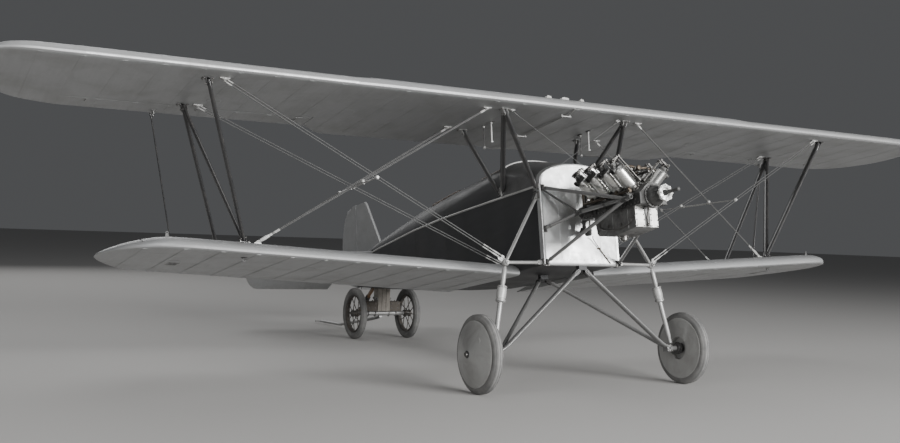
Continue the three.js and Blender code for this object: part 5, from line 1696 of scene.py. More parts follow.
# %% Sprung struts
def shock(side_name, side):
    top, foot = vec(side * NODE.x, NODE.y, NODE.z), vec(side * 1.030, 0, 0.026)
    along = foot - top
    length = along.length
    along.normalize()
    pins, body, discs = Marks(), Form(), Form()
    start, end = 0.27 * length, 0.45 * length
    upper = [(0.0, 0.040), (0.014, 0.040), (0.017, 0.055), (0.023, 0.075), (0.023, start - 0.03),
             (0.019, start - 0.012),
             (0.019, start)]
    body.add(turned(upper, top, along, 24))
    cap = [(0.019, start), (0.040, start), (0.0455, start + 0.004), (0.0455, start + 0.016),
           (0.042, start + 0.020)]
    body.add(turned(cap + [(0.0, start + 0.020)], top, along, 28))
    base = [(0.0, end - 0.024), (0.040, end - 0.024), (0.0455, end - 0.020), (0.0455, end - 0.003),
            (0.030, end + 0.008), (0.0, end + 0.008)]
    body.add(turned(base, top, along, 28))
    lower = [(0.0, end), (0.0215, end), (0.0225, end + 0.05), (0.0225, length - 0.10), (0.018, length - 0.07)]
    body.add(turned([*lower, (0.018, length - 0.030), (0.0, length - 0.030)], top, along, 24))
    barrel = [(0.042 + 0.0035 * math.sin(math.pi * k / 10), start + 0.020 + (end - start - 0.052) * k / 10)
              for k in range(11)]
    discs.add(turned([(0.0, start + 0.018), *barrel, (0.039, end - 0.030), (0.039, end - 0.022),
                      (0.0, end - 0.022)],
                     top, along, 28))
    for d in (start + 0.010, end - 0.011):
        for t in turns(4):
            out = (AFT * math.cos(t) + AFT.cross(along) * math.sin(t)).normalized()
            out = (out - along * out.dot(along)).normalized()
            pins.mark(top + along * d + out * 0.0450, out)
    name = "shock_strut_" + side_name
    piece(name + "_tubes", body, "black_enamel", replaces=[name], sharp=35, finish="grey_enamel")
    piece(name + "_sleeve", discs, "black_enamel", sharp=35, finish="side_strip")
    make(name + "_bolts", BOLTS, pins, Across=0.008, Height=0.004, Washer=0.006, Stub=0.002)


for side_name, side in SIDES.items():
    shock(side_name, side)
print("undercarriage drawn")

# %% [markdown]
# ## Main wheels
# A wire wheel is covered each side by a shallow cone of doped cloth so that the air slips by. The
# outer cone runs up to the hub cap; the inner one stops at a ring round the hub, where the dark inside
# and the hub's bolts show. A small flap gives access to the tyre's valve.

# %% Wheel covers and hubs
RIM = 0.2520
COVER_EDGE, COVER_LIP = 0.2985, 0.0512
CONE_FOOT, CONE_TOP = (0.294, 0.0565), (0.032, 0.126)


def cone_height(radius):
    """How far outboard the outer cone stands at a radius."""
    share = (CONE_FOOT[0] - radius) / (CONE_FOOT[0] - CONE_TOP[0])
    return CONE_FOOT[1] + (CONE_TOP[1] - CONE_FOOT[1]) * share + 0.006 * math.sin(math.pi * share)


def wheel_cover(side):
    """Profiles are radius and distance outboard from the tyre's middle."""
    outer = [(RIM, 0.020), (0.262, COVER_LIP), (COVER_EDGE, COVER_LIP), (COVER_EDGE + 0.001, 0.0535)]
    radii = np.linspace(CONE_FOOT[0], CONE_TOP[0], 14)
    outer += [(float(r), cone_height(r)) for r in radii]
    outer += [(0.028, 0.127), (0.0, 0.127)]
    inner = [(RIM, 0.020), (RIM, -0.024), (0.262, -COVER_LIP), (COVER_EDGE, -COVER_LIP), (0.296, -0.0535)]
    inner += [(0.296 - 0.1795 * k / 6, -0.0535 - 0.012 * k / 6) for k in range(1, 7)]
    inner += [(0.1125, -0.0655), (0.1105, -0.060), (0.1105, -0.020), (0.0, -0.020)]
    return turned([*reversed(inner), *outer[1:]], vec(side * HALF_TRACK, 0, 0), (side, 0, 0), 72)


def wheel_hub(side):
    barrel = [(0.027, -0.020), (0.048, -0.020), (0.048, -0.026), (0.040, -0.030), (0.040, -0.060),
              (0.062, -0.064), (0.062, -0.070), (0.044, -0.074), (0.044, -0.096), (0.0265, -0.096),
              (0.0265, -0.020)]
    collar = [(0.0, 0.126), (0.033, 0.126), (0.034, 0.131), (0.029, 0.134), (0.0, 0.134)]
    centre, axis = vec(side * HALF_TRACK, 0, 0), (side, 0, 0)
    return Form(turned(barrel + [barrel[0]], centre, axis, 36), turned(collar, centre, axis, 36))


def hub_cap(side):
    rows = [(0.0, 0.133), (0.022, 0.133), (0.0215, 0.144), (0.018, 0.150), (0.010, 0.1535), (0.0, 0.1542)]
    return Form(turned(rows, vec(side * HALF_TRACK, 0, 0), (side, 0, 0), 36))


def around(side, radius, out, count, start=0.0):
    return [vec(side * (HALF_TRACK + out), radius * math.cos(t), radius * math.sin(t))
            for t in turns(count, start)]


for side_name, side in SIDES.items():
    body = "wheel_" + side_name
    node = "wheel_disc_" + side_name
    piece(node + "_cover", Form(wheel_cover(side)), "wheel_cover", body, [node], sharp=32)
    piece(node + "_hub", wheel_hub(side), "wheel_cover", body, sharp=32, finish="black_enamel")
    piece(node + "_cap", hub_cap(side), "wheel_cover", body, sharp=32, finish="engine_steel")
    bolts, lacing = Marks(), Marks()
    for p in around(side, 0.0525, -0.070, 8, 0.2):
        bolts.mark(p, (-side, 0, 0))
    make(node + "_hub_bolts", BOLTS, bolts, "wheel_cover", body, finish="engine_steel", Across=0.011,
         Height=0.005,
         Washer=0.0075, Stub=0.002)
    for out, facing in ((cone_height(0.287), side), (-0.0541, -side)):
        for p in around(side, 0.287, out, 110):
            lacing.mark(p, (facing, 0, 0), vec(0, p.y, p.z))
    make(node + "_lacing", DOMES, lacing, "wheel_cover", body, Length=0.011, Width=0.0035, Height=0.0022)
    angle, reach = math.radians(37), 0.187
    centre = vec(side * (HALF_TRACK + cone_height(reach)), -reach * math.cos(angle), reach * math.sin(angle))
    flap = Form(slab(rounded_slot(0.052, 0.034, 8), 0.004, centre, (0, -math.sin(angle), -math.cos(angle)),
                     vec(side * 0.25, math.cos(angle), -math.sin(angle)).normalized()))
    piece(node + "_valve_flap", flap, "wheel_cover", body, sharp=30, bevel=0.0012)

# %% [markdown]
# ## Tyres
# The tyre is turned from its section: a tread band with three grooves, soft shoulders, a raised ring
# on the wall and a bead tucked under the rim. Its flank ribs are small moulded bars, made by a recipe.

# %% Tyres
def tyre_profile(radius, width):
    """A closed section: rows of radius and distance across, from the outer bead round to the inner."""
    half = width / 2
    rows = [(radius - width * 1.02, 0.30 * half), (radius - width * 0.98, 0.52 * half)]
    rows += [(radius - width * 0.5 + half * math.sin(t) * 1.0, half * math.cos(t) * 1.0)
             for t in np.linspace(math.radians(-52), math.radians(50), 12)]
    for at, deep in ((0.56, 0), (0.50, 0), (0.48, 1), (0.42, 1), (0.40, 0), (0.06, 0), (0.04, 1)):
        fall = 0.035 * width * (at ** 2) / 0.3
        rows.append((radius - fall - 0.035 * width * deep, at * half))
    mirror = [(r, -d) for r, d in reversed(rows)]
    return rows + mirror


def tyre(name, node, body, centre, radius, width, place=PARKED):
    profile = tyre_profile(radius, width)
    form = Form(turned_ring(profile, centre, PORT, 96))
    piece(name, form, "tyre_rubber", body, [node], place, 28)


def turned_ring(profile, centre, axis, segments):
    """A closed profile turned about an axis that it does not touch."""
    axis = Vector(axis).normalized()
    side = (UP if abs(axis.z) < 0.9 else PORT).cross(axis).normalized()
    other = axis.cross(side)
    rings = []
    for t in turns(segments):
        out = side * math.cos(t) + other * math.sin(t)
        rings.append([Vector(centre) + axis * d + out * r for r, d in profile])
    return skin(rings, looped=True)


TYRE_WIDTH = 0.100
for side_name, side in SIDES.items():
    node, body = "tyre_" + side_name, "wheel_" + side_name
    centre = vec(side * HALF_TRACK, 0, 0)
    tyre(node + "_rubber", node, body, centre, WHEEL_RADIUS, TYRE_WIDTH)
    ribs = Marks()
    for s in (-1, 1):
        for k, p in enumerate(around(side, 0.302, 0, 120)):
            out = vec(0, p.y, p.z).normalized()
            ribs.mark(vec(p.x + s * 0.0497, p.y, p.z), (s, 0, 0), out)
    make(node + "_flank_ribs", DOMES, ribs, "tyre_rubber", body, Length=0.016, Width=0.004, Height=0.002)
print("wheels drawn")

# %% [markdown]
# ## The tail dolly
# The tail is lifted on a home-made dolly: two iron wheels with rubber tyres on a pipe axle, a timber
# post with cheek blocks under the fuselage, and a long tongue of pipe to pull it by.

# %% Dolly frame
DOLLY_Y, DOLLY_RADIUS, DOLLY_TYRE, DOLLY_TRACK = 4.570, 0.335, 0.086, 0.385


def belly_on_floor(y):
    """Height above the floor of the body's underside, above a place on the floor."""
    level_y = y / math.cos(PARK_ANGLE)
    for _ in range(6):
        z = body_at(level_y)[1]
        level_y = (y - z * math.sin(PARK_ANGLE)) / math.cos(PARK_ANGLE)
    z = body_at(level_y)[1]
    return WHEEL_RADIUS - level_y * math.sin(PARK_ANGLE) + z * math.cos(PARK_ANGLE)


def dolly_frame():
    timber, cheeks, iron, bolts = Form(), Form(), Form(), Marks()
    z, y = DOLLY_RADIUS, DOLLY_Y
    post = 0.070
    top = [belly_on_floor(y + s * post) - 0.0006 for s in (-1, 1)]
    outline = [(-post, z + 0.030), (post, z + 0.030), (post, top[1]), (-post, top[0])]
    for x in (-0.060, 0.0, 0.060):
        timber.add(slab(outline, 0.0575, vec(x, y, 0), AFT, UP))
    for x in (-0.165, 0.165):
        cheeks.add(block((x - 0.083, y - 0.058, z + 0.031), (x + 0.083, y + 0.058, z + 0.158)))
    iron.add(tube([vec(x, y, z) for x in (-0.323, 0.323)], 0.030, 24))
    iron.add(tube([vec(x, y, z) for x in (-0.411, 0.411)], 0.0195, 24))
    for x in (-0.2, -0.1, 0.1, 0.2):
        strap = [vec(x, y + 0.034 * math.cos(t), z + 0.034 * math.sin(t))
                 for t in turns(13, math.pi, 13 / 12 * math.pi)]
        strap = [vec(x, y - 0.034, z + 0.05)] + strap + [vec(x, y + 0.034, z + 0.05)]
        iron.add(tube(strap, 0.004, 6, flat=3.2, hint=PORT))
    tongue = [vec(0, y + 0.02, z - 0.04), vec(0, y + 0.25, z - 0.093), vec(0, 5.80, 0.083),
              vec(0, 5.92, 0.062),
              vec(0, 6.10, 0.0545), vec(0, 6.60, 0.042)]
    iron.add(tube(bend(tongue, 6), 0.0215, 16))
    handle = [vec(-0.10, 6.68, 0.040), vec(-0.05, 6.685, 0.040), vec(0.0, 6.687, 0.040),
              vec(0.05, 6.685, 0.040),
              vec(0.10, 6.68, 0.040)]
    iron.add(tube([vec(0, 6.58, 0.042), vec(0, 6.69, 0.040)], 0.016, 12))
    iron.add(tube(handle, 0.012, 12))
    for s in (-1, 1):
        iron.add(slab([(-0.075, -0.016), (0.075, -0.016), (0.075, 0.016), (-0.075, 0.016)], 0.006,
                      vec(s * 0.0925, y, z + 0.20), AFT, UP))
        for dy in (-0.055, 0.055):
            bolts.mark(vec(s * 0.0955, y + dy, z + 0.20), (s, 0, 0))
            for x in (s * 0.12, s * 0.21):
                bolts.mark(vec(x, y + dy * 0.7, z + 0.158), (0, 0, 1))
        for dz in (0.07, 0.13):
            bolts.mark(vec(s * 0.12, y - 0.058, z + dz), (0, -1, 0))
            bolts.mark(vec(s * 0.21, y - 0.058, z + dz), (0, -1, 0))
    piece("dolly_frame_timber", timber, "dolly_wood", replaces=["dolly_frame"], place=ON_FLOOR, bevel=0.004)
    piece("dolly_frame_cheeks", cheeks, "dolly_wood", place=ON_FLOOR, bevel=0.004, finish="oiled_wood")
    piece("dolly_frame_iron", iron, "dolly_wood", place=ON_FLOOR, finish="grey_enamel", sharp=45)
    make("dolly_frame_bolts", BOLTS, bolts, "dolly_wood", finish="dolly_iron", place=ON_FLOOR, Across=0.018,
         Height=0.009, Washer=0.015)


dolly_frame()

# %% [markdown]
# The dolly's wheels are iron: a rolled rim, a hub and twelve spokes that lean in turn to either end of
# the hub. The spokes follow a rule, so one recipe lays them all: a bar on each mark, along the mark's
# direction.

# %% Dolly wheels
def spoke_recipe():
    r = Recipe("spokes", Length=0.2, Radius=0.006)
    values = {"Vertices": 10, "Radius": r.given["Radius"], "Depth": r.given["Length"]}
    bar = r.moved(r.node("GeometryNodeMeshCylinder", {}, values),
                  Translation=r.xyz(z=r.given["Length"] * 0.5))
    foot = r.node("GeometryNodeMeshCylinder", {}, {"Vertices": 10, "Radius": r.given["Radius"] * 1.8,
                                                   "Depth": 0.016})
    foot = r.moved(foot, Translation=r.xyz(z=0.008))
    turn = r.node("FunctionNodeAlignRotationToVector", {"axis": "Z"}, {"Vector": r.named("facing")})
    values = {"Points": r.given["Marks"], "Instance": r.merged(bar, foot), "Rotation": turn}
    return r.done(r.node("GeometryNodeInstanceOnPoints", {}, values))


SPOKES = spoke_recipe()
DOLLY_SPOKES = 12


def dolly_wheel(side_name, side):
    node, body = "dolly_wheel_" + side_name, "dolly_wheel_" + side_name
    centre = vec(side * DOLLY_TRACK, DOLLY_Y, DOLLY_RADIUS)
    rim = DOLLY_RADIUS - DOLLY_TYRE
    section = [(rim - 0.020, -0.024), (rim - 0.006, -0.030), (rim - 0.0006, -0.030), (rim - 0.0006, 0.030),
               (rim - 0.006, 0.030), (rim - 0.020, 0.024), (rim - 0.024, 0.010), (rim - 0.026, 0.0),
               (rim - 0.024, -0.010)]
    hub = [(0.0206, -0.060), (0.036, -0.060), (0.040, -0.056), (0.040, -0.044), (0.046, -0.040),
           (0.046, -0.024),
           (0.038, -0.020), (0.038, 0.018), (0.046, 0.022), (0.046, 0.034), (0.038, 0.038), (0.036, 0.048),
           (0.0, 0.048), (0.0, 0.030), (0.0206, 0.030)]
    form = Form(turned_ring(section, centre, (side, 0, 0), 96), turned_ring(hub, centre, (side, 0, 0), 36))
    piece(node + "_iron", form, "dolly_iron", body, [node], ON_FLOOR, 30)
    spokes = Marks()
    for k, t in enumerate(turns(DOLLY_SPOKES)):
        out = vec(0, math.cos(t), math.sin(t))
        start = centre + out * 0.034 + PORT * (side * (0.028 if k % 2 else -0.034))
        spokes.mark(start, centre + out * (rim - 0.02) - start)
    make(node + "_spokes", SPOKES, spokes, "dolly_iron", body, place=ON_FLOOR, Length=rim - 0.052,
         Radius=0.0055)
    bolts = Marks()
    bolts.mark(centre + PORT * (side * 0.048), (side, 0, 0))
    make(node + "_axle_nut", BOLTS, bolts, "dolly_iron", body, place=ON_FLOOR, Across=0.030, Height=0.014,
         Washer=0.022, Stub=0.012)
    tyre("dolly_tyre_" + side_name + "_rubber", "dolly_tyre_" + side_name, body, centre, DOLLY_RADIUS,
         DOLLY_TYRE,
         ON_FLOOR)


for side_name, side in SIDES.items():
    dolly_wheel(side_name, side)
print("dolly drawn")

# %% [markdown]
# ## The engine
# It is a water-cooled V-8 with its eight cylinders in two banks at right angles. A place on a bank is
# easiest to give along the cylinders' own axis and across it, so one function turns such a pair into a
# place on the aircraft, and everything from the base nuts to the rockers uses it.

# %% Places on the engine
THRUST_Z = 1.272
CASE_FRONT, CASE_REAR = -1.120, -0.250
CYLINDER_PITCH = 0.177
SLANT = math.sqrt(0.5)


def on_bank(side, y, up, out=0.0):
    """A place on a bank: up along the cylinders' axis, and out across it."""
    return vec(side * SLANT * (up + out), y, THRUST_Z + SLANT * (up - out))


def bank_up(side):
    return vec(side * SLANT, 0, SLANT)


def bank_out(side):
    return vec(side * SLANT, 0, -SLANT)


def cylinder_rows(side):
    return [-0.978 + CYLINDER_PITCH * k + (0.024 if side > 0 else 0.0) for k in range(4)]


def oval(length, width):
    return rounded_slot(length, width, 8)


# %% [markdown]
# ## Crankcase and sump
# Both are aluminium castings. The upper half has a wall rib at every bearing, a flange of studs below
# and a flat deck for each bank; arms on its sides stand on the bearers. The sump hangs from the flange,
# with two plates on its front, a pipe between them and a strainer at its lowest place.

# %% Crankcase
def case_ring(y, wall):
    low, lip, deck, top = 1.200, 1.292, 0.050, 1.392
    half = [(wall, low), (wall, lip - 0.008), (0.150, lip), (0.150, 1.302), (deck, top)]
    return [vec(x, y, z) for x, z in half] + [vec(-x, y, z) for x, z in reversed(half)]


def crankcase():
    body, nose, studs, caps = Form(), Form(), Marks(), Form()
    body.add(skin([case_ring(CASE_FRONT, 0.140), case_ring(CASE_REAR, 0.140)]))
    for y in (-1.112, -0.905, -0.690, -0.475, -0.258):
        body.add(skin([case_ring(y - 0.007, 0.149), case_ring(y + 0.007, 0.149)]))
    body.add(block((-0.150, CASE_FRONT, 1.2001), (0.150, CASE_REAR, 1.213)))
    for y in (-1.010, -0.690, -0.340):
        for s in (-1, 1):
            outline = [(0.136, 1.2868), (0.216, 1.2868), (0.218, 1.298), (0.165, 1.3135), (0.136, 1.3135)]
            body.add(slab([(s * x, z) for x, z in outline], 0.046, vec(0, y, 0), PORT, UP))
            for dy in (-0.012, 0.012):
                studs.mark((s * 0.196, y + dy, 1.3035), (0, 0, 1))
    for s in (-1, 1):
        studs.line((s * 0.1455, CASE_FRONT + 0.01, 1.213), (s * 0.1455, CASE_REAR - 0.01, 1.213), 0.048,
                   (0, 0, 1))
        for y in (-1.008, -0.797, -0.583, -0.366):
            caps.add(slab(oval(0.120, 0.056), 0.010, vec(s * 0.143, y, 1.249), AFT, UP))
            for dy in (-0.046, 0.046):
                studs.mark((s * 0.148, y + dy, 1.249), (s, 0, 0))
    centre, ahead_way = vec(0, CASE_FRONT, THRUST_Z), (0, -1, 0)
    rows = [(0.104, -0.004), (0.104, 0.010), (0.090, 0.013), (0.087, 0.040), (0.078, 0.058), (0.060, 0.078),
            (0.053, 0.090), (0.053, 0.098), (0.046, 0.102), (0.046, 0.122), (0.040, 0.128), (0.0, 0.128)]
    nose.add(turned(rows, centre, ahead_way, 40))
    for t in turns(8, math.pi / 8):
        radial = vec(math.cos(t), 0, math.sin(t))
        fin = [(0.050, 0.0), (0.101, 0.0), (0.098, 0.018), (0.055, 0.094), (0.050, 0.094)]
        nose.add(slab(fin, 0.006, centre, radial, ahead_way))
        stud = centre + vec(math.cos(t + 0.39), 0, math.sin(t + 0.39)) * 0.0965 + Vector(ahead_way) * 0.010
        studs.mark(stud, ahead_way)
    caps.add(slab([(-0.04, -0.34), (0.04, -0.34), (0.04, 0.34), (-0.04, 0.34)], 0.010,
                  vec(0, -0.690, 1.396), PORT, AFT))
    for y in (-0.98, -0.80, -0.62, -0.44):
        for x in (-0.031, 0.031):
            studs.mark((x, y, 1.401), (0, 0, 1))
    piece("crankcase_casting", body, "engine_castings", replaces=["crankcase"], sharp=30, bevel=0.004)
    piece("crankcase_nose", nose, "engine_castings", sharp=40, bevel=0.0015)
    piece("crankcase_covers", caps, "engine_castings", sharp=30, bevel=0.002)
    make("crankcase_studs", BOLTS, studs, Across=0.011, Height=0.007, Washer=0.008)


crankcase()


# %% Oil sump
def oil_sump():
    body, sheet, fittings, studs = Form(), Form(), Form(), Marks()
    side_view = [(-0.998, 1.1995), (-0.998, 1.022), (-0.980, 1.010), (-0.735, 0.986), (-0.640, 0.986),
                 (-0.450, 1.035), (-0.425, 1.1995)]
    body.add(slab(side_view, 0.250, vec(0, 0, 0), AFT, UP))
    body.add(block((-0.134, -1.008, 1.1895), (0.134, -0.330, 1.1996)))
    for y in (-0.905, -0.690, -0.475):
        body.add(slab([(-0.005, 1.19), (0.005, 1.19), (0.005, 1.015), (-0.005, 1.015)], 0.258, vec(0, y, 0),
                      AFT, UP))
    for low, high, top, out in ((-0.127, -0.030, 1.246, 0.0095), (0.040, 0.127, 1.188, 0.0015)):
        outline = [(low, 1.018), (high, 1.018), (high, top), (low, top)]
        sheet.add(slab(outline, 0.008, vec(0, -1.000 - out, 0), PORT, UP))
        middle = (low + high) / 2
        sheet.add(slab([(middle - 0.036, 1.035), (middle + 0.036, 1.035), (middle + 0.030, top - 0.016),
                        (middle - 0.030, top - 0.016)], 0.004, vec(0, -1.005 - out, 0), PORT, UP))
        for x in (low + 0.010, high - 0.010):
            for z in (1.028, 1.080, 1.128, 1.178):
                studs.mark((x, -1.004 - out, z), (0, -1, 0))
    for s in (-1, 1):
        studs.line((s * 0.131, -0.99, 1.1895), (s * 0.131, -0.34, 1.1895), 0.048, (0, 0, -1))
        for y, z in ((-0.96, 1.10), (-0.80, 1.07), (-0.62, 1.08), (-0.50, 1.12)):
            fittings.add(turned([(0.016, 0), (0.016, 0.005), (0.010, 0.006), (0.010, 0.012), (0, 0.012)],
                                vec(s * 0.125, y, z), (s, 0, 0), 16))
        pipe = [vec(s * 0.134, y, z) for y, z in ((-0.96, 1.10), (-0.94, 1.06), (-0.80, 1.035), (-0.66, 1.04),
                                                  (-0.52, 1.075), (-0.50, 1.12))]
        fittings.add(tube(bend(pipe, 6), 0.0055, 10))
    pipe = [vec(0.002, -1.060, 1.225), vec(0.002, -1.040, 1.19), vec(0.004, -1.014, 1.12),
            vec(0.008, -1.012, 1.06),
            vec(0.010, -1.008, 1.035)]
    fittings.add(tube(bend(pipe, 6), 0.0060, 10))
    fittings.add(ball(vec(0.010, -1.010, 1.038), 0.013, 12))
    strainer = [(0.045, -0.012), (0.045, 0.006), (0.036, 0.009), (0.034, 0.036), (0.020, 0.040),
                (0.018, 0.046),
                (0, 0.046)]
    fittings.add(turned(strainer, vec(0, -0.675, 0.986), (0, 0, -1), 28))
    for t in turns(6):
        studs.mark((0.040 * math.cos(t), -0.675 + 0.040 * math.sin(t), 0.980), (0, 0, -1))
    piece("oil_sump_casting", body, "engine_castings", replaces=["oil_sump"], sharp=30, bevel=0.006,
          finish="sump_casting")
    piece("oil_sump_front_plates", sheet, "engine_castings", sharp=30, bevel=0.0015, finish="sump_plates")
    piece("oil_sump_pipes", fittings, "engine_castings", sharp=35, finish="engine_steel")
    make("oil_sump_studs", BOLTS, studs, Across=0.010, Height=0.005, Washer=0.007, Stub=0.003)


oil_sump()
print("crankcase and sump drawn")

# %% [markdown]
# ## Cylinders
# Each cylinder is a steel barrel with a bright sheet jacket brazed round it to hold the water, beaded
# where the sheet is rolled. Above the jacket stand the valve cages and an exhaust port. A foot flange with
# six nuts holds it down on its deck.

# %% Cylinders
def cylinder_bank(side_name, side):
    jackets, barrels, heads, nuts, pipes = Form(), Form(), Form(), Marks(), Form()
    up, out = bank_up(side), bank_out(side)
    jacket = [(0.047, 0.160), (0.0525, 0.161), (0.0555, 0.166), (0.0555, 0.182), (0.0580, 0.185),
              (0.0580, 0.191),
              (0.0555, 0.194), (0.0555, 0.340), (0.0580, 0.343), (0.0580, 0.349), (0.0555, 0.352),
              (0.0545, 0.362),
              (0.0500, 0.370), (0.0400, 0.376), (0.0, 0.376)]
    barrel = [(0.0, 0.122), (0.066, 0.122), (0.066, 0.133), (0.053, 0.136), (0.0475, 0.142), (0.0475, 0.165),
              (0.0, 0.165)]
    for y in cylinder_rows(side):
        origin = vec(0, y, THRUST_Z)
        jackets.add(turned([(0.0, 0.160), *jacket], origin, up, 40))
        barrels.add(turned(barrel, origin, up, 32))
        for t in turns(6, 0.3):
            nuts.mark(origin + up * 0.133 + out * (0.0595 * math.cos(t)) + AFT * (0.0595 * math.sin(t)), up)
        heads.add(turned([(0.0, 0.370), (0.043, 0.372), (0.043, 0.386), (0.036, 0.392), (0.0, 0.392)], origin,
                         up, 28))
        for across in (-0.027, 0.027):
            cage = [(0.0, 0.385), (0.021, 0.385), (0.021, 0.400), (0.017, 0.403), (0.017, 0.408),
                    (0.0, 0.408)]
            heads.add(turned(cage, origin + out * across, up, 20))
        port = [(0.0, 0.020), (0.024, 0.020), (0.024, 0.060), (0.027, 0.062), (0.027, 0.069), (0.0175, 0.069),
                (0.0170, 0.045), (0.0, 0.045)]
        heads.add(turned(port, origin + up * 0.383, out, 24))
        foot = origin + up * 0.176 + out * 0.050 - AFT * 0.018
        pipes.add(tube(bend([foot - out * 0.012, foot + out * 0.016, foot + out * 0.028 - up * 0.010], 4),
                       0.012, 14))
        pipes.add(turned([(0.0, 0), (0.017, 0), (0.017, 0.006), (0, 0.006)], foot - out * 0.001, out, 16))
    rows = cylinder_rows(side)
    main = [on_bank(side, y, 0.163, 0.080) for y in np.linspace(rows[0] - 0.05, rows[-1] + 0.10, 12)]
    pipes.add(tube(main, 0.0125, 16))
    for a in rows:
        for d in (-0.046, 0.010):
            pipes.add(turned([(0.0155, 0), (0.0155, 0.009)], on_bank(side, a + d, 0.163, 0.080), AFT, 18))
    name = "cylinders_" + side_name
    piece(name + "_jackets", jackets, "cylinder_jackets", replaces=[name], sharp=35)
    piece(name + "_barrels", barrels, "cylinder_jackets", sharp=35, finish="engine_steel")
    piece(name + "_heads", heads, "cylinder_jackets", sharp=35, finish="engine_castings")
    piece(name + "_water_pipes", pipes, "cylinder_jackets", sharp=40, finish="copper_pipe")
    make(name + "_foot_nuts", BOLTS, nuts, Across=0.014, Height=0.008, Washer=0.009)


for side_name, side in SIDES.items():
    cylinder_bank(side_name, side)

# %% [markdown]
# ## Valve gear
# The valves are worked from above. Two rods a cylinder come up from the camshaft between the banks to a
# pair of rockers on a pedestal, and each rocker presses a valve down against its spring. The coils come
# from the spring recipe, one on every valve.

# %% Rockers, rods and springs
def rocker(form, side, y, tip, reach):
    """One rocker arm: tip is how far out the valve stands, reach how far in the rod does."""
    arm = [(tip, 0.4500), (tip, 0.4580), (0.012, 0.4640), (-0.012, 0.4640), (-reach, 0.4460),
           (-reach, 0.4370),
           (-0.014, 0.4400), (0.014, 0.4400)]
    form.add(slab(arm, 0.009, vec(0, y, THRUST_Z), bank_out(side), bank_up(side)))
    for place, radius in ((0.0, 0.0145), (tip, 0.008), (-reach, 0.0095)):
        up = 0.451 if place >= 0 else 0.4415
        centre = on_bank(side, y, up, place)
        form.add(rod(centre - AFT * 0.011, centre + AFT * 0.011, radius, 14))


def valve_gear(side_name, side):
    arms, rods, stands, springs, nuts = Form(), Form(), Form(), Marks(), Marks()
    up = bank_up(side)
    for y in cylinder_rows(side):
        rocker(arms, side, y + 0.019, 0.027, 0.084)
        rocker(arms, side, y - 0.019, -0.027, 0.084)
        shaft = on_bank(side, y, 0.451)
        arms.add(rod(shaft - AFT * 0.042, shaft + AFT * 0.042, 0.008, 14))
        for dy in (-0.036, 0.036):
            nuts.mark(shaft + AFT * dy * 1.16, (0, math.copysign(1, dy), 0))
        for dy in (-0.0035, 0.0035):
            stand = [(-0.020, 0.390), (0.020, 0.390), (0.010, 0.462), (-0.010, 0.462)]
            stands.add(slab(stand, 0.006, vec(0, y + dy * 1.2, THRUST_Z), bank_out(side), up))
        for dy, across in ((0.019, 0.027), (-0.019, -0.027)):
            springs.mark(on_bank(side, y, 0.405, across), up)
            foot, tip = on_bank(side, y, 0.400, across), on_bank(side, y + dy * 0.6, 0.452, across)
            arms.add(rod(foot, tip, 0.0042, 10))
            stands.add(turned([(0.0, 0.439), (0.0155, 0.439), (0.0155, 0.443), (0.0, 0.445)],
                              vec(0, y, THRUST_Z) + bank_out(side) * across, up, 18))
            head, low = on_bank(side, y + dy, 0.440, -0.084), on_bank(side, y + dy * 0.8, 0.150, -0.098)
            rods.add(rod(low, head, 0.0052 if dy > 0 else 0.0068, 12))
            rods.add(ball(head, 0.0085, 12))
            along = (head - low).normalized()
            rods.add(turned([(0.0, -0.012), (0.013, -0.012), (0.013, 0.012), (0.009, 0.016), (0.009, 0.030),
                             (0, 0.030)],
                            low, along, 16))
    name = "valve_gear_" + side_name
    piece(name + "_rockers", arms, "engine_steel", replaces=[name], sharp=35, bevel=0.0008)
    piece(name + "_rods", rods, "engine_steel", sharp=40)
    piece(name + "_stands", stands, "engine_steel", sharp=35, finish="engine_castings")
    make(name + "_springs", SPRINGS, springs, Radius=0.0125, Height=0.034, Wire=0.0017, Rounds=5.0)
    make(name + "_nuts", BOLTS, nuts, Across=0.011, Height=0.006, Washer=0.008, Stub=0.003)


for side_name, side in SIDES.items():
    valve_gear(side_name, side)

# %% [markdown]
# ## Plugs and leads
# A plug screws into each jacket on the side facing the valley. Its lead runs back in a conduit to the
# magneto. The leads are held at both ends, so they are drawn as short fixed bends.

# %% Plugs, leads and conduits
def ignition(side_name, side):
    plugs, leads, conduit, hexes = Form(), Form(), Form(), Marks()
    up, out = bank_up(side), bank_out(side)
    rows = cylinder_rows(side)
    run = [on_bank(side, y, 0.262, -0.112) for y in (rows[0] - 0.01, -0.7, -0.40)]
    run += [vec(side * 0.09, -0.30, 1.50), vec(side * 0.070, -0.240, 1.42), vec(side * 0.055, -0.215, 1.385)]
    conduit.add(tube(bend(run, 6), 0.0105, 14))
    for y in rows:
        seat = on_bank(side, y + 0.012, 0.318, -0.0545)
        hexes.mark(seat, -out)
        shell = [(0.0, 0.008), (0.0085, 0.008), (0.0085, 0.014), (0.0065, 0.016), (0.0055, 0.034),
                 (0.0035, 0.037),
                 (0.0035, 0.044), (0, 0.044)]
        plugs.add(turned(shell, seat, -out, 14))
        end = seat - out * 0.042
        path = [end, end - out * 0.020 + up * 0.004, end - out * 0.030 - up * 0.030,
                on_bank(side, y + 0.035, 0.262, -0.112)]
        leads.add(tube(bend(path, 6), 0.0036, 8))
        conduit.add(rod(on_bank(side, y + 0.030, 0.262, -0.112), on_bank(side, y + 0.045, 0.262, -0.112),
                        0.0135, 14))
    name = "cylinders_" + side_name
    piece(name + "_plugs", plugs, "cylinder_jackets", sharp=35, finish="hub_steel")
    piece(name + "_leads", leads, "cylinder_jackets", sharp=60, finish="black_rubber")
    piece(name + "_lead_conduit", conduit, "cylinder_jackets", sharp=50, finish="engine_steel")
    make(name + "_plug_hexes", BOLTS, hexes, Across=0.021, Height=0.008, Washer=0.011, Stub=0.0)


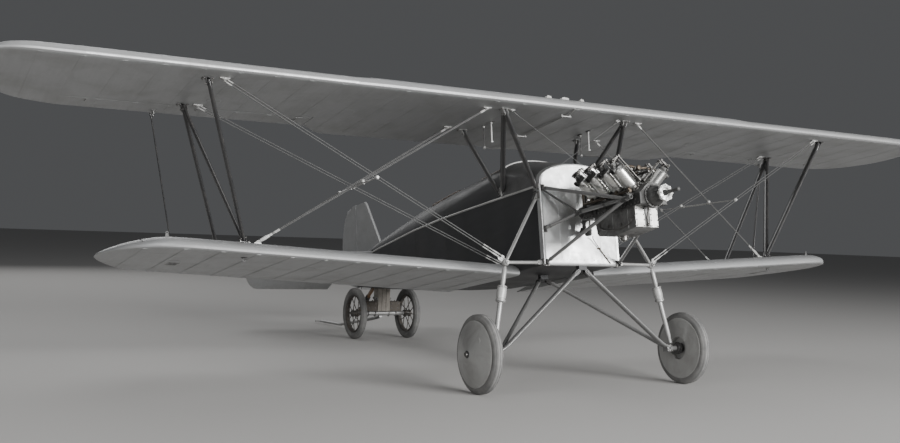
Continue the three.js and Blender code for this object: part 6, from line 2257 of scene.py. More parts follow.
for side_name, side in SIDES.items():
    ignition(side_name, side)
print("cylinders and valve gear drawn")

# %% [markdown]
# ## Inlet pipes and carburettor
# The mixture comes up from the carburettor behind the engine and runs forward between the banks, with a
# short bent branch to each cylinder.

# %% Inlet pipes and carburettor
PIPE_Z = 1.562


def inlet():
    pipes, joints, body, bolts = Form(), Form(), Form(), Marks()
    run = [vec(0, -0.960, PIPE_Z), vec(0, -0.55, PIPE_Z), vec(0, -0.235, PIPE_Z),
           vec(0, -0.155, PIPE_Z - 0.020),
           vec(0, -0.130, PIPE_Z - 0.085), vec(0, -0.130, 1.40), vec(0, -0.130, 1.225)]
    pipes.add(tube(bend(run, 8), 0.0215, 20))
    pipes.add(turned([(0.0, -0.004), (0.020, 0.0), (0.024, 0.006), (0.024, 0.020)], vec(0, -0.968, PIPE_Z),
                     AFT, 20))
    for side in SIDES.values():
        for y in cylinder_rows(side):
            foot = on_bank(side, y + 0.030, 0.352, -0.046)
            start = vec(side * 0.010, y + 0.040, PIPE_Z)
            pipes.add(tube(bend([start, start.lerp(foot, 0.4) + UP * 0.014,
                                 foot.lerp(start, 0.15) + UP * 0.006, foot], 6),
                           0.0135, 16))
            way = (foot - start).normalized()
            joints.add(turned([(0.0185, -0.006), (0.0185, 0.006)], start + way * 0.030, way, 20))
            joints.add(turned([(0.0185, -0.004), (0.0185, 0.004)], foot - way * 0.012, way, 20))
    for y in (-0.890, -0.712, -0.534, -0.300):
        joints.add(turned([(0.0255, -0.016), (0.0265, -0.012), (0.0265, 0.012), (0.0255, 0.016)],
                          vec(0, y, PIPE_Z), AFT, 24))
    joints.add(turned([(0.034, 0.0), (0.034, 0.008)], vec(0, -0.130, 1.222), UP, 24))
    bowl = vec(0.018, -0.130, 1.080)
    rows = [(0.0, 0.0), (0.026, 0.0), (0.032, 0.006), (0.034, 0.020), (0.034, 0.048), (0.037, 0.052),
            (0.037, 0.060),
            (0.026, 0.070), (0.012, 0.074), (0.0, 0.074)]
    body.add(turned(rows, bowl, UP, 28))
    rows = [(0.0, 0.0), (0.026, 0.0), (0.026, 0.012), (0.019, 0.020), (0.019, 0.085), (0.025, 0.095),
            (0.033, 0.100),
            (0.033, 0.108), (0.0, 0.108)]
    body.add(turned(rows, vec(-0.026, -0.130, 1.113), UP, 24))
    horn = [(0.0, 0.0), (0.024, 0.0), (0.024, 0.030), (0.030, 0.044), (0.030, 0.048), (0.024, 0.048),
            (0.020, 0.030), (0, 0.030)]
    body.add(turned(horn, vec(-0.012, -0.130, 1.125), (-1, 0, 0), 24))
    body.add(tube(bend([vec(0.05, -0.13, 1.13), vec(0.075, -0.11, 1.135), vec(0.080, -0.06, 1.15),
                        vec(0.080, -0.039, 1.16)], 6),
                  0.005, 10))
    for t in turns(4, 0.4):
        bolts.mark((0.018 + 0.030 * math.cos(t), -0.13 + 0.030 * math.sin(t), 1.140), (0, 0, 1))
        bolts.mark((0.028 * math.cos(t), -0.13 + 0.028 * math.sin(t), 1.230), (0, 0, 1))
    piece("inlet_manifold_pipes", pipes, "copper_pipe", replaces=["inlet_manifold"], sharp=45)
    piece("inlet_manifold_joints", joints, "copper_pipe", sharp=40, finish="black_rubber")
    piece("carburettor", body, "copper_pipe", sharp=35, finish="engine_castings")
    make("carburettor_bolts", BOLTS, bolts, Across=0.009, Height=0.004, Washer=0.006, Stub=0.002)


inlet()

# %% [markdown]
# ## What hangs on the engine's back
# A gear cover, the magneto on its shelf with its caps for the leads, and the water pump below it.

# %% Accessories
def accessories():
    body, caps, bolts = Form(), Form(), Marks()
    outline = [(-0.090, 1.242), (0.090, 1.242), (0.090, 1.330), (0.050, 1.360), (-0.050, 1.360),
               (-0.090, 1.330)]
    body.add(slab(outline, 0.020, vec(0, -0.239, 0), PORT, UP))
    body.add(turned([(0.0, 0.0), (0.055, 0.0), (0.055, 0.006), (0.048, 0.010), (0.046, 0.030), (0.030, 0.040),
                     (0, 0.040)],
                    vec(0.020, -0.229, 1.292), AFT, 28))
    arch = [(0.036 * math.cos(t), 0.030 + 0.036 * math.sin(t)) for t in np.linspace(0, math.pi, 11)]
    body.add(slab([(0.036, -0.020), *arch, (-0.036, -0.020)], 0.030, vec(-0.032, -0.214, 1.300), PORT, UP))
    caps.add(slab([(0.030, -0.012), *[(0.84 * x, 0.03 + 0.84 * (z - 0.03)) for x, z in arch],
                   (-0.030, -0.012)], 0.022,
                  vec(-0.032, -0.190, 1.300), PORT, UP))
    for t in np.linspace(0.3, math.pi - 0.3, 4):
        tip = vec(-0.032 + 0.024 * math.cos(t), -0.182, 1.326 + 0.024 * math.sin(t))
        caps.add(turned([(0.007, 0), (0.006, 0.014), (0.004, 0.020), (0, 0.020)], tip, AFT, 10))
    for x in (-0.078, 0.078):
        for z in (1.252, 1.290, 1.326):
            bolts.mark((x, -0.229, z), (0, 1, 0))
    for t in turns(6, 0.5):
        bolts.mark((0.020 + 0.050 * math.cos(t), -0.223, 1.292 + 0.050 * math.sin(t)), (0, 1, 0))
    hose = [vec(0.060, -0.205, 1.275), vec(0.095, -0.195, 1.265), vec(0.125, -0.205, 1.29),
            on_bank(1, -0.35, 0.163, 0.080)]
    caps.add(tube(bend(hose, 6), 0.013, 14))
    hose = [vec(0.020, -0.200, 1.250), vec(-0.040, -0.185, 1.235), vec(-0.120, -0.200, 1.27),
            on_bank(-1, -0.37, 0.163, 0.080)]
    caps.add(tube(bend(hose, 6), 0.013, 14))
    piece("accessory_cover", body, "engine_steel", replaces=["engine_accessories"], sharp=35, bevel=0.002,
          finish="engine_castings")
    piece("magneto_caps", caps, "engine_steel", sharp=45, finish="black_rubber")
    make("accessory_bolts", BOLTS, bolts, Across=0.010, Height=0.005, Washer=0.007)


accessories()

# %% [markdown]
# ## Propeller hub
# The propeller is off, so the hub shows: a toothed-looking flange of bolt ends round a dark recess, and
# the shaft's taper with the round nut at its end. Everything here hangs on the propeller hub's own body.

# %% Propeller hub
def propeller_hub():
    centre, way = vec(0, -1.277, THRUST_Z), vec(0, -1, 0)
    hub, shaft, bolts = Form(), Form(), Marks()
    rows = [(0.0, -0.028), (0.038, -0.028), (0.040, -0.018), (0.070, -0.014), (0.0725, -0.010),
            (0.0725, 0.004),
            (0.069, 0.008), (0.048, 0.010), (0.042, 0.012), (0.040, 0.008), (0.038, -0.008), (0.0, -0.008)]
    hub.add(turned(rows, centre, way, 48))
    for t in turns(8):
        radial = vec(math.cos(t), 0, math.sin(t))
        at = centre + radial * 0.0625
        hub.add(turned([(0.0, -0.016), (0.0145, -0.016), (0.0145, 0.009), (0.0125, 0.011), (0.0, 0.011)], at,
                       way, 20))
        bolts.mark(at + way * 0.011, way)
    rows = [(0.026, -0.010), (0.026, 0.004), (0.020, 0.012), (0.0175, 0.040), (0.015, 0.100), (0.014, 0.140),
            (0.0115, 0.145), (0.0115, 0.150), (0.018, 0.153), (0.0195, 0.160), (0.018, 0.168), (0.012, 0.174),
            (0.0, 0.176)]
    shaft.add(turned([(0.0, -0.010), *rows], centre, way, 32))
    piece("propeller_hub_flange", hub, "hub_steel", "propeller_hub", ["propeller_hub"], sharp=35)
    piece("propeller_hub_shaft", shaft, "hub_steel", "propeller_hub", sharp=40, finish="wire_steel")
    make("propeller_hub_bolts", BOLTS, bolts, "hub_steel", "propeller_hub", Across=0.014, Height=0.005,
         Washer=0.009,
         Stub=0.003)


propeller_hub()

# %% [markdown]
# ## Engine mount
# The engine stands on two tube bearers. From the front end of each, tubes run back to the body's upper
# and lower corners, and from its rear end to a middle fitting, with a thin tie to the upper one.

# %% Engine mount
WALL_Y = -0.0375


def engine_mount(side_name, side):
    tubes, ties, plates, bolts = Form(), Form(), Form(), Marks()

    def at(x, y, z):
        return vec(side * x, y, z)

    bearer_front = at(0.196, -1.058, 1.268)
    bore = 0.0145
    rows = [(0.0, 0.030), (bore, 0.030), (bore, 0.0), (0.0185, 0.0), (0.0185, 0.796), (0.0, 0.796)]
    tubes.add(turned(rows, bearer_front, AFT, 24))
    front, rear = at(0.196, -0.985, 1.266), at(0.196, -0.285, 1.266)
    ends = {"upper": at(0.425, WALL_Y, 1.545), "middle": at(0.425, WALL_Y, 1.148),
            "lower": at(0.425, WALL_Y, 0.830)}
    for end, node, radius in (("upper", front, 0.0165), ("lower", front, 0.0165), ("middle", rear, 0.0145)):
        foot = ends[end]
        along = (node - foot).normalized()
        tubes.add(tube([foot + along * 0.020, foot + along * 0.060, node], [radius * 0.8, radius, radius],
                       20))
        ties.add(turned([(radius * 1.15, -0.004), (radius * 1.15, 0.010)], foot + along * 0.062, along, 20))
    tie = ends["upper"] + vec(0, -0.012, -0.020)
    ties.add(tube([tie, rear], 0.010, 12))
    for point in (front, rear):
        tubes.add(turned_ring([(0.0188, -0.020), (0.0245, -0.020), (0.0245, 0.020), (0.0188, 0.020)],
                              point + UP * 0.002,
                              AFT, 24))
        plates.add(slab(oval(0.090, 0.040), 0.005, point + at(0.0265, 0, 0) * 1.0 - vec(0, 0, 0.014), AFT,
                        UP))
        for dy in (-0.028, 0.028):
            bolts.mark(point + vec(side * 0.0290, dy, -0.014), (side, 0, 0))
    for y in (-1.010, -0.690, -0.340):
        plates.add(turned_ring([(0.0188, -0.014), (0.0225, -0.014), (0.0225, 0.014), (0.0188, 0.014)],
                               at(0.196, y, 1.268), AFT, 24))
    for foot in ends.values():
        plates.add(block(foot + vec(side * 0.012, 0, -0.032), foot + vec(-side * 0.034, -0.006, 0.032)))
        for dz in (-0.018, 0.018):
            ear = [(-0.004, dz - 0.011), (-0.034, dz * 0.7 - 0.011), (-0.034, dz * 0.7 + 0.011),
                   (-0.004, dz + 0.011)]
            plates.add(slab(ear, 0.005, foot + vec(0, 0, 0), AFT, UP))
            for dx in (-0.024, 0.004):
                bolts.mark(foot + vec(side * dx, -0.006, dz * 1.3), (0, -1, 0))
        bolts.mark(foot + vec(side * 0.004, -0.030, 0), (side, 0, 0))
    name = "engine_mount_" + side_name
    # the mount tubes' grey enamel is a painted highlight: black tubes coloured lighter for the light on their
    # tops
    piece(name + "_tubes", tubes, "black_enamel", replaces=[name], sharp=45, finish="worn_enamel")
    piece(name + "_ties", ties, "black_enamel", sharp=45, finish="wire_steel")
    piece(name + "_plates", plates, "black_enamel", sharp=30, bevel=0.001, finish="wire_steel")
    make(name + "_bolts", BOLTS, bolts, Across=0.012, Height=0.006, Washer=0.009)


for side_name, side in SIDES.items():
    engine_mount(side_name, side)
print("engine drawn")

# %% [markdown]
# ## Firewall
# A bright sheet closes the front of the body. Its edge is folded back over the cloth and riveted, and
# a lap seam crosses it below the deck. The fold is drawn as one cross-section carried round the body's
# outline, which already comes as matching loops at any distance from the skin.

# %% Firewall
def edge_fold(profile):
    """A closed cross-section, as rows of growth and place, carried round the body's outline."""
    return skin([body_ring(y, grow, sag=0.0) for grow, y in profile], looped=True)


def along_loop(points, pitch):
    """Evenly spaced places round a closed line, each with the direction of travel."""
    points = [Vector(p) for p in points]
    closed = [*points, points[0]]
    lengths = [(b - a).length for a, b in zip(closed, closed[1:])]
    count = round(sum(lengths) / pitch)
    out, walked, k = [], 0.0, 0
    for step in range(count):
        target = sum(lengths) * step / count
        while walked + lengths[k] < target:
            walked += lengths[k]
            k += 1
        t = (target - walked) / lengths[k] if lengths[k] else 0
        out.append((closed[k].lerp(closed[k + 1], t), (closed[k + 1] - closed[k]).normalized()))
    return out


def firewall():
    sheet, fold, rivets, pipes = Form(), Form(), Marks(), Form()
    sheet.add(skin([body_ring(y, -0.003, sag=0.0) for y in (-0.0335, -0.0308)]))
    fold.add(edge_fold([(-0.026, -0.0337), (-0.026, -0.0362), (-0.005, -0.0362), (0.000, -0.0395),
                        (0.0035, -0.0380),
                        (0.0045, -0.0330), (0.0040, 0.022), (0.0022, 0.022), (0.0020, -0.0305),
                        (-0.004, -0.0337)]))
    half, bottom = body_at(-0.030)[:2]
    seam_z = 1.556
    fold.add(slab([(-half + 0.028, seam_z - 0.014), (half - 0.028, seam_z - 0.014),
                   (half - 0.028, seam_z + 0.014),
                   (-half + 0.028, seam_z + 0.014)], 0.0016, vec(0, -0.0343, 0), PORT, UP))
    for p, way in along_loop(body_ring(-0.030, -0.015, sag=0.0), 0.048):
        rivets.mark(vec(p.x, -0.0362, p.z), (0, -1, 0))
    for p, way in along_loop(body_ring(-0.030, 0.0042, sag=0.0), 0.060):
        out = way.cross(AFT).normalized()
        out = out if out.dot(vec(p.x, 0, p.z - 1.25)) > 0 else -out
        rivets.mark(vec(p.x, 0.006, p.z), out)
    low_seam = bottom + 0.060
    fold.add(slab([(-half + 0.028, bottom + 0.012), (half - 0.028, bottom + 0.012), (half - 0.028, low_seam),
                   (-half + 0.028, low_seam)], 0.0016, vec(0, -0.0343, 0), PORT, UP))
    for z in (seam_z - 0.007, seam_z + 0.007, low_seam - 0.010):
        rivets.line((-half + 0.04, -0.0351, z), (half - 0.04, -0.0351, z), 0.040, (0, -1, 0))
    for x in (-0.235, 0.235):
        fold.add(slab([(x - 0.009, bottom + 0.03), (x + 0.009, bottom + 0.03), (x + 0.009, 1.535),
                       (x - 0.009, 1.535)],
                      0.003, vec(0, -0.0345, 0), PORT, UP))
        rivets.line((x, -0.036, bottom + 0.04), (x, -0.036, 1.53), 0.055, (0, -1, 0))
    drain = [vec(0.10, -0.085, 1.085), vec(0.125, -0.060, 1.06), vec(0.20, -0.046, 0.975),
             vec(0.325, -0.044, 0.830)]
    pipes.add(tube(bend(drain, 6), 0.0045, 8))
    feed = [vec(0.080, -0.044, 1.16), vec(0.110, -0.042, 1.20), vec(0.115, -0.042, 1.36),
            vec(0.10, -0.042, 1.50)]
    pipes.add(tube(bend(feed, 6), 0.0045, 8))
    for x, z in ((0.115, 1.30), (0.20, 0.975)):
        pipes.add(slab(rounded_slot(0.044, 0.016), 0.003, vec(x, -0.0385, z), PORT, UP))
    pipes.add(turned([(0, 0), (0.020, 0), (0.020, 0.006), (0.012, 0.008), (0.012, 0.018), (0, 0.018)],
                     vec(0.10, -0.0335, 1.505), (0, -1, 0), 18))
    piece("firewall_panel", sheet, "firewall_sheet", replaces=["firewall"], sharp=30)
    piece("firewall_fold", fold, "firewall_sheet", sharp=35)
    piece("firewall_pipes", pipes, "firewall_sheet", sharp=45, finish="copper_pipe")
    make("firewall_rivets", DOMES, rivets, "firewall_sheet", Length=0.008, Width=0.008, Height=0.0022)


firewall()

# %% [markdown]
# ## Scuttle and side strips
# Between the firewall and the front cockpit the deck is dull sheet metal ending in a bright beaded rim.
# A half-round strip covers the seam between side and deck all the way back to the tail. The strip is real;
# its light grey colour is a painted highlight standing for the glint along the ridge of a dark moulding.

# %% Scuttle and strips
SCUTTLE_END = 0.634


def deck_arc(y, grow, steps=36):
    half, _, shoulder, crown = body_at(y)
    return [vec((half + grow) * math.cos(t), y, shoulder + (crown + grow - shoulder) * math.sin(t))
            for t in (math.pi * k / steps for k in range(steps + 1))]


def strip_z(y):
    """Height of the upper longeron, where the side strip runs."""
    return float(np.interp(y, [-0.03, 2.0, 2.72, 4.0, 5.186], [1.570, 1.588, 1.588, 1.576, 1.566]))


def scuttle_arc(y, grow):
    """The deck's arc with its two sides carried down to the longerons."""
    half, _, shoulder, _ = body_at(y)
    low = strip_z(y) + 0.010
    down = [low + (shoulder - low) * k / 5 for k in range(5)]
    right = [vec(half + grow, y, z) for z in down]
    left = [vec(-half - grow, y, z) for z in reversed(down)]
    return right + deck_arc(y, grow) + left


def scuttle():
    sheet, rim, rivets = Form(), Form(), Marks()
    rings = []
    for y in np.linspace(-0.008, SCUTTLE_END, 14):
        outer, inner = scuttle_arc(y, 0.0030), scuttle_arc(y, 0.0008)
        rings.append([*outer, *reversed(inner)])
    sheet.add(skin(rings))
    rim.add(tube(scuttle_arc(SCUTTLE_END - 0.004, 0.006), 0.0105, 14))
    for y in (0.040, 0.300, 0.610):
        arc = deck_arc(y, 0.0030, 60)
        for a, b, c in zip(arc, arc[1:], arc[2:]):
            rivets.mark(b, (c - a).cross(AFT))
    for s in (-1, 1):
        for y in np.arange(0.06, 0.60, 0.045):
            half = body_at(y)[0]
            rivets.mark((s * (half + 0.003), y, strip_z(y) + 0.030), (s, 0, 0))
    piece("scuttle", sheet, "black_fabric", sharp=30, finish="scuttle_sheet")
    piece("scuttle_rim", rim, "black_fabric", sharp=50, finish="side_strip")
    make("scuttle_rivets", DOMES, rivets, "black_fabric", finish="scuttle_sheet", Length=0.007, Width=0.007,
         Height=0.0018)
    strips = Form()
    for s in (-1, 1):
        rings = []
        for y in [*np.linspace(0.024, 5.12, 60)]:
            half = body_at(y)[0]
            slope = 0.005
            shape = [(-0.001, -0.011), (0.003, -0.010), (slope + 0.001, -0.005), (slope + 0.002, 0.0),
                     (slope + 0.001, 0.005), (0.003, 0.010), (-0.001, 0.011)]
            rings.append([vec(s * (half + dx), y, strip_z(y) + dz) for dx, dz in shape])
        strips.add(skin(rings))
    # light grey finish on the strips: a painted highlight for the glint along the ridge of a dark moulding
    piece("body_side_strips", strips, "black_fabric", sharp=40, finish="side_strip")


scuttle()
print("firewall and scuttle drawn")

# %% [markdown]
# ## Inside the cockpits
# The openings show a plywood floor, the steel tube frame along the walls, a sheet-metal bucket seat with
# its cushions, a wooden panel with dials, the stick and the rudder bar. The seat is a bent sheet: a
# grid that follows a U in plan and rises towards the back.

# %% Seats
def bucket(middle_y, base_z):
    half, front, back, corner = 0.188, middle_y - 0.058, middle_y + 0.318, 0.07
    plan = [(-half, y) for y in np.linspace(front, back - corner, 7)]
    plan += [(-half + corner - corner * math.cos(t), back - corner + corner * math.sin(t))
             for t in np.linspace(0.2, math.pi / 2, 6)]
    plan += [(x, back) for x in np.linspace(-half + corner, half - corner, 7)[1:-1]]
    plan += [(-x, y) for x, y in reversed(plan[:13])]
    rings = []
    rim = []
    for x, y in plan:
        rise = min(1.0, max(0.0, (y - middle_y - 0.05) / (back - middle_y - 0.05)))
        top = base_z + 0.16 + 0.02 * (y - front) / (back - front) + 0.36 * rise ** 1.6
        normal = vec(-x, 0.6 * (middle_y - y), 0).normalized() if abs(x) < half - 0.001 else vec(-x, 0,
                0).normalized()
        levels = [base_z + (top - base_z) * k / 8 for k in range(9)]
        outer = [vec(x, y, z) for z in levels]
        inner = [p + normal * 0.004 for p in reversed(outer)]
        rings.append(outer + inner)
        rim.append(vec(x, y, top) + normal * 0.002)
    form = Form(skin(rings), tube(rim, 0.0065, 10))
    outline = [(-half + 0.002, front), (half - 0.002, front)] + [(x, y) for x, y in reversed(plan)]
    form.add(skin([[vec(x, y, z) for x, y in outline] for z in (base_z - 0.002, base_z + 0.003)]))
    form.add(tube([vec(-half, front, base_z), vec(half, front, base_z)], 0.0075, 10))
    return form


def floor_z(y):
    return body_at(y)[1] + WALL


def seat(name, middle_y):
    base_z = floor_z(middle_y + 0.380) + 0.300
    form = bucket(middle_y, base_z)
    for x in (-0.150, 0.150):
        for y in (middle_y + 0.012, middle_y + 0.278):
            form.add(tube([vec(x, y, floor_z(y) + 0.003), vec(x, y, base_z - 0.002)], 0.011, 12))
            form.add(turned([(0.026, 0.0005), (0.026, 0.004), (0.014, 0.006)], vec(x, y, floor_z(y)), UP, 16))
        form.add(tube([vec(x, middle_y + 0.012, base_z - 0.03),
                       vec(x, middle_y + 0.278, floor_z(middle_y) + 0.05)],
                      0.008, 10))
    piece(name + "_bucket", form, "seat_leather", replaces=[name], sharp=40, finish="scuttle_sheet")
    return base_z


SEAT_BASE = {cockpit: seat("seat_" + cockpit, place["seat"]) for cockpit, place in COCKPITS.items()}

# %% [markdown]
# ## Cushions
# A seat cushion swells between its seams. It starts as a thin rounded block of even small faces, and a
# short cloth simulation blows it up with its own pressure, as stuffing does. The movement is held to a
# limit so that the cushion stays in its seat, and a piped seam is laid round its edge afterwards.

# %% Cushions by cloth simulation
def cushion_start(low, high, cuts=22):
    """A block of even faces whose corners are rounded in plan."""
    work = bmesh.new()
    bmesh.ops.create_cube(work, size=1.0)
    bmesh.ops.subdivide_edges(work, edges=work.edges, cuts=cuts, use_grid_fill=True)
    middle, size = (Vector(low) + Vector(high)) / 2, Vector(high) - Vector(low)
    flat = min(range(3), key=lambda k: size[k])
    wide = [k for k in range(3) if k != flat]
    for v in work.verts:
        a, b = v.co[wide[0]] * 2, v.co[wide[1]] * 2
        shrink = 1 - 0.10 * (a * b) ** 2
        v.co = Vector([v.co[k] * (shrink if k in wide else 1 - 0.35 * max(abs(a), abs(b)) ** 6)
                       for k in range(3)])
        v.co = Vector([middle[k] + v.co[k] * size[k] for k in range(3)])
    mesh = bpy.data.meshes.new("cushion")
    work.to_mesh(mesh)
    work.free()
    return mesh


def swell(mesh, pressure, limit, frames=20):
    """Blow a closed mesh up like stuffing and cap how far any point may move."""
    start = [v.co.copy() for v in mesh.vertices]
    pad = bpy.data.objects.new("cushion", mesh)
    bpy.context.scene.collection.objects.link(pad)
    cloth = pad.modifiers.new("stuffing", "CLOTH").settings
    cloth.use_pressure = True
    cloth.uniform_pressure_force = pressure
    cloth.effector_weights.gravity = 0
    cloth.quality = 6
    for number in range(1, frames + 1):
        bpy.context.scene.frame_set(number)
    ready = bpy.data.meshes.new_from_object(pad.evaluated_get(bpy.context.evaluated_depsgraph_get()))
    for v, old in zip(ready.vertices, start):
        move = v.co - old
        v.co = old + move * min(1.0, limit / max(move.length, 1e-9))
    bpy.data.objects.remove(pad)
    bpy.context.scene.frame_set(1)
    return ready


def cushion(name, low, high, buttons=(), pressure=4.0, limit=0.014):
    mesh = swell(cushion_start(low, high), pressure, limit)
    flat = min(range(3), key=lambda k: high[k] - low[k])
    for v in mesh.vertices:
        for button in buttons:
            away = Vector([0 if k == flat else v.co[k] - button[k] for k in range(3)]).length
            middle = (low[flat] + high[flat]) / 2
            v.co[flat] += (middle - v.co[flat]) * 0.5 * math.exp(-(away / 0.035) ** 2)
    mesh.transform(PARKED)
    mesh.shade_smooth()
    made = bpy.data.objects.new(name, mesh)
    bpy.context.scene.collection.objects.link(made)
    smooth = made.modifiers.new("smoother", "SUBSURF")
    smooth.levels = smooth.render_levels = 1
    settle(made, "seat_leather", "airframe", [], None)


for cockpit, place in COCKPITS.items():
    y, base = place["seat"], SEAT_BASE[cockpit]
    spots = [(x, y + dy, 0) for x in (-0.08, 0.08) for dy in (0.04, 0.18)]
    cushion("seat_cushion_" + cockpit, (-0.168, y - 0.045, base + 0.012), (0.168, y + 0.255, base + 0.082),
            spots)
    spots = [(x, 0, base + z) for x in (-0.06, 0.06) for z in (0.20, 0.34)]
    cushion("back_cushion_" + cockpit, (-0.115, y + 0.262, base + 0.105), (0.115, y + 0.302, base + 0.430),
            spots,
            limit=0.008)
    piping = Form()
    seam_z = base + 0.047
    outline = [vec(0.168 * squarish(math.cos(t), 0.35), y + 0.105 + 0.150 * squarish(math.sin(t), 0.35),
                   seam_z)
               for t in turns(64)]
    piping.add(tube([*outline, outline[0]], 0.0045, 8))
    piece("seat_piping_" + cockpit, piping, "seat_leather", sharp=60)
print("seats drawn")

# %% [markdown]
# ## Coaming rolls
# A leather roll stuffed with hair protects the edge of each opening. It follows the cut in the deck, and
# lacing draws it in every few centimetres.

# %% Coaming rolls
ROLL_RADIUS = 0.0165


def deck_height(x, y):
    half, _, shoulder, crown = body_at(y)
    return shoulder + (crown - shoulder) * math.sqrt(max(0.0, 1 - (x / half) ** 2))


def coaming(name, cockpit):
    outline = cockpit_outline(cockpit, 14)
    loop = [p for p, _ in along_loop([vec(x, y, deck_height(x, y) - 0.004) for x, y in outline], 0.011)]
    rings = []
    for k, p in enumerate(loop):
        along = (loop[(k + 1) % len(loop)] - loop[k - 1]).normalized()
        across = along.cross(UP).normalized()
        upward = across.cross(along).normalized()
        upward = upward if upward.z > 0 else -upward
        pinch = 1 - 0.16 * max(0.0, math.cos(2 * math.pi * k / 5)) ** 4
        rings.append([p + across * (ROLL_RADIUS * pinch * math.cos(t)) + upward
                      * (ROLL_RADIUS * pinch * math.sin(t))
                      for t in turns(14)])
    made = piece(name, Form(skin(rings, looped=True)), "seat_leather", sharp=80)
    lacing = Marks()
    for k in range(0, len(loop), 5):
        p = loop[k]
        along = (loop[(k + 1) % len(loop)] - loop[k - 1]).normalized()
        out = along.cross(UP).normalized()
        centre = vec(0, (cockpit["front"] + cockpit["rear"]) / 2, p.z)
        out = out if out.dot(p - centre) > 0 else -out
        eyelet = p + out * 0.024
        eyelet.z = deck_height(eyelet.x, eyelet.y) + 0.0005
        lacing.mark(eyelet, (eyelet.x * 0.6, 0, 1), along)
    make(name + "_eyelets", DOMES, lacing, "seat_leather", finish="hub_steel", Length=0.009, Width=0.009,
         Height=0.002)


for cockpit, place in COCKPITS.items():
    coaming("coaming_" + cockpit, place)

# %% [markdown]
# ## Panels, sticks and rudder bars
# Each panel is a varnished board that fills the body's arch. Its dials are turned rings round a dark
# face with small marks and a needle; there is no lettering.

# %% Panels and controls
DIALS = [(-0.20, 1.640, 0.050), (-0.075, 1.655, 0.042), (0.075, 1.655, 0.042), (0.20, 1.640, 0.050),
         (0.0, 1.560, 0.030)]


def panel(name, y):
    board, rings, faces, marks, screws = Form(), Form(), Form(), Marks(), Marks()
    half, _, shoulder, crown = body_at(y)
    half, crown = half - 0.0225, crown - 0.0225
    arch = [(half * math.cos(t), shoulder + (crown - shoulder) * math.sin(t))
            for t in np.linspace(0, math.pi, 33)]
    board.add(slab([(-half, 1.481), (half, 1.481), *arch], 0.0075, vec(0, y - 0.0005, 0), PORT, UP))
    face = y + 0.0032
    for x, z, r in DIALS:
        centre = vec(x, face, z + (shoulder - 1.66) * 0.6)
        rings.add(turned_ring([(r, 0.0), (r * 1.02, 0.006), (r * 0.96, 0.011), (r * 0.88, 0.010),
                               (r * 0.86, 0.0)],
                              centre, AFT, 32))
        faces.add(turned([(0.0, 0.0005), (r * 0.88, 0.0005), (r * 0.88, 0.0035), (0.0, 0.0035)], centre, AFT,
                         28))
        turn = 1.1 + 9 * x
        needle = vec(math.sin(turn), 0, math.cos(turn))
        rings.add(slab([(-0.2 * r, -0.0012), (0.72 * r, -0.0005), (0.72 * r, 0.0005), (-0.2 * r, 0.0012)],
                       0.001,
                       centre + AFT * 0.0046, needle, AFT.cross(needle)))
        for t in turns(12):
            out = vec(math.cos(t), 0, math.sin(t))
            marks.mark(centre + out * (r * 0.76) + AFT * 0.0036, AFT, out)
    for x in (-0.9, -0.45, 0.45, 0.9):
        screws.mark((x * half, face, 1.496), AFT)
    node = "instrument_panel_" + name
    piece(node + "_board", board, "panel_wood", replaces=[node], sharp=30, bevel=0.0012)
    piece(node + "_rings", rings, "panel_wood", sharp=40, finish="hub_steel")
    piece(node + "_faces", faces, "panel_wood", sharp=30, finish="black_enamel")
    make(node + "_dial_marks", DOMES, marks, "panel_wood", finish="side_strip", Length=0.007, Width=0.0016,
         Height=0.0006)
    make(node + "_screws", DOMES, screws, "panel_wood", finish="hub_steel", Length=0.009, Width=0.009,
         Height=0.002)


def stick(name, middle_y):
    base = floor_z(middle_y - 0.230)
    foot, top = vec(0, middle_y - 0.230, base + 0.030), vec(0, middle_y - 0.170, base + 0.620)
    shaft = Form(tube(bend([foot, foot.lerp(top, 0.4) - AFT * 0.008, foot.lerp(top, 0.8),
                            top.lerp(foot, 0.05)], 5), 0.0105, 14))
    shaft.add(block(foot + vec(-0.048, -0.046, -0.0295), foot + vec(0.048, 0.046, -0.022)))
    for s in (-1, 1):
        shaft.add(slab([(-0.026, -0.024), (0.026, -0.024), (0.014, 0.020), (-0.014, 0.020)], 0.006,
                       foot + vec(s * 0.022, 0, 0), AFT, UP))
    shaft.add(rod(foot + vec(-0.034, 0, 0.006), foot + vec(0.034, 0, 0.006), 0.007, 12))
    rows = [(0.0, -0.002), (0.013, -0.002)]
    rows += [(0.0148 + (0.0012 if k % 2 else -0.0008), 0.004 + 0.008 * k) for k in range(13)]
    rows += [(0.013, 0.112), (0.0, 0.116)]
    grip = Form(turned(rows, top - (top - foot).normalized() * 0.110, (top - foot), 20))
    node = "control_stick_" + name
    piece(node + "_shaft", shaft, "engine_steel", replaces=[node], sharp=40, finish="black_enamel")
    piece(node + "_grip", grip, "engine_steel", sharp=50, finish="black_rubber")
    bar_y = middle_y - 0.330
    bar = Form(tube([vec(x, bar_y - 0.010 * (x / 0.2) ** 2, base + 0.10)
                     for x in np.linspace(-0.200, 0.200, 9)], 0.0125, 14))
    bar.add(turned([(0.0, 0.0), (0.032, 0.0), (0.032, 0.006), (0.016, 0.010), (0.014, 0.112), (0.0, 0.114)],
                   vec(0, bar_y, floor_z(bar_y) + 0.0006), UP, 20))
    for s in (-1, 1):
        bar.add(slab([(-0.05, -0.004), (0.05, -0.004), (0.05, 0.05), (-0.05, 0.05)], 0.005,
                     vec(s * 0.140, bar_y - 0.018, base + 0.112), PORT, UP))
    piece("rudder_bar_" + name, bar, "engine_steel", sharp=40, finish="black_enamel")


for cockpit, y in (("front", 0.566), ("rear", 1.686)):
    panel(cockpit, y)
    stick(cockpit, COCKPITS[cockpit]["seat"])

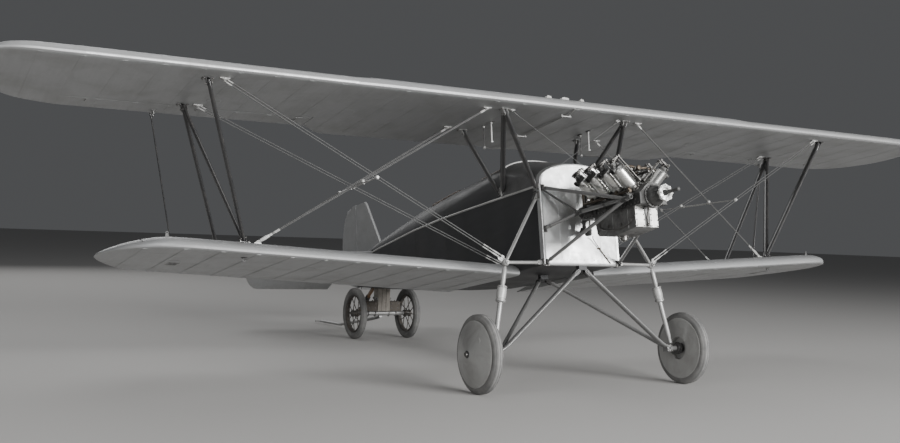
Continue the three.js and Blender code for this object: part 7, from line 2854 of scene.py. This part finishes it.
# %% Floor boards and the tube frame
def cockpit_frame():
    boards, frame_tubes = Form(), Form()
    for start, stop in ((0.10, 1.44), (1.46, 2.66)):
        for k in range(4):
            x = -0.27 + 0.18 * k
            ends = [vec(x - 0.088, y, floor_z(y) + 0.0008) for y in (start, stop)]
            low = [ends[0], ends[0] + PORT * 0.176, ends[1] + PORT * 0.176, ends[1]]
            boards.add(skin([low, [p + UP * 0.007 for p in low]]))
    stations = [0.05, 0.62, 1.45, 1.90, 2.68]

    def corner(y, s, high):
        half, bottom, shoulder, _ = body_at(y)
        return vec(s * (half - WALL - 0.014), y, shoulder - 0.02 if high else bottom + WALL + 0.016)

    for s in (-1, 1):
        for high in (False, True):
            frame_tubes.add(tube([corner(y, s, high) for y in stations], 0.0105, 12))
        for y in stations[1:]:
            frame_tubes.add(tube([corner(y, s, False), corner(y, s, True)], 0.009, 10))
        frame_tubes.add(tube([corner(0.62, s, False), corner(1.45, s, True)], 0.008, 10))
        frame_tubes.add(tube([corner(1.90, s, False), corner(2.68, s, True)], 0.008, 10))
    for y in (1.45, 2.68):
        frame_tubes.add(tube([corner(y, -1, False), corner(y, 1, False)], 0.009, 10))
    piece("cockpit_floor", boards, "panel_wood", sharp=30, bevel=0.001)
    piece("cockpit_frame", frame_tubes, "black_fabric", sharp=50, finish="engine_steel")


cockpit_frame()
print("cockpits drawn")

# %% [markdown]
# ## Aileron rods and horns
# A streamlined rod stands between the two wings on each side. Its head is pinned to a horn under the
# aileron, and its foot goes down through a framed slot in the lower wing.

# %% Aileron rods
def on_side(side):
    return lambda x, y, z: vec(side * x, y, z)


def aileron_rod(side_name, side):
    at = on_side(side)
    head, foot = at(3.780, 1.185, 2.280), at(3.560, 1.295, 0.9710)
    along = (foot - head).normalized()
    form = Form(tapered_strut(head + along * 0.030, foot, 0.013, 0.029, 0.05))
    form.add(turned([(0.0, -0.0105), (0.0115, -0.0105), (0.0115, 0.0105), (0.0, 0.0105)], head, PORT, 20))
    form.add(tube([head + along * 0.006, head + along * 0.045], [0.0085, 0.0075], 12))
    form.add(rod(head - PORT * (side * 0.032), head + PORT * (side * 0.015), 0.0035, 12))
    name = "aileron_rod_" + side_name
    piece(name + "_bar", form, "black_enamel", name, [name], sharp=50)
    horn = [(-0.028, 0.044), (0.030, 0.044), (0.016, 0.000), (0.012, -0.012), (-0.012, -0.012),
            (-0.016, 0.000)]
    plates, bolts = Form(slab(horn, 0.005, at(3.762, 1.185, 2.2795), AFT, UP)), Marks()
    station = upper_station(side * 3.762)
    for dy in (-0.060, 0.060):
        z = rib_low(station, 1.185 + dy) - 0.0015
        plates.add(slab(oval(0.060, 0.026), 0.003, at(3.762, 1.185 + dy * 0.8, z), PORT, AFT))
        for dx in (-0.018, 0.018):
            bolts.mark(at(3.762 + dx, 1.185 + dy * 0.8, z - 0.0015), (0, 0, -1))
    for x in (2.480, 3.420, 4.380):
        station = upper_station(side * x)
        z = rib_low(station, 0.985) - 0.0015
        plates.add(slab(oval(0.075, 0.030), 0.003, at(x, 0.998, z), AFT, PORT))
        for dy in (-0.022, 0.022):
            bolts.mark(at(x, 0.998 + dy, z - 0.0015), (0, 0, -1))
    body = "aileron_" + side_name
    piece(body + "_horn", plates, "silver_fabric", body, sharp=30, finish="grey_enamel")
    make(body + "_bolts", BOLTS, bolts, "silver_fabric", body, finish="wire_steel", Across=0.009,
         Height=0.004,
         Washer=0.007, Stub=0.002)


def slot_frame(side_name, side):
    frame_bars, bolts = Form(), Marks()
    x0, x1, y0, y1 = *SLOT_X, *SLOT_Y
    for surface, face in ((rib_top, 1), (rib_low, -1)):
        def corner(x, y):
            return vec(side * x, y, surface(lower_station(side * x), y) + 0.0012 * face)
        for (xa, ya), (xb, yb) in (((x0 - 0.009, y0), (x0 - 0.009, y1)), ((x1 + 0.009, y0), (x1 + 0.009, y1)),
                                   ((x0 - 0.018, y0 - 0.009), (x1 + 0.018, y0 - 0.009)),
                                   ((x0 - 0.018, y1 + 0.009), (x1 + 0.018, y1 + 0.009))):
            a, b = corner(xa, ya), corner(xb, yb)
            frame_bars.add(tube([a, b], 0.0032, 8, hint=UP, flat=2.6))
            bolts.line(a + UP * (0.003 * face), b + UP * (0.003 * face), 0.035, (0, 0, face))
    name = "lower_wing_" + side_name
    piece(name + "_slot_frame", frame_bars, "silver_fabric", sharp=40, finish="grey_enamel")
    make(name + "_slot_screws", DOMES, bolts, "silver_fabric", finish="wire_steel", Length=0.005, Width=0.005,
         Height=0.0015)


for side_name, side in SIDES.items():
    aileron_rod(side_name, side)
    slot_frame(side_name, side)

# %% [markdown]
# ## Under the centre section
# A light pipe runs back along the middle of the upper wing from its front edge to the rear spar, through
# a saddle on each spar. Two short posts hang on each side, and thin wires cross between the struts.

# %% Centre-section fittings
def centre_section():
    light, dark, wires_form, saddles, bolts = Form(), Form(), Form(), Form(), Marks()
    low = [vec(-0.030 + 0.02 * k / 8, y, rib_low(upper_station(0.0), y) - 0.013) for k,
           y in enumerate(np.linspace(-0.02, 0.84, 9))]
    front = [vec(-0.046, -0.150, UPPER_Z + 0.004), vec(-0.040, -0.10, UPPER_Z - 0.012)]
    light.add(tube(bend([*front, *low], 4), 0.0050, 12))
    for y in (0.035, 0.842):
        saddles.add(slab(oval(0.125, 0.030), 0.009, vec(-0.025, y, UPPER_Z - 0.0235), PORT, AFT))
        for x in (-0.072, 0.022):
            saddles.add(rod((x, y, UPPER_Z - 0.027), (x, y, UPPER_Z - 0.0005), 0.006, 12))
            bolts.mark((x, y, UPPER_Z - 0.028), (0, 0, -1))
    for side in SIDES.values():
        at = on_side(side)
        post_top, post_foot = at(0.598, 0.510, UPPER_Z - 0.001), at(0.598, 0.518, 2.112)
        light.add(tube([post_top, post_foot], 0.0085, 14))
        for p in (post_top - UP * 0.010, post_foot):
            light.add(turned([(0.0, -0.009), (0.015, -0.008), (0.017, 0.0), (0.015, 0.008), (0.0, 0.009)], p,
                             UP, 18))
        rear_top, rear_foot = at(0.600, 0.655, UPPER_Z - 0.001), at(0.600, 0.660, 2.084)
        dark.add(tube([rear_top, rear_foot], 0.0040, 10))
        for p in (rear_top - UP * 0.012, rear_foot):
            light.add(ball(p, 0.0155, 14))
        strut = at(0.5965, 0.3630, 2.010)
        light.add(tube([rear_foot, rear_foot.lerp(strut, 0.5) - UP * 0.006, strut], 0.0055, 10))
        for y in (0.500, 0.650):
            dark.add(slab(oval(0.070, 0.034), 0.004, at(0.592, y, UPPER_Z - 0.003), AFT, PORT))
            for dy in (-0.024, 0.024):
                bolts.mark(at(0.592, y + dy, UPPER_Z - 0.005), (0, 0, -1))
        top, foot = at(0.632, 0.060, UPPER_Z - 0.014), at(-0.440, 0.010, 1.600)
        along = (foot - top).normalized()
        thimble(wires_form, top, along)
        thimble(wires_form, foot, -along)
        turnbuckle(wires_form, top.lerp(foot, 0.86), along)
        wires_form.add(tube([top + along * 0.03, foot - along * 0.03], 0.0024, 8))
        lug(saddles, top, foot, AFT)
        saddles.add(block(top + vec(-0.026, -0.014, 0.004), top + vec(0.026, 0.014, 0.0135)))
    for x, wide in ((-0.308, 0.030), (-0.118, 0.046), (0.083, 0.022)):
        station = upper_station(x)
        base = vec(x, -0.085, rib_top(station, -0.085))
        saddles.add(slab([(-wide, -0.004), (wide, -0.004), (wide * 0.7, 0.016), (-wide * 0.7, 0.016)], 0.040,
                         base, PORT, UP))
        saddles.add(turned([(0.0, 0.014), (0.011, 0.014), (0.011, 0.024), (0.0, 0.026)], base, UP, 14))
    seam = Marks()
    row = upper_station(0.0)
    for height, face in ((rib_top, 1), (rib_low, -1)):
        seam.path([vec(0.020, y, height(row, y) + 0.0009 * face)
                   for y in np.linspace(row["front"] + 0.02, row["rear"] - 0.01, 24)])
    make("upper_wing_middle_tape", TAPES, seam, "silver_fabric", Width=0.095)
    piece("centre_pipe_and_posts", light, "wire_steel", sharp=45, finish="side_strip")
    piece("centre_dark_posts", dark, "black_enamel", sharp=45)
    piece("centre_saddles", saddles, "wire_steel", sharp=35, bevel=0.001, finish="side_strip")
    piece("centre_cross_wires", wires_form, "wire_steel", sharp=45)
    make("centre_bolts", BOLTS, bolts, Across=0.010, Height=0.005, Washer=0.008, Stub=0.003)


centre_section()

# %% [markdown]
# ## Small things on the wings
# Round inspection rings are doped on under the wings, where the bell cranks and spar bolts are reached.
# Drain grommets sit near the rear edge of every bay. On each lower wing one eye stands on the upper
# side towards the tip and one hangs below. The grommets are one dome repeated by Geometry Nodes.

# %% Inspection rings, grommets and tie-down eyes
def wing_smalls(side_name, side):
    rings, grommets, eyes = Form(), Marks(), Form()
    at = on_side(side)
    for x, y, station in ((3.35, 0.68, upper_station), (2.10, 0.62, upper_station),
                          (3.60, 1.12, lower_station),
                          (2.40, 0.95, lower_station), (0.85, 1.00, lower_station)):
        row = station(side * x)
        slope = 0.058 * side if station is lower_station else 0.0
        centre = at(x, y, rib_low(row, y) - 0.0004)
        normal = vec(slope, 0, -1).normalized()
        rings.add(turned([(0.0, 0.0), (0.062, 0.0), (0.064, 0.0008), (0.062, 0.0020), (0.052, 0.0024),
                          (0.050, 0.0012),
                          (0.0, 0.0012)], centre, normal, 32))
    for station, start, stop in ((upper_station, 0.3, 5.0), (lower_station, 0.75, 4.0)):
        for x in rib_numbers(start, stop):
            row = station(side * (x + 0.1525))
            y = row["rear"] - 0.045
            grommets.mark(vec(side * (x + 0.1525), y, rib_low(row, y) - 0.0003), (0, 0, -1))
    row = lower_station(side * 3.780)
    base = at(3.780, 0.616, rib_top(row, 0.616))
    eyes.add(slab(oval(0.064, 0.030), 0.004, base + UP * 0.001, PORT, AFT))
    eyes.add(slab([(-0.016, 0.0), (0.016, 0.0), (0.010, 0.034), (-0.010, 0.034)], 0.005, base, PORT, UP))
    eyes.add(turned_ring([(0.008, -0.004), (0.013, -0.004), (0.013, 0.004), (0.008, 0.004)],
                         base + UP * 0.036, AFT, 18))
    base = at(3.120, 0.616, rib_low(lower_station(side * 3.120), 0.616))
    eyes.add(turned([(0.0, -0.001), (0.028, -0.001), (0.028, 0.003), (0.0, 0.003)], base, (0, 0, -1), 20))
    eyes.add(turned_ring([(0.010, -0.0035), (0.017, -0.0035), (0.017, 0.0035), (0.010, 0.0035)],
                         base - UP * 0.018, AFT, 18))
    name = "wings_" + side_name
    piece(name + "_inspection_rings", rings, "silver_fabric", sharp=30)
    make(name + "_grommets", DOMES, grommets, "silver_fabric", Length=0.016, Width=0.016, Height=0.0022)
    piece(name + "_tie_down_eyes", eyes, "wire_steel", sharp=40)


for side_name, side in SIDES.items():
    wing_smalls(side_name, side)
print("wing details drawn")

# %% [markdown]
# ## Tail details
# The flat tail surfaces get the same tapes and knots as the wings, laid here in each surface's own
# frame. Struts of streamline tube brace the tailplane, and an ash skid with an iron shoe hangs below.

# %% Tapes on the tail
def flat_rows(name, rows, body, place_of, half_thick):
    """rows hold a span place and the front and rear ends of its tape."""
    tapes, knots = Marks(), Marks()
    for s, front, rear in rows:
        if rear - front < 0.08:
            continue
        for face in (-1, 1):
            lay = face * (half_thick + 0.0003)
            ys = np.linspace(front, rear, 9)
            normal = (place_of(s, ys[0], face * 0.1) - place_of(s, ys[0], 0.0)).normalized()
            across = (place_of(s + 0.1, ys[0], 0.0) - place_of(s, ys[0], 0.0)).normalized()
            tapes.path([place_of(s, y, lay) for y in ys], across)
            for y in np.arange(front + 0.04, rear - 0.02, STITCH_PITCH):
                knots.mark(place_of(s, y, lay + 0.0004 * face), normal, across.cross(normal))
    make(name + "_rib_tapes", TAPES, tapes, "silver_fabric", body, Width=0.036)
    make(name + "_rib_knots", DOMES, knots, "silver_fabric", body, Length=0.014, Width=0.0045, Height=0.0016)


tail_ribs = [k * 0.3 for k in range(-5, 6)]
flat_rows("tailplane", [(x, tailplane_edges(x)[0] + 0.03, 5.165) for x in tail_ribs if abs(x) > 0.1],
          "airframe",
          lambda s, y, h: vec(s, y, TAIL_Z + h), 0.023)
flat_rows("elevator", [(x, 0.04, elevator_edges(x)[1] - 0.012) for x in tail_ribs if abs(x) > 0.25],
          "elevator",
          elevator_place, 0.021)
flat_rows("fin", [(z, fin_edges(z)[0] + 0.03, 5.165) for z in (1.8, 2.1)], "airframe",
          lambda s, y, h: vec(h, y, s), 0.020)
flat_rows("rudder", [(z, 0.03, rudder_edges(z)[1] - 0.03) for z in (1.5, 1.8, 2.1)], "rudder",
          lambda s, y, h: vec(h, TAIL_Y + y, s), 0.020)


# %% Tail struts, horns and skid
def tail_fittings():
    for side_name, side in SIDES.items():
        at = on_side(side)
        bars, plates, pins = Form(), Form(), Marks()
        foot, top = at(0.040, 5.020, 1.215), at(0.760, 5.040, 1.5515)
        bars.add(tapered_strut(foot, top, 0.020, 0.044, 0.05))
        along = (top - foot).normalized()
        pinned_end(plates, pins, top - along * 0.030, foot, 0.020, AFT)
        pinned_end(plates, pins, foot + along * 0.006, top, 0.020, AFT)
        plates.add(slab(oval(0.09, 0.040), 0.003, top + vec(0, 0, -0.0012), PORT, AFT))
        for dx in (-0.030, 0.030):
            pins.mark(top + vec(dx, 0, -0.0028), (0, 0, -1))
        name = "tailplane_strut_" + side_name
        piece(name + "_bar", bars, "black_enamel", replaces=[name], sharp=50)
        piece(name + "_plates", plates, "black_enamel", sharp=30, finish="grey_enamel")
        make(name + "_bolts", BOLTS, pins, Across=0.009, Height=0.004, Washer=0.007, Stub=0.002)
    horns, rudder_horn, bolts, rudder_bolts = Form(), Form(), Marks(), Marks()
    for side in SIDES.values():
        x = side * 0.335
        shape = [(0.010, -0.018), (0.075, -0.018), (0.040, -0.135), (0.026, -0.135)]
        for face in (-1, 1):
            ring = [[elevator_place(x + dx, y, -h * face) for y, h in shape] for dx in (-0.002, 0.002)]
            horns.add(skin(ring))
            bolts.mark(elevator_place(x + side * 0.004, 0.05, 0.021 * face),
                       elevator_place(x, 0.05, face) - elevator_place(x, 0.05, 0))
        for s in (-1, 1):
            rudder_horn.add(slab([(0.016 * s, 0.0), (0.016 * s, 0.070), (0.150 * s, 0.030),
                                  (0.150 * s, 0.016)], 0.004,
                                 vec(0, TAIL_Y, 1.430), PORT, AFT))
            rudder_bolts.mark(vec(0.135 * s, TAIL_Y + 0.023, 1.432), (0, 0, 1))
    piece("elevator_horns", horns, "silver_fabric", "elevator", sharp=30, finish="grey_enamel")
    make("elevator_bolts", BOLTS, bolts, "silver_fabric", "elevator", finish="wire_steel", Across=0.008,
         Height=0.004,
         Washer=0.006, Stub=0.002)
    piece("rudder_horn", rudder_horn, "silver_fabric", "rudder", sharp=30, finish="grey_enamel")
    make("rudder_bolts", BOLTS, rudder_bolts, "silver_fabric", "rudder", finish="wire_steel", Across=0.008,
         Height=0.004, Washer=0.006, Stub=0.002)
    wood, iron, cord, pins = Form(), Form(), Form(), Marks()
    top, end = vec(0, 4.690, 1.160), vec(0, 5.236, 0.842)
    along = (end - top).normalized()
    up = PORT.cross(along).normalized()
    rings = []
    for k in range(13):
        g = k / 12
        deep, wide = 0.026 - 0.008 * g, 0.019 - 0.002 * g
        p = top.lerp(end, g) + up * (0.012 * math.sin(math.pi * g) - 0.006)
        rings.append([p + PORT * (wide * squarish(math.cos(t), 0.5))
                      + up * (deep * squarish(math.sin(t), 0.5)) for t in turns(20, 0.15)])
    wood.add(skin(rings))
    iron.add(tube([end - along * 0.075, end - along * 0.01, end + along * 0.018], [0.0225, 0.0245, 0.012],
                  18))
    iron.add(slab(oval(0.150, 0.036), 0.005, end - along * 0.11 + up * 0.0225, along, PORT))
    iron.add(rod(top + vec(-0.030, 0.05, -0.03), top + vec(0.030, 0.05, -0.03), 0.008, 14))
    for dy in (-0.045, 0.0, 0.045):
        pins.mark(end - along * (0.11 + dy) + up * 0.025, up)
    for k in range(9):
        p = top + along * (0.245 + 0.0105 * k)
        loop = [p + PORT * (0.026 * math.cos(t)) + up * (0.034 * math.sin(t)) for t in turns(18)]
        cord.add(tube([*loop, loop[0]], 0.0055, 8))
    piece("tail_skid_ash", wood, "panel_wood", replaces=["tail_skid"], sharp=60)
    piece("tail_skid_iron", iron, "panel_wood", sharp=40, finish="dolly_iron")
    piece("tail_skid_binding", cord, "panel_wood", sharp=60, finish="black_rubber")
    make("tail_skid_bolts", BOLTS, pins, "panel_wood", finish="dolly_iron", Across=0.011, Height=0.004,
         Washer=0.009)


tail_fittings()

# %% [markdown]
# ## Lacing on the body
# The belly cloth is laced shut along the middle, so that the controls inside can be reached, and a row
# of stitches runs low along each side. One stitch shape is repeated along the three rows.

# %% Body lacing
BELLY_STITCH_PITCH = 0.055
SIDE_STITCH_PITCH = 0.06
SIDE_STITCH_HEIGHT = 0.045
belly = Marks()
for y in np.arange(2.86, 5.10, BELLY_STITCH_PITCH):
    belly.mark((0.0, y, body_at(y)[1] - 0.0004), (0, 0, -1), PORT)
for s in (-1, 1):
    for y in np.arange(2.90, 4.95, SIDE_STITCH_PITCH):
        half, bottom = body_at(y)[:2]
        belly.mark((s * (half + 0.0006), y, bottom + SIDE_STITCH_HEIGHT), (s, 0, 0), UP)
make("body_lacing", DOMES, belly, "black_fabric", finish="seat_leather", Length=0.022, Width=0.005,
     Height=0.0022)
print("tail and body details drawn")
